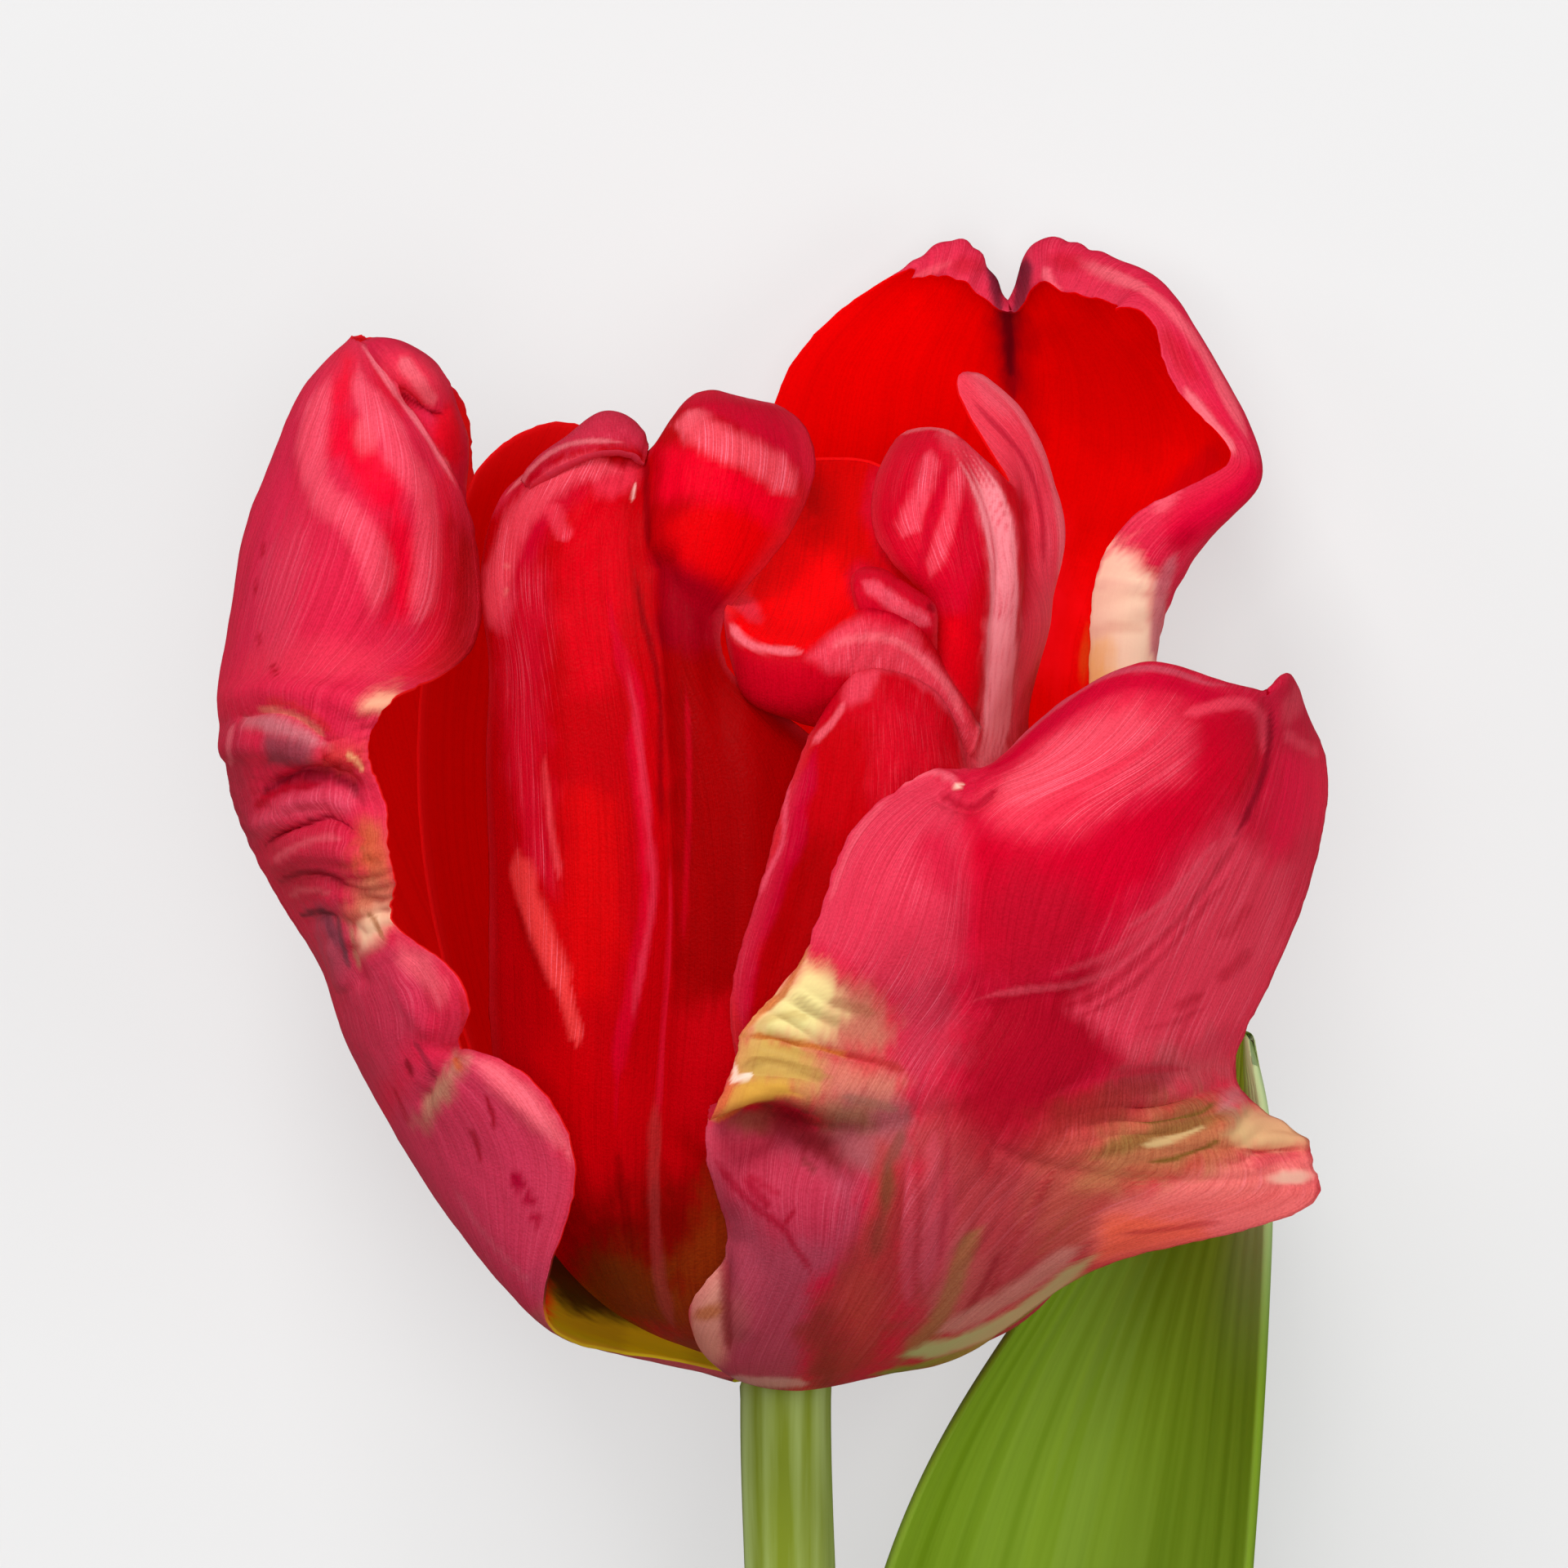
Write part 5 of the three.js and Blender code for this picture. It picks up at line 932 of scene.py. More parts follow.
        (0.7, tint(222, 6, 48, 0.1), 0.92, [(8.4, 76), (9.4, 77.8), (12.4, 78.2), (15.2, 75.6), (16, 71),
         (15.8, 66), (14.4, 62.6), (12.1, 62.3), (9.3, 65.5), (7, 68.1), (6.3, 70.5), (6.8, 73.2)]),
        (0.6, tint(250, 70, 96, 0.2), 0.92, [(12.8, 80.2), (13.2, 82), (15.2, 82.6), (17.2, 81.6),
         (19, 79.6), (20.8, 76.6), (22.2, 73), (22.8, 70), (22.8, 66), (21.9, 62.4), (20.7, 59.7),
         (19.2, 56.4), (18.4, 53.7), (17.9, 51), (18.2, 58), (19.2, 63), (19.6, 68), (19.2, 71.6),
         (17.4, 74.2), (14.9, 76), (13.4, 78.4)]),
        (0.6, tint(242, 104, 124), 0.92, [(12.6, 76.8), (14.4, 73.2), (15.6, 70), (16.2, 66), (16.2, 63),
         (15.9, 60), (15.8, 55.5), (15.6, 52.5), (14.8, 48.6), (16.6, 48.6), (17.6, 52.5), (18, 55.5),
         (18.4, 60), (18.5, 63), (18.5, 66), (18.1, 70), (16.9, 73), (14.8, 76.2)]),
        (0.8, tint(255, 156, 166), 0.8, [(16.2, 62), (18.2, 62), (17.8, 55.5), (17, 51), (15.4, 50),
         (16, 55.5)]),
        # Painted shade in the crease between the two tall lobes
        (0.6, tint(222, 24, 58), 0.45, [(18.8, 73), (19.6, 71), (20.1, 67), (19.7, 63), (19, 61),
         (19.1, 66), (19, 70)]),
    ], "patches": [
        # A painted highlight in the bowl's left corner, then painted shade in the dimple at the curl's end
        (-3.3, 62.8, 1.7, 0.8, -52, tint(250, 60, 84), 0.85),
        (11.5, 62.7, 0.5, 0.4, 0, tint(160, 0, 20), 0.8),
        (16.8, 80, 3, 0.9, -50, tint(246, 96, 116, 0.3), 0.7),
        (14.6, 74, 3.4, 1.5, -62, tint(230, 34, 64), 0.8),
        (21, 66, 6, 0.7, 88, tint(246, 90, 116, 0.2), 0.4),
    ], "strokes": [
        # The left edge of the low lobe
        (1.0, tint(206, 0, 54, 0.1), 0.85, [(3, 53), (2.4, 51), (1.4, 48.2), (0.7, 46), (0.5, 43.8),
         (-0.6, 41.8), (-1.6, 38.8), (-2.6, 36.2), (-3.3, 33.8), (-3.4, 31), (-3, 27)]),
        # A painted highlight along the lobe's top left edge
        (0.3, tint(246, 104, 120), 0.85, [(5, 55.4), (4.2, 54), (3.2, 52.8), (2, 51.6)]),
        (0.22, tint(240, 90, 116), 0.7, [(0.6, 49.6), (0, 46.8), (-0.2, 44), (-1.3, 41.6), (-2.2, 38.8)]),
        # Painted highlights on the rim of the bowl-like lobe, on the ridge below it and on the curl, then a
        # dark line under the curl
        (0.3, tint(250, 124, 138), 0.9, [(-4.7, 62), (-3.3, 60.1), (-1.4, 59.3), (0.4, 59.1), (1.9, 59)]),
        (0.35, tint(252, 120, 134, 0.3), 0.7, [(2.4, 58.8), (5, 60.2), (8, 60.4), (10.8, 58.8),
         (13.2, 55.8), (14.8, 52.4)]),
        (0.6, tint(248, 90, 114, 0.8), 0.8, [(5.8, 65), (7.2, 64.2), (9, 63), (10.8, 62), (12, 61.4)]),
        (0.3, tint(186, 0, 30), 0.7, [(6.2, 62.2), (8, 62.4), (10, 61.2)]),
        # The tall lobes: painted highlights on the front one and along the rear one's rim
        (0.95, tint(248, 84, 108, 0.9), 0.75, [(12, 76), (11.6, 74), (11, 72), (10, 69.6), (9.6, 68)]),
        (0.6, tint(246, 80, 104, 0.9), 0.7, [(14.2, 75), (13.4, 71.1), (12.4, 67.2), (11.6, 64.8)]),
        (0.4, tint(206, 0, 44), 0.6, [(13, 75.6), (12.5, 72), (11.4, 68), (10.9, 65)]),
        (0.35, tint(248, 124, 138, 0.3), 0.85, [(13.3, 80.8), (14, 81.8), (15.2, 82), (17, 81.1),
         (18.7, 79), (20.4, 76), (21.6, 72.8), (22.1, 69.8), (22.1, 66), (21.3, 62.4)]),
        (0.25, tint(196, 10, 50), 0.7, [(14.4, 80.6), (17, 77.6), (19.4, 74.4), (20.6, 70), (20.6, 65)]),
        (0.25, tint(240, 120, 130), 0.8, [(9, 76.8), (11, 77.3), (12.6, 77.2), (14.2, 76.2)]),
        *linesBetween(5, 0.24, tint(255, 184, 192), 0.6, veinBand),
    ]},
    "inner": {"base": scarlet, "rim": tint(244, 60, 70), "rimStrength": 0.2, "areas": [], "patches": [
        (8, 6, 10, 7, 0, yellow, 0.8), (8, 13, 10, 6, 0, darkOlive, 0.7),
        # A painted highlight in the bowl's left corner
        (-3.2, 62.8, 1.6, 0.8, -50, tint(248, 70, 90), 0.8), (3, 61.6, 3.4, 0.9, 10, tint(232, 0, 24), 0.7),
    ], "strokes": []},
}
tepal("inner_tepal_right_petal", "inner_tepal_right", "inner_tepal", rightInnerTepal)

# The outer tepal on the left: a hood over a crinkled waist with a frilled edge, and two lobes below it
leftTepal = {
    "thickness": 0.7, "teeth": 0.2, "unevenness": 0.08, "markedFrom": -6,
    "sheets": [{"across": 50, "along": 60, "rows": [
        [(-29, 70.5, 5), (-28.2, 70.8, 6.8), (-27.4, 71, 6.8), (-26.8, 71.2, 5.4), (-26.3, 71.4, 3)],
        [(-30, 73.8, 5), (-28.8, 74, 7.6), (-27.8, 74.2, 7.8), (-26.8, 74.3, 6), (-26, 74.4, 3)],
        [(-31, 76.6, 6), (-29.6, 77, 8.6), (-28.3, 77.1, 9), (-27, 77.2, 7), (-26, 77.2, 3.5)],
        [(-31.8, 79, 6.5), (-30.3, 79.4, 8.8), (-28.8, 79.6, 9), (-27.5, 79.4, 6.8), (-26.8, 79.2, 3.2)],
        [(-33, 81, 7), (-31.2, 81.6, 10.2), (-29.6, 81.8, 10.4), (-28.2, 81.4, 7.6), (-27.5, 81, 3)],
        [(-34.4, 82.8, 6), (-32.6, 83.6, 8.6), (-31, 83.9, 8.2), (-29.6, 83.4, 5.6), (-28.7, 82.8, 2)],
        [(-35.4, 84, 4), (-34, 84.8, 5.6), (-32.7, 84.9, 5), (-31.4, 84.4, 3.4), (-30.8, 83.9, 1)],
    ]}, {"across": 165, "along": 225, "rows": [
        [(-1.6, 0.5, -3.7), (-2.8, 0.3, -3), (-3.7, 0.2, -1.9), (-4.1, 0.2, -0.8), (-4.25, 0.3, -0.1),
         (-4.2, 0.4, 0.5), (-4.05, 0.6, 1.1)],
        [(-4.7, 1.2, -9.4), (-7.2, 1.2, -7.7), (-9.3, 1.5, -4.9), (-10.3, 1.8, -2), (-10.6, 1.9, 0.3),
         (-10.3, 1.8, 2.2), (-9.7, 1.9, 4)],
        [(-8.4, 4.3, -19.5), (-13.2, 3.6, -15.4), (-16.8, 3.6, -9.6), (-18.2, 4.2, -3.5), (-18.1, 4.3, 1.5),
         (-17, 3.7, 5.5), (-15.2, 2.8, 9)],
        [(-12, 10, -26), (-17.8, 8.2, -21), (-22.2, 7.8, -12.5), (-23.5, 8.6, -3.5), (-23.1, 8.4, 4),
         (-21.6, 7, 10.5), (-19.3, 5.4, 15.5)],
        [(-14, 17, -30), (-20.5, 15, -25), (-26, 14.5, -15.5), (-28, 14.8, -4), (-27.3, 14, 6),
         (-24.3, 12.5, 15), (-18.4, 11.5, 20.5)],
        [(-16, 25, -34), (-23, 22.5, -28), (-29.3, 21.3, -17.5), (-31.8, 21, -5), (-30.8, 20, 7.5),
         (-25.8, 19, 18), (-17, 18.7, 24.5)],
        [(-17.5, 31, -37), (-25.5, 28, -30.5), (-31.5, 26, -19), (-34.3, 25.5, -6), (-33.2, 24.5, 7.5),
         (-28.3, 23.7, 19), (-21.4, 25.7, 25)],
        [(-18.5, 35, -38.6), (-27, 31.5, -31), (-33.3, 29.2, -19.5), (-35.8, 28.5, -6), (-34.8, 27.8, 7.5),
         (-31, 27.3, 17.5), (-26.2, 27.4, 21)],
        [(-19, 37.5, -39), (-27.6, 34, -31), (-34.2, 31.8, -19.5), (-36.6, 31, -6), (-35.6, 30.4, 8),
         (-31.5, 30, 18.5), (-25.5, 30.4, 24.5)],
        [(-20, 40.5, -39.6), (-28.7, 37, -31), (-35.4, 34.5, -19.5), (-37.6, 33.7, -6), (-36.6, 33.4, 8),
         (-33, 33.6, 18), (-27.6, 34.4, 24)],
        [(-21, 44, -39.8), (-30, 40, -31), (-37, 37.6, -19), (-39.5, 36.8, -6), (-38, 36.8, 8),
         (-35.3, 37, 16.5), (-31.6, 37.4, 20.5)],
        [(-21.5, 47.5, -39.8), (-31.3, 43.5, -31), (-38.8, 41, -19), (-41.7, 40.2, -6), (-39.8, 40, 8),
         (-36.7, 40.2, 17), (-31.5, 40.2, 22)],
        [(-22, 51, -39.8), (-32.4, 47, -31), (-40.6, 44.7, -19), (-43.6, 44, -6), (-41.8, 43.6, 7.5),
         (-37.5, 43.6, 18.5), (-32, 43.4, 22.5)],
        [(-22.7, 55, -39.8), (-33.4, 50.7, -30.6), (-42, 48.4, -18.5), (-45, 47.6, -5.5), (-43, 47.2, 7),
         (-38.3, 47, 16.2), (-32.3, 47, 21)],
        [(-23.3, 59, -38.4), (-34.2, 54.5, -30), (-42.9, 52, -18), (-45.6, 51.3, -5), (-44.2, 50.8, 8),
         (-39.5, 50.6, 17.5), (-33.5, 50.5, 21.5)],
        [(-24, 62.5, -36), (-34.7, 57.8, -28.6), (-43.3, 55.5, -17), (-46, 54.6, -4.5), (-44.8, 54, 9),
         (-39.8, 53.8, 19), (-33.2, 53.2, 21.5)],
        [(-24.6, 66, -33), (-35, 61, -26.8), (-43.4, 58.8, -15.8), (-45.9, 57.8, -3.5), (-44.2, 57, 9.5),
         (-38.6, 57, 19), (-30.8, 56, 21.5)],
        [(-25.2, 70, -29), (-35.2, 66, -23.5), (-43, 63.8, -13), (-45, 62.8, -2), (-42.8, 62.3, 10.5),
         (-35.5, 62, 19.2), (-25.6, 59.5, 9)],
        [(-25.8, 74, -23), (-34.8, 71.5, -18.5), (-42, 69.8, -9.5), (-43.9, 69, 0.5), (-41, 68.3, 11.5),
         (-33.5, 68, 18.5), (-25, 66.5, 5)],
        [(-26, 78.3, -15), (-33, 77.3, -12), (-39.2, 76, -5.5), (-41.6, 75, 2.5), (-38.6, 74.5, 11),
         (-32.4, 74, 16.5), (-26.3, 72.2, 8)],
        [(-27.2, 81, -8), (-31.5, 82, -6.5), (-36.3, 81.7, -2.5), (-38.9, 81, 3), (-37, 80.5, 9),
         (-33.3, 79.6, 12), (-29.6, 78, 11.5)],
        [(-29.5, 83.7, -2.5), (-31.8, 84.6, -1.8), (-33.7, 85.1, -0.2), (-35, 85.2, 1.8), (-35.3, 85, 4),
         (-34.6, 84.6, 6), (-33.2, 84, 7.2)],
    ]}],
    "folds": [
        (0.7, -0.6, [(-46, 53), (-43.4, 54.2), (-40, 54.2), (-37.6, 52.4), (-36, 51.4)]),
        (0.8, 0.6, [(-46, 55.2), (-43, 56.2), (-39.5, 56.2), (-36, 55.6), (-33, 54.6)]),
        (0.7, -1.1, [(-42, 48.2), (-40.8, 48.8), (-38.8, 49.6), (-36.7, 49.6), (-35, 48.6), (-34, 47.4)]),
        (0.8, 0.6, [(-46, 51.6), (-42, 51.8), (-39.4, 51.4), (-37, 51), (-34.4, 50.6)]),
        (0.6, 0.5, [(-44, 46.4), (-42.3, 45.4), (-39.9, 46.9), (-37.6, 47.5), (-35.4, 47.1), (-33.4, 46)]),
        (0.5, -0.7, [(-42.7, 43.2), (-40.8, 44.7), (-38.4, 45.6), (-36.7, 46), (-35.4, 45.4), (-33, 43.8)]),
        (0.7, 0.5, [(-42, 41.4), (-40, 42.8), (-37.6, 43.6), (-35.2, 43), (-33, 41.6)]),
        (0.6, -0.6, [(-41, 40), (-38.6, 41.2), (-36.4, 40.8), (-34, 39.6), (-32, 38.4)]),
        (0.6, -0.5, [(-39, 37.4), (-37, 38), (-35, 37.2), (-33.4, 36.4)]),
        (0.7, 0.5, [(-36.6, 36), (-36, 34), (-35.4, 32)]),
        (0.7, -0.5, [(-34.8, 36), (-34.4, 34), (-33.8, 32)]),
        (0.5, -0.8, [(-31.8, 81), (-30.8, 80.2), (-29.4, 79.2), (-27.6, 78.6)]),
        (1.3, 0.35, [(-36.3, 82.5), (-37.8, 79.6), (-38.4, 75), (-37, 71.8), (-34.6, 69), (-33.2, 66),
         (-34, 62)]),
        (1.2, -0.35, [(-35.4, 82), (-36, 78.6), (-34.8, 75), (-32.4, 72), (-31.6, 68), (-31.4, 64),
         (-32.4, 61)]),
        (1.1, 0.4, [(-34.4, 83), (-33.4, 79.4), (-31.4, 76), (-30.6, 73), (-29.6, 69), (-29.6, 64),
         (-31, 60)]),
        (0.7, -0.8, [(-26, 27.6), (-27.2, 26.4), (-28.4, 24.6), (-29.4, 22.4)]),
        (0.8, 0.4, [(-26.4, 27.4), (-24.6, 25.6), (-22, 23.6), (-18.6, 20.4)]),
        (0.8, -0.35, [(-29.6, 35.6), (-29.4, 32), (-28.4, 29)]),
        (0.8, 0.4, [(-31.4, 34), (-30.2, 31), (-28, 28.6)]),
        (1.0, 0.4, [(-43.8, 54), (-44.8, 52.4), (-44.9, 50.6)]),
    ],
    "wrinkles": [
        (-34, 72, 9, 12, 5, 3.1, 0.04, 0.0), (-36.4, 50.8, 2.6, 1.6, 20, 0.9, 0.16, 0.3),
        (-33.2, 40, 2.5, 5, 15, 1.3, 0.2, 0.1), (-32.6, 51.6, 2, 3, 20, 1.1, 0.2, 0.6),
        (-25, 20, 9, 4, -55, 2.4, 0.04, 0.2), (-39, 46, 5, 6, 12, 1.5, 0.12, 0.0),
    ],
    "outer": {"base": tint(228, 42, 82, 0.1), "rim": tint(244, 96, 116), "rimStrength": 0.25, "areas": [
        # The hood
        (1.6, tint(222, 42, 86, 0.1), 0.8, [(-43, 71), (-40.8, 78), (-38, 82), (-37.2, 80), (-39.4, 75),
         (-40.4, 69), (-42, 60), (-45, 58)]),
        (1.0, tint(246, 4, 52), 0.9, [(-35.8, 83.4), (-37, 79.6), (-36.6, 75.4), (-34.4, 72.4), (-32.6, 70),
         (-32.4, 66), (-32.4, 62), (-31, 61.6), (-30, 64.6), (-30.4, 69), (-31.4, 73), (-33.4, 76),
         (-35, 79.4), (-35, 83)]),
        (0.8, tint(222, 10, 50), 0.85, [(-34, 83.2), (-32.6, 81.8), (-31, 79.4), (-31.4, 78.4), (-33, 80)]),
        # Painted shade where the hood turns in behind the inner tepal, deepening towards its edge
        (1.4, tint(240, 20, 56, 0.2), 0.9, [(-28.2, 73), (-27.6, 71), (-26.4, 68), (-26, 56), (-31, 57.4),
         (-29.6, 60.6), (-28.6, 64), (-28.4, 69)]),
        (1.4, tint(196, 0, 6), 0.9, [(-27.2, 70), (-25, 68), (-24.6, 57), (-29, 57.6), (-27.4, 61),
         (-27, 66)]),
        (1.2, tint(236, 64, 92, 0.3), 0.6, [(-42, 60), (-36, 60), (-31.4, 59.4), (-33, 57), (-38, 57),
         (-43.6, 58)]),
        # The crinkled waist and its frilled edge
        (0.6, tint(208, 130, 140, 0.2), 0.9, [(-43.6, 54.2), (-41, 54), (-38.4, 53), (-36.8, 51.6),
         (-38.4, 51.6), (-41, 52.8), (-43.8, 53.2)]),
        (0.6, tint(150, 74, 88), 0.85, [(-42, 52.4), (-39, 52.2), (-37.8, 51.2), (-38.4, 50.4),
         (-41.6, 50.6)]),
        (0.8, tint(196, 50, 80, 0.2), 0.8, [(-45.6, 54), (-44, 54.2), (-43.4, 51), (-43.4, 48), (-42, 44.4),
         (-43.6, 43), (-46, 48)]),
        (0.8, tint(228, 80, 110, 0.3), 0.85, [(-43, 46), (-40, 47.8), (-37.4, 48.4), (-34.6, 47.8),
         (-35, 46.2), (-38, 46.4), (-41, 45.4), (-42.6, 44.4)]),
        # Painted shade in the deepest crease of the waist
        (0.5, tint(120, 0, 24), 0.85, [(-42, 48), (-40.8, 48.4), (-38.8, 49.1), (-36.7, 49.1), (-35, 48.2),
         (-34, 47), (-34.4, 48.6), (-36.6, 50.2), (-38.8, 50.2), (-40.9, 49.5)]),
        (1.0, tint(208, 70, 50), 0.65, [(-37.8, 50.4), (-36.2, 52), (-33.6, 52), (-33.4, 49.8),
         (-35, 49.6)]),
        (1.1, tint(206, 46, 72, 0.2), 0.75, [(-42.6, 44.4), (-39, 45), (-36, 45.4), (-35, 42.6),
         (-36.6, 39.6), (-39.4, 38.4), (-41.6, 41)]),
        (1.1, tint(206, 112, 56), 0.8, [(-34.2, 45.6), (-33, 45.4), (-32, 43.6), (-31.4, 40.6), (-33, 40.8),
         (-34.6, 42.4)]),
        (1.1, tint(216, 152, 108), 0.75, [(-34.8, 40.6), (-32.6, 41.4), (-31.2, 40), (-31.6, 37.8),
         (-33.4, 37), (-35.4, 38)]),
        (0.9, tint(248, 226, 184), 0.9, [(-33.8, 38.4), (-32.4, 38.8), (-31.4, 37.8), (-32.4, 36.2),
         (-34.2, 34.8), (-34.4, 36.6)]),
        # The two low lobes
        (1.4, tint(180, 90, 110), 0.75, [(-38.4, 38.6), (-36.4, 39), (-35.2, 36.6), (-34.8, 33),
         (-36.2, 32), (-37.6, 34.6)]),
        (1.2, tint(212, 62, 96, 0.2), 0.8, [(-36, 33), (-34, 35), (-31, 36), (-28, 34.6), (-28.6, 31),
         (-30.4, 27), (-33.6, 22), (-36.4, 27)]),
        # A painted highlight on the upper low lobe
        (0.8, tint(250, 110, 128, 0.3), 0.9, [(-31, 35.8), (-29, 35), (-27.2, 32.6), (-27.6, 31),
         (-29.2, 32.6), (-31, 34.4)]),
        (1.2, tint(216, 66, 102, 0.08), 0.9, [(-29, 26), (-25, 27.4), (-20, 23), (-17, 18), (-18.6, 9),
         (-19, 5), (-26, 9), (-33, 20)]),
        # A painted highlight along the top edge of the lower low lobe
        (0.7, tint(255, 124, 140, 0.3), 0.95, [(-25.2, 26.4), (-23.4, 26.4), (-21, 24.6), (-18.6, 22),
         (-17, 19.2), (-17.2, 18.2), (-19.4, 20.6), (-22.2, 23.2)]),
        (0.9, tint(190, 156, 120), 0.85, [(-29.6, 21.4), (-28.9, 23.4), (-27.6, 25), (-26.4, 26.8),
         (-25.6, 26.6), (-26.4, 24.6), (-27.8, 22.6), (-28.8, 21)]),
        # A pale spot above the waist, then the foot
        (0.9, tint(240, 206, 160), 0.85, [(-34, 54.8), (-33, 56), (-31.4, 56.4), (-31, 55.6),
         (-31.8, 54.4)]),
        (0.7, tint(206, 104, 110), 0.8, [(-17, 5), (-19.6, 6.6), (-22, 5), (-16, 2), (-8, 0), (-3, -1),
         (-4, 1), (-10, 3)]),
    ], "patches": [
        # The first and the third are painted highlights, on the rolled flap and on the hood
        (-30.2, 81.6, 3, 1.6, -40, tint(252, 66, 96, 0.3), 0.85),
        (-27.6, 77, 3, 1.2, 95, tint(240, 6, 30), 0.85),
        (-33.4, 77.4, 2.2, 1.3, 70, tint(252, 104, 124, 0.3), 0.8),
        (-36.4, 36.8, 2.6, 0.5, -62, tint(130, 70, 90), 0.6),
        (-31.6, 46, 1.2, 0.6, 80, tint(220, 90, 60), 0.7),
        (-40.6, 64, 6, 2, 80, tint(232, 72, 104, 0.3), 0.5),
    ], "strokes": [
        # The hood: painted highlights, and painted shade under the crease of the rolled flap
        (1.25, tint(248, 92, 118, 0.4), 0.85, [(-36.3, 83), (-37.6, 79.8), (-38.2, 76.8), (-38.2, 74.6),
         (-37.2, 72.1), (-35, 69.7), (-33.4, 67), (-33.2, 64.4), (-34.1, 61)]),
        (1.1, tint(248, 92, 118, 0.4), 0.85, [(-34.6, 84), (-34.6, 81.7), (-33.9, 79.6), (-32.4, 77.6),
         (-31.6, 75.6), (-30.6, 74), (-29.6, 72), (-29.3, 69.6), (-29.3, 66.6), (-29.6, 63.4),
         (-30.6, 61.4), (-31.6, 59.8)]),
        (0.3, tint(250, 140, 156), 0.85, [(-35, 85), (-33.5, 83), (-31.8, 80.4), (-30.1, 78.1),
         (-28.3, 75.3), (-26.6, 72.4)]),
        (0.5, tint(250, 120, 136), 0.85, [(-31.5, 83.4), (-30.2, 81.8), (-29, 80.2), (-28.6, 79.2)]),
        (0.3, tint(150, 0, 20), 0.9, [(-31.6, 81), (-30.4, 80), (-29, 79), (-27.6, 78.5)]),
        (0.3, tint(236, 90, 106), 0.7, [(-26.6, 79.4), (-26, 76.6), (-26.1, 74), (-26.5, 72)]),
        # The waist: a painted highlight on its crest, and painted shade in its folds
        (0.35, tint(240, 160, 130), 0.6, [(-43, 54.9), (-41, 54.7), (-38.6, 53.9), (-36.6, 52.2)]),
        (0.3, tint(222, 50, 50), 0.6, [(-42.6, 55.4), (-40, 55.3), (-37.6, 54), (-36, 52.4)]),
        (0.3, tint(180, 20, 30), 0.8, [(-37.6, 51.6), (-36.4, 50.6), (-35, 50.4), (-34, 51.2)]),
        (0.25, tint(236, 190, 130), 0.8, [(-35.6, 51.4), (-34.6, 50.6), (-33.8, 49.6)]),
        # Painted shade in the deepest crease
        (0.4, tint(206, 0, 44), 0.9, [(-43.4, 46.6), (-41, 48), (-38.6, 48.5), (-36.8, 48.6)]),
        (0.25, tint(236, 120, 136), 0.7, [(-44.4, 53.6), (-44.9, 52), (-44.9, 50)]),
        # Painted shade in the folds further down
        (0.3, tint(140, 0, 30), 0.9, [(-42.7, 43.2), (-40.8, 44.7), (-38.4, 45.6), (-36.7, 46),
         (-35.4, 45.4), (-33.8, 44.2)]),
        (0.25, tint(150, 20, 40), 0.8, [(-41.4, 40.8), (-38.8, 41.8), (-36.4, 41.4), (-34.6, 40.4)]),
        (0.22, tint(120, 50, 60), 0.8, [(-39.6, 38), (-37.4, 38.6), (-35.6, 37.8)]),
        (0.3, tint(226, 96, 112), 0.7, [(-42, 42), (-39.6, 43.4), (-37, 44.2), (-35, 43.6)]),
        (0.25, tint(226, 100, 112), 0.7, [(-40.4, 39.6), (-38, 40.2), (-36, 39.6)]),
        (0.25, tint(110, 70, 80), 0.7, [(-36, 38.4), (-35.6, 36), (-35, 33.4)]),
        (0.22, tint(190, 140, 110), 0.7, [(-34.8, 37.4), (-34.6, 35.4), (-34, 33.4)]),
        (0.25, tint(170, 120, 70), 0.8, [(-33.8, 38.6), (-33, 37.6), (-32.2, 36)]),
        (0.25, tint(180, 90, 50), 0.8, [(-34.4, 43.6), (-33.2, 42.6), (-32.2, 42.2)]),
        # The low lobes
        (0.3, tint(214, 10, 40), 0.9, [(-26.3, 32.4), (-25.8, 31), (-26, 28.6), (-26.3, 27.4)]),
        (0.35, tint(220, 110, 60), 0.8, [(-26.6, 26.6), (-26.2, 26), (-25.8, 25.4)]),
        (0.22, tint(170, 10, 36), 0.9, [(-24, 23.9), (-23.4, 21.9), (-23.2, 20.5)]),
        (0.2, tint(170, 10, 36), 0.8, [(-25.4, 21.4), (-24.6, 19.6), (-24.4, 18)]),
        (0.55, tint(184, 0, 54), 0.95, [(-21.9, 17.6), (-21.4, 16.6), (-20.9, 15.8)]),
        (0.5, tint(184, 0, 54), 0.95, [(-21, 15.8), (-20.5, 15.2), (-20.1, 14.6)]),
        (0.5, tint(184, 0, 54), 0.95, [(-20.3, 14.2), (-19.9, 13.5), (-19.5, 13.1)]),
        (0.25, tint(150, 20, 40), 0.9, [(-30.5, 26.6), (-30.1, 25.8), (-29.8, 25.2)]),
        # Dark nicks on the hood
        (0.2, tint(190, 10, 44), 0.8, [(-42.1, 68.6), (-42.1, 67.6), (-42.2, 67)]),
        (0.2, tint(190, 10, 44), 0.8, [(-42.8, 65.2), (-42.7, 64.4), (-42.8, 63.8)]),
        (0.2, tint(190, 10, 44), 0.8, [(-42.5, 61.2), (-42.3, 60.2), (-42.4, 59.6)]),
        (0.22, tint(180, 10, 34), 0.85, [(-41.4, 58.6), (-41.1, 57.8), (-40.8, 57)]),
        # Faint lines on the low lobes
        (0.22, tint(190, 20, 50), 0.6, [(-31.6, 24.6), (-30.8, 22.6), (-30.2, 21)]),
        (0.25, tint(150, 40, 60), 0.7, [(-30, 28.4), (-28.8, 26.4), (-27.8, 24.4)]),
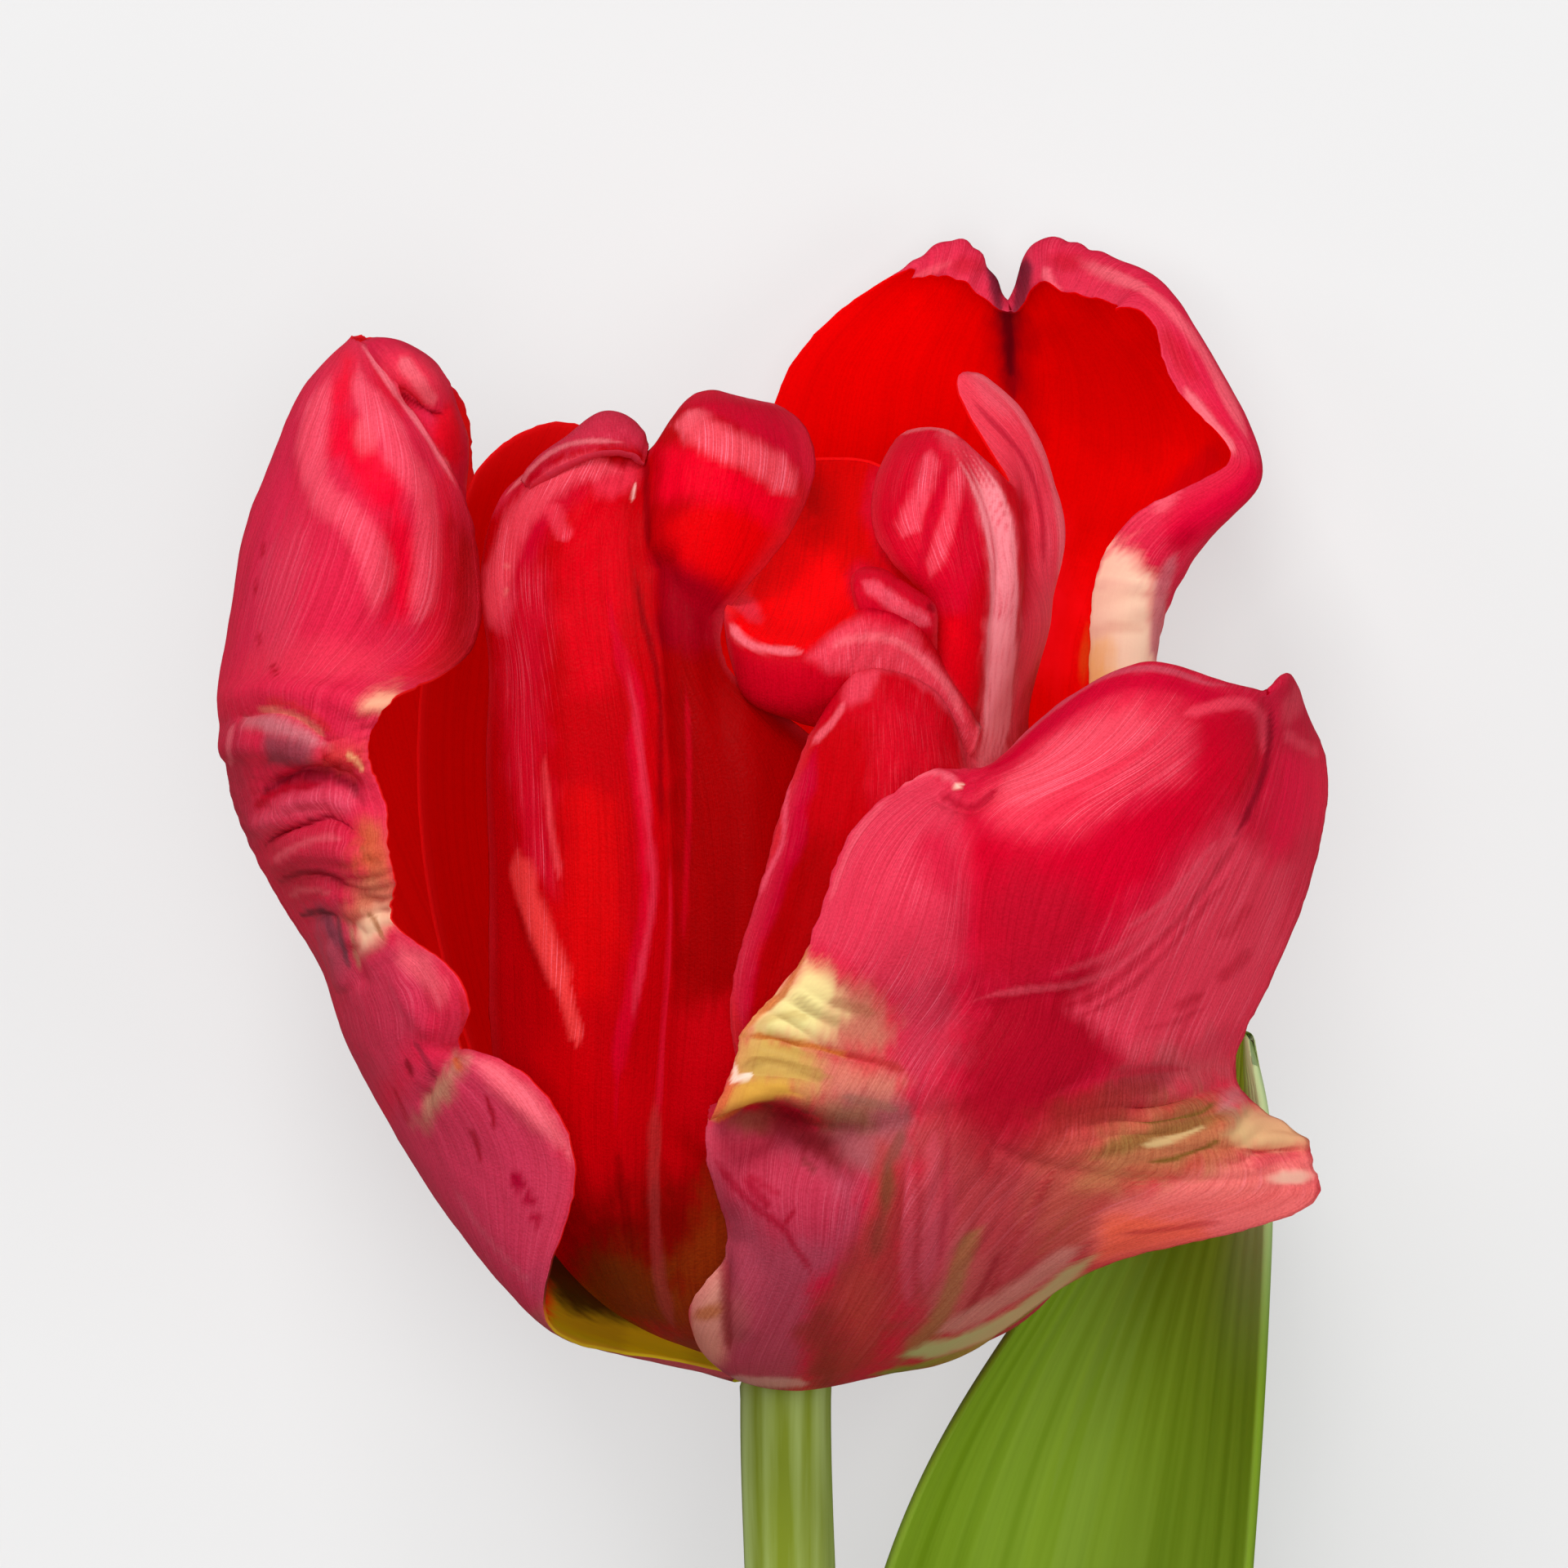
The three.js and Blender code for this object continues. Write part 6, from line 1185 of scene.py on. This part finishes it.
        (0.25, tint(214, 110, 128, 0.3), 0.3, [(-27, 17), (-24.6, 13), (-21.6, 9.6), (-19.6, 7.6)]),
    ]},
    "inner": {"base": scarlet, "rim": tint(240, 90, 90), "rimStrength": 0.3, "areas": [
        (1.2, tint(96, 30, 4), 0.9, [(-20, 9), (-18.8, 8.6), (-16.7, 7.4), (-14.9, 6.4), (-10, 6.4),
         (-6, 7), (-4, 9), (-8, 10), (-14, 9.4), (-19, 11)]),
        (0.8, tint(206, 212, 24), 0.95, [(-19.4, 7.8), (-17, 6.4), (-15, 5.4), (-11, 5), (-6, 4.6), (-3, 3),
         (-3, -1), (-20, -1)]),
        (0.8, tint(226, 232, 20), 0.95, [(-13.4, 4.2), (-10, 4.2), (-8, 3), (-8, 0.6), (-13, 1.4)]),
    ], "patches": [
        (-31, 82.5, 5, 2.6, -30, rose, 0.9), (-28.4, 76, 4, 1.6, 100, scarlet, 0.6),
    ], "strokes": [
        (2.0, tint(70, 38, 4), 0.95, [(-20.6, 11), (-19, 8.4), (-17, 6.8), (-14.6, 6), (-12, 5.6),
         (-9, 5.4)]),
    ]},
}
tepal("outer_tepal_left_petal", "outer_tepal_left", "outer_tepal", leftTepal)

# The outer tepal at the back right, seen from inside: a notch at its top and a rolled rim that turns cream
backTepal = {
    "thickness": 0.7, "teeth": 0.12, "unevenness": 0.06,
    "sheets": [{"across": 130, "along": 170, "rows": [
        [(4.2, 0.5, 0.4), (4.1, 0.2, -0.9), (3.5, 0.1, -2.3), (2.5, 0.1, -3.4), (1.2, 0.2, -4.05),
         (0, 0.3, -4.2), (-0.9, 0.5, -4.1)],
        [(10.4, 1.5, -0.4), (9.9, 1.3, -3.4), (8.6, 1.1, -6.2), (6.5, 1, -8.5), (3.8, 1.1, -10),
         (1.2, 1.3, -10.4), (-1.5, 1.8, -10)],
        [(18, 4.3, -1.8), (17.4, 3.9, -6.8), (15.2, 3.5, -11.8), (11.5, 3.3, -16.3), (6.8, 3.3, -19.2),
         (2, 3.8, -20), (-2.6, 5, -19)],
        [(24, 10.3, -4.8), (23, 9.8, -11.5), (20, 9.5, -18.5), (15, 9.5, -24.3), (9, 9.8, -27.8),
         (3, 10.8, -28.3), (-3.2, 12.6, -26.8)],
        [(28, 22, -11.5), (27, 21.5, -19), (23.3, 21, -27), (17.3, 20.5, -32.5), (10, 21, -35),
         (3, 22, -35), (-4.2, 24, -32.5)],
        [(28, 36, -13.5), (29, 35, -21), (26, 34, -30.5), (19.5, 33, -36.8), (11, 33, -39.3),
         (3, 34, -38.8), (-5, 36, -35.8)],
        [(25.5, 48, -15), (29.5, 47.5, -19), (28, 47, -29), (21.5, 46, -37.2), (12.5, 46, -39.9),
         (3.5, 47, -39.3), (-5.5, 48, -36.3)],
        [(25, 58.5, -16), (29.7, 58.5, -19), (29.2, 58.5, -28), (22.5, 58.5, -36.8), (13, 58.5, -39.9),
         (4, 59, -39), (-5, 60, -35.8)],
        [(25.4, 65, -15.5), (31, 64.5, -18.5), (31, 65, -28.5), (24, 65.3, -36.5), (14, 65, -39.4),
         (5, 65.5, -38.3), (-4.5, 66.5, -35)],
        [(29.3, 71.2, -15.5), (35, 69.9, -17.5), (34.2, 71, -27), (26, 71.5, -35.8), (15.5, 71, -38.5),
         (6.5, 71, -37.2), (-3.5, 71.5, -33.8)],
        [(36.6, 75.4, -18), (39, 74.2, -20), (36.4, 76, -28), (27, 77, -35), (17, 77, -37),
         (8, 76.5, -35.5), (-2, 76.5, -32)],
        [(32.6, 80.8, -20), (36.4, 81.2, -22), (33.7, 82.5, -29), (26, 83, -34), (18.3, 83, -35),
         (9, 82.5, -34.5), (0, 82.5, -31)],
        [(30.5, 86.3, -22), (32.5, 88.2, -25), (28.7, 88.7, -31), (23, 88, -33.5), (18.5, 86.3, -33),
         (11.5, 87.5, -33.5), (4.6, 88, -31.5)],
        [(28.5, 88, -22.5), (29.4, 90.6, -26), (25.3, 92.7, -29.5), (20.6, 93, -31), (18.6, 88, -31.5),
         (15.2, 93, -31.5), (10, 91.3, -30.5)],
        [(27.3, 87.9, -22), (27, 88.4, -23.5), (23.2, 89.6, -25.5), (20.7, 90, -27.5), (18.7, 87.4, -30),
         (14.6, 90.4, -28.4), (10.5, 90.6, -29.8)],
    ]}],
    "folds": [
        (0.9, 0.7, [(18.6, 90), (18.8, 86), (19.2, 81), (19.4, 76), (19.2, 70)]),
        (1.4, -0.3, [(12, 92), (13, 88), (15, 86)]), (1.2, -0.4, [(23, 93), (22.6, 89), (21.4, 86.5)]),
    ],
    "wrinkles": [
        (15, 91, 3, 4, 70, 1.9, 0.2, 0.5), (24, 91, 5, 4, 85, 2.6, 0.14, 0.2),
        (29, 65, 4, 6, -12, 2.2, 0.1, 0.1), (18, 75, 20, 20, 88, 4.6, 0.05, 0.1),
    ],
    "outer": {"base": tint(226, 40, 80, 0.15), "rim": tint(244, 110, 130), "rimStrength": 0.25, "areas": [
        (0.8, tint(228, 2, 62), 0.9, [(36.4, 76), (39.4, 74.6), (38, 72), (35.4, 69.8), (32.6, 68),
         (31, 69.6), (32, 72), (34.4, 74.6)]),
        (1.3, tint(255, 246, 212), 0.95, [(24.4, 68), (26.6, 68.8), (28.8, 67.4), (30.2, 65), (30.4, 61),
         (30.4, 55), (24, 55), (23.8, 63)]),
        (1.3, tint(250, 214, 118), 0.85, [(24, 60), (26, 59.8), (27, 58), (27.4, 55), (24, 55)]),
    ], "patches": [
        # A painted highlight on the rolled rim
        (12, 89.4, 3, 0.6, 12, tint(250, 116, 134, 0.2), 0.85),
        (11, 90.4, 2, 0.6, 22, tint(204, 0, 42), 0.8), (14.7, 91.6, 1.4, 0.8, 0, tint(204, 0, 40), 0.8),
        (8, 88.6, 3, 0.6, 25, tint(206, 10, 50), 0.6), (23.1, 91.8, 1.8, 0.9, -10, tint(204, 0, 42), 0.85),
        # The second here is a painted highlight on the rolled rim
        (32.4, 84, 3, 0.9, -55, tint(206, 0, 40), 0.8), (27, 90.6, 3, 0.6, -25, tint(236, 120, 132), 0.7),
        (31.2, 72, 1.4, 0.7, 50, tint(250, 110, 130), 0.8), (32.4, 69, 1.6, 0.8, 45, tint(206, 0, 50), 0.8),
        (36, 78, 3, 0.8, -62, tint(226, 20, 66), 0.6),
    ], "strokes": [
        (0.5, tint(104, 16, 46), 0.9, [(16.6, 92.4), (17.1, 90.6), (17.4, 88.8), (18, 87.2)]),
        (0.6, tint(104, 16, 46), 0.9, [(20.2, 92.6), (20, 90.4), (19.6, 88.6), (19, 86.8)]),
        # Painted highlights along the rolled rim
        (0.45, tint(248, 120, 138), 0.8, [(21.4, 91.6), (22, 90), (23, 88.6)]),
        (0.45, tint(246, 112, 130), 0.8, [(24.9, 92.2), (27.9, 90.3), (30.9, 88.4), (33.4, 85.5),
         (35.2, 82.5), (37, 79), (38.6, 75.4)]),
        (0.5, tint(250, 138, 150), 0.85, [(32.6, 81.6), (34, 79.8), (35.4, 78), (37.4, 75.4)]),
        (0.4, tint(240, 96, 116), 0.7, [(2, 85), (5, 87.6), (9, 89.6), (12.6, 91.4), (15, 92.2)]),
        (0.6, tint(214, 128, 142, 0.2), 0.8, [(32.4, 68.6), (31, 65.6), (30.4, 62.4), (30.2, 58)]),
        (0.5, tint(236, 206, 180), 0.6, [(24.6, 64.4), (26.6, 65.2), (29.6, 64.8)]),
        (0.5, tint(238, 208, 176), 0.6, [(24.6, 60.8), (26.8, 61.6), (29.8, 61.4)]),
        (0.25, tint(240, 120, 124), 0.7, [(29.6, 69.6), (28.2, 69), (26.4, 67.6), (25, 65)]),
    ]},
    "inner": {"base": tint(242, 0, 0), "rim": tint(240, 30, 40), "rimStrength": 0.15, "areas": [
        (2.5, tint(226, 0, 0), 0.85, [(21, 88), (26, 88), (31, 84), (33, 77), (29, 74), (25, 78), (21, 82)]),
        # A brighter patch with a painted glow
        (2.5, tint(255, 20, 36, -0.3), 0.7, [(19, 70), (23, 70), (24.4, 64), (23, 57), (19, 58)]),
        (0.8, tint(214, 178, 148, 0.1), 0.95, [(3, -1), (29, -1), (30, 15), (25, 13), (20, 10.8), (12, 9),
         (3, 8)]),
    ], "patches": [
        (8, 16, 12, 5, 0, darkOlive, 0.7), (34, 74, 4, 1.4, 45, crimson, 0.6),
        (25.2, 59.4, 2.4, 0.5, 85, orange, 0.5), (18.5, 87.4, 0.8, 0.8, 0, tint(250, 70, 30), 0.8),
        (20, 92, 3, 2, 0, tint(150, 10, 50), 0.5),
    ], "strokes": [
        # Painted shade along the fold below the notch
        (2.2, tint(200, 0, 10), 0.6, [(18.5, 90), (18.8, 86), (19.4, 81), (20, 74)]),
        (1.1, tint(150, 0, 24), 0.7, [(18.4, 90), (18.5, 87), (18.7, 84), (19, 80)]),
        (0.6, tint(110, 4, 26), 0.8, [(18.3, 89), (18.5, 86.4), (18.6, 84), (18.7, 82)]),
        (0.9, tint(172, 172, 122), 0.9, [(14, 4.4), (18, 6.4), (21, 8.6), (24.6, 11.6)]),
        (0.5, tint(140, 146, 54), 0.9, [(6, 1), (11.4, 2), (14.8, 3), (18.7, 4.6), (21.4, 6.8),
         (24.4, 9.8)]),
        (0.5, tint(184, 120, 108), 0.7, [(12, 5), (16, 7), (20, 9.6)]),
        (0.3, tint(120, 100, 66), 0.6, [(14, 3.8), (17.4, 5.2), (20.6, 7.4)]),
    ]},
}
tepal("outer_tepal_back_petal", "outer_tepal_back", "outer_tepal", backTepal)

# The inner tepal at the back left, which shows its inside between the others
backInnerTepal = {
    "thickness": 0.7, "teeth": 0.1, "unevenness": 0.06,
    "sheets": [{"across": 80, "along": 110, "rows": [
        [(1, 1.5, -3.1), (0.2, 1.4, -3.2), (-0.7, 1.3, -3.2), (-1.6, 1.3, -2.9), (-2.4, 1.3, -2.4),
         (-3, 1.3, -1.6), (-3.2, 1.4, -0.7)],
        [(2.4, 3.8, -8.4), (0.2, 3.3, -9.6), (-2.3, 3, -10.2), (-4.8, 2.9, -9.7), (-6.8, 3, -8.1),
         (-8, 3.2, -5.6), (-8.5, 3.8, -3.2)],
        [(4, 8, -14.8), (-0.2, 6.8, -17.2), (-5, 6.2, -17.8), (-9.6, 6, -16.3), (-13, 6.3, -12.6),
         (-15, 7, -8.2), (-15.8, 8.2, -3.6)],
        [(5.5, 15, -19.5), (0.3, 13.8, -22.3), (-6, 13.2, -23), (-12, 13.2, -21.2), (-17, 13.5, -16.2),
         (-20, 14.2, -9.8), (-21.2, 15.2, -2.5)],
        [(7, 26, -22), (0.8, 25.5, -26), (-6.5, 25, -27.8), (-13.5, 25, -26), (-20.2, 25.3, -20.5),
         (-24.4, 26, -12.2), (-25.8, 27, -2.5)],
        [(8.5, 39, -22.5), (1.5, 38, -28), (-6.5, 38, -30.5), (-14.5, 38, -29), (-22.5, 38, -23),
         (-27.5, 38.5, -13), (-29, 39, -2)],
        [(10, 52, -21), (2.5, 51, -27.5), (-6.5, 51, -30.5), (-15, 51, -29), (-23.5, 51, -22.5),
         (-28.5, 51, -12.5), (-30, 51, -2)],
        [(11, 63, -18.5), (3.5, 62.5, -25), (-5.5, 62.5, -28.5), (-14.5, 62.5, -27), (-22.5, 62.5, -20.5),
         (-27.5, 62, -11.5), (-29, 61.5, -2.5)],
        [(10.5, 70.5, -15), (4, 71, -21), (-5, 72, -24.5), (-14, 72, -23), (-21.5, 71.5, -17),
         (-25.8, 70.5, -9.5), (-27, 69, -3)],
        [(8.5, 73.8, -12), (4, 74.8, -17), (-4, 75.6, -20), (-11.5, 75.6, -19), (-18, 78.4, -15.5),
         (-24, 75.8, -9), (-26.2, 72, -4.5)],
    ]}],
    "folds": [],
    "wrinkles": [(-6, 50, 30, 20, 88, 4.8, 0.06, 0.1)],
    "outer": {"base": crimson, "rim": tint(250, 120, 140), "rimStrength": 0.3, "areas": [], "patches": [
        (-6, 30, 26, 2, 90, rose, 0.5), (-5, 8, 12, 5, 0, paleGreen, 0.5),
    ], "strokes": []},
    "inner": {"base": scarlet, "rim": tint(250, 60, 70), "rimStrength": 0.3, "areas": [
        (0.5, tint(208, 0, 0), 0.9, [(2, 74.4), (8.6, 73.2), (8.6, 70), (3, 70.6)]),
    ], "patches": [
        (-5, 6, 12, 8, 0, yellow, 0.8), (-5, 14, 12, 6, 0, darkOlive, 0.7),
    ], "strokes": []},
}
tepal("inner_tepal_back_petal", "inner_tepal_back", "inner_tepal", backInnerTepal)


def ringAt(ring, centre, direction, radiusAt):
    # Moves a ring of vertices round a centre, square to a direction.
    side = Vector((1, 0, 0))
    rise = direction.cross(side).normalized()
    side = rise.cross(direction).normalized()
    for k, vertex in enumerate(ring):
        angle = 2 * math.pi * k / len(ring)
        radius = radiusAt(angle) * mm
        vertex.co = centre + side * radius * math.cos(angle) + rise * radius * math.sin(angle)


def tube(name, rings, sides):
    # A closed tube through rings, each a centre, a direction and a radius round it in millimetres.
    form = bmesh.new()
    first = bmesh.ops.create_circle(form, cap_ends=False, segments=sides, radius=1)["verts"]
    ringAt(first, *rings[0])
    ring = first
    edges = list(form.edges)
    for centre, direction, radiusAt in rings[1:]:
        grown = bmesh.ops.extrude_edge_only(form, edges=edges)["geom"]
        newVerts = {part for part in grown if isinstance(part, bmesh.types.BMVert)}
        newEdges = [part for part in grown if isinstance(part, bmesh.types.BMEdge)]
        edges = [edge for edge in newEdges if newVerts.issuperset(edge.verts)]
        partner = {edge.other_vert(vertex): vertex for vertex in newVerts for edge in vertex.link_edges}
        ring = [partner[vertex] for vertex in ring]  # in the order of the ring before it
        ringAt(ring, centre, direction, radiusAt)
    for loop in (first, ring):
        bmesh.ops.contextual_create(form, geom=loop)
    caps = [face for face in form.faces if len(face.verts) > 4]
    bmesh.ops.poke(form, faces=caps)
    bmesh.ops.recalc_face_normals(form, faces=form.faces)
    return meshOf(form, name)


def plantSkin(name, look):
    material = newSkin(name)
    tree = material.node_tree
    places = addNode(tree, "ShaderNodeTexCoord", {}).outputs
    fibres = grain(tree, places[look["map"]], look["stretch"], look["grainScale"], 4)
    tones = addNode(tree, "ShaderNodeValToRGB", {"Fac": fibres})
    darkEnd, paleEnd = tones.color_ramp.elements
    darkEnd.position, paleEnd.position = 0.35, 0.65
    darkEnd.color, paleEnd.color = opaque(look["dark"]), opaque(look["pale"])
    shade = tones.outputs["Color"]
    if "margin" in look:  # a pale band along the first edge of the map, near its end
        parts = addNode(tree, "ShaderNodeSeparateXYZ", {"Vector": places["UV"]}).outputs
        nearEdge = ramp(tree, parts["X"], 0.05, 0.3, 0.95, 0)
        nearEnd = ramp(tree, parts["Y"], 0.56, 0.8, 0, 1)
        band = maths(tree, "MULTIPLY", nearEdge, nearEnd)
        shade = blend(tree, "MIX", band, shade, opaque(look["margin"]))
    bump = {"Strength": look["ridge"], "Distance": 0.1 * mm, "Height": fibres}
    skin = addNode(tree, "ShaderNodeBsdfPrincipled", {
        "Base Color": shade, "Normal": addNode(tree, "ShaderNodeBump", bump).outputs["Normal"],
        "Roughness": look["roughness"], "Specular IOR Level": look["gloss"],
    })
    addNode(tree, "ShaderNodeOutputMaterial", {"Surface": skin.outputs["BSDF"]})
    return material


# The stem: the receptacle by heights and radii, then a line of places, from lineFrom down to the cut end
stemLook = {
    "receptacle": [(1.85, 1), (1.55, 1.9), (1.1, 2.6), (0.6, 3.1), (0.1, 3.55), (-0.5, 3.75)],
    "line": [(0, 2, 0), (0, -6, 0), (0.5, -20, -0.5), (1.6, -50, -3.6), (2.4, -95, -13), (1.8, -145, -26.5),
             (0.4, -185, -35), (0, -200, -36.25)],
    "lineFrom": -1.5, "radius": 3.75, "ribs": 9, "ribDepth": 0.04, "sides": 72, "steps": 160,
    "skin": {
        "map": "Object", "stretch": (1, 0.05, 1), "grainScale": 520, "ridge": 0.15,
        "dark": tint(106, 120, 14), "pale": tint(142, 158, 88), "roughness": 0.5, "gloss": 0.35,
    },
}


def buildStem():
    def ribbed(angle):
        return stemLook["radius"] + stemLook["ribDepth"] * (math.cos(stemLook["ribs"] * angle) - 1)

    rings = []
    for height, radius in stemLook["receptacle"]:
        rings.append((placed((0, height, 0)), Vector((0, -1, 0)), lambda angle, r=radius: r))
    line = [placed(point) for point in smoothAlong(np.array(stemLook["line"], float), stemLook["steps"])]
    top = placed((0, stemLook["lineFrom"], 0)).y
    for before, here, after in zip(line, line[1:], line[2:] + [line[-1]]):
        if here.y <= top:
            rings.append((here, (after - before).normalized(), ribbed))
    mesh = tube("stem_skin", rings, stemLook["sides"])
    settle(mesh, "stem", "stem", plantSkin("stem skin", stemLook["skin"]))


buildStem()
print("stem grown")

# The leaf, from its foot round the stem to its tip behind the bloom
leafLook = {
    "across": 90, "along": 320, "thickness": 0.8, "ribs": 15, "ribHeight": 0.035,
    "rows": [
        [(5.3, -120.9, -16.3), (6.9, -120, -19.7), (5.3, -119.1, -23.1), (1.5, -118.8, -24.2),
         (-1.7, -119.4, -22)],
        [(12.3, -109, -13.5), (11.9, -108, -19.5), (7.2, -107.5, -23.8), (0.8, -107.5, -23.2),
         (-3.3, -108.5, -17)],
        [(24, -86, -9.5), (19.5, -86, -19), (10.5, -86, -23.8), (1, -85, -20.5), (-4.8, -84, -12.5)],
        [(34, -50, -12.5), (26.5, -50.5, -21), (16.5, -51, -24.5), (7, -50, -21), (1, -49, -15.5)],
        [(38.2, -15, -14), (32.5, -15, -21.5), (23.5, -15.5, -25), (14.8, -15, -22.5), (8.8, -15, -17)],
        [(39.5, 6, -16), (35.5, 6, -23), (29.7, 6, -26), (24, 6, -25), (20, 5.5, -22)],
        [(39.8, 18, -19), (38, 18.5, -24), (34.8, 18.5, -27), (31.5, 18.5, -27), (28.5, 18.5, -26)],
        [(39.1, 24.3, -23.2), (38.3, 24.8, -25.3), (37.1, 25, -26.8), (35.9, 24.8, -27.3),
         (34.5, 24.4, -27.4)],
        [(38.5, 27.4, -25.2), (38.3, 27.9, -25.8), (38, 28.2, -26.4), (37.6, 28, -26.8), (37, 27.4, -27.1)],
    ],
    "skin": {
        "map": "UV", "stretch": (24, 3.5, 1), "grainScale": 1, "ridge": 0.15,
        "dark": tint(103, 133, 20), "pale": tint(120, 150, 36), "roughness": 0.45, "gloss": 0.2,
        "margin": tint(188, 208, 150),
    },
}


def buildLeaf():
    points = sheetThrough(leafLook["rows"], leafLook["across"], leafLook["along"])
    u = acrossAndAlong(points)[0]
    ribs = leafLook["ribHeight"] * np.cos(2 * math.pi * leafLook["ribs"] * u)
    points += outwardsOf(points) * ribs[..., None]
    form = bmesh.new()
    form.loops.layers.uv.new("growth")
    addGrid(form, points)
    piece = settle(meshOf(form, "leaf_blade"), "leaf", "leaf", plantSkin("leaf skin", leafLook["skin"]))
    addWall(piece, leafLook["thickness"])


buildLeaf()
print("leaf grown")

# The pistil: height, radius and depth of its three lobes
pistilLook = {
    "profile": [(2.4, 0.8, 0), (4, 1.4, 0.06), (6.5, 2.2, 0.1), (10, 2.9, 0.12), (16, 3.2, 0.14),
                (22, 2.8, 0.14), (24.5, 2.4, 0.18), (26.5, 3.4, 0.28), (28, 4.4, 0.34), (29, 4.2, 0.34),
                (29.6, 2.4, 0.2)],
    "lobes": 3, "sides": 72, "steps": 60,
    "skin": {
        "map": "Object", "stretch": (1, 0.3, 1), "grainScale": 1200, "ridge": 0.3,
        "dark": tint(150, 165, 80), "pale": tint(214, 214, 150), "roughness": 0.5, "gloss": 0.3,
    },
}


def buildPistil():
    rings = []
    for height, radius, depth in smoothAlong(np.array(pistilLook["profile"], float), pistilLook["steps"]):
        lobed = lambda angle, r=radius, d=depth: r * (1 + d * math.cos(pistilLook["lobes"] * angle))
        rings.append((placed((0, height, 0)), Vector((0, 1, 0)), lobed))
    mesh = tube("pistil_skin", rings, pistilLook["sides"])
    settle(mesh, "pistil", "pistil", plantSkin("pistil skin", pistilLook["skin"]))


buildPistil()

# The stamens: distance along and radius. The anther starts at antherFrom and has a groove on either side.
stamenLook = {
    "profile": [(0, 0.55), (3, 0.6), (7, 0.5), (9.5, 0.4), (10.3, 1.1), (12, 1.5), (16, 1.6), (20, 1.4),
                (22.5, 0.8)],
    "antherFrom": 10.3, "grooveDepth": 0.16,
    "count": 6, "lean": 0.34, "footRadius": 2.1, "footHeight": 2.2, "sides": 32, "steps": 48,
    "skin": {
        "map": "Object", "stretch": (1, 1, 1), "grainScale": 4000, "ridge": 0.8,
        "dark": tint(28, 16, 30), "pale": tint(74, 52, 66), "roughness": 0.8, "gloss": 0.2,
    },
}


def buildStamens():
    stamenSkin = plantSkin("stamen skin", stamenLook["skin"])
    for k in range(stamenLook["count"]):
        turn = 2 * math.pi * (k + 0.5) / stamenLook["count"]
        out = np.array((math.cos(turn), 0, math.sin(turn)))
        foot = placed(out * stamenLook["footRadius"] + (0, stamenLook["footHeight"], 0))
        rise = Vector(out * stamenLook["lean"] + (0, 1, 0)).normalized()
        rings = []
        for along, radius in smoothAlong(np.array(stamenLook["profile"], float), stamenLook["steps"]):
            groove = stamenLook["grooveDepth"] if along > stamenLook["antherFrom"] else 0
            shaped = lambda angle, r=radius, g=groove: r * (1 - g * abs(math.cos(angle)) ** 6)
            rings.append((foot + rise * along * mm, rise, shaped))
        mesh = tube(f"stamen_skin_{k + 1}", rings, stamenLook["sides"])
        settle(mesh, f"stamen_{k + 1}", "stamen", stamenSkin)


buildStamens()
print("pistil and stamens grown")

# The camera looks straight down. The frame's width and centre are in millimetres, from the bloom's foot, and
# the lights, the floor and the farthest thing seen are in metres.
studio = {
    "lens": 500, "sensor": 36, "farthest": 50, "frameWidth": 128, "centre": (-0.13, 48.67),
    "world": 0.1, "floorReach": 3, "floorDrop": 0.00002, "floorGlow": 0.535, "floorShade": 0.22,
    "lights": [  # place from the frame's centre, size, power and whether it shows in the gloss
        ((-0.35, 1.0, 1.0), 0.55, 16, True), ((-0.1, 0.1, 1.7), 0.9, 21, False),
        ((-1.2, 0.3, 1.0), 0.5, 4, True), ((1.1, -0.35, 1.0), 0.8, 9, False),
    ],
}


def buildFloor():
    form = bmesh.new()
    bmesh.ops.create_grid(form, x_segments=4, y_segments=4, size=studio["floorReach"])
    bmesh.ops.translate(form, verts=form.verts, vec=(0, 0, -studio["floorDrop"]))
    paper = newSkin("floor paper")
    shade = studio["floorShade"]
    finish = addNode(paper.node_tree, "ShaderNodeBsdfPrincipled", {
        "Base Color": (shade, shade, shade, 1), "Roughness": 0.9, "Specular IOR Level": 0.1,
        "Emission Color": (1, 1, 1, 1), "Emission Strength": studio["floorGlow"],
    })
    addNode(paper.node_tree, "ShaderNodeOutputMaterial", {"Surface": finish.outputs["BSDF"]})
    floor = bpy.data.objects.new("floor", meshOf(form, "floor"))
    floor.data.materials.append(paper)
    floor.visible_glossy = False
    bpy.context.scene.collection.objects.link(floor)


def buildStudio():
    scene = bpy.context.scene
    scene.view_settings.view_transform = "Standard"
    world = bpy.data.worlds.new("studio air")
    world.use_nodes = True
    world.node_tree.nodes["Background"].inputs["Color"].default_value = (1, 1, 1, 1)
    world.node_tree.nodes["Background"].inputs["Strength"].default_value = studio["world"]
    scene.world = world
    buildFloor()

    middle = placed((*studio["centre"], 0))
    for k, (place, size, power, inGloss) in enumerate(studio["lights"]):
        lamp = bpy.data.lights.new(f"softbox {k + 1}", "AREA")
        lamp.shape = "SQUARE"
        lamp.size = size
        lamp.energy = power
        light = bpy.data.objects.new(lamp.name, lamp)
        light.location = middle + Vector(place)
        light.rotation_mode = "QUATERNION"
        light.rotation_quaternion = Vector(place).to_track_quat("Z", "Y")
        light.visible_glossy = inGloss
        scene.collection.objects.link(light)

    lens = bpy.data.cameras.new("camera")
    lens.lens = studio["lens"]
    lens.sensor_width = studio["sensor"]
    lens.clip_end = studio["farthest"]
    camera = bpy.data.objects.new("camera", lens)
    distance = studio["frameWidth"] * mm * studio["lens"] / studio["sensor"]
    camera.location = middle + Vector((0, 0, distance))
    scene.collection.objects.link(camera)
    scene.camera = camera


buildStudio()
print("studio set up")
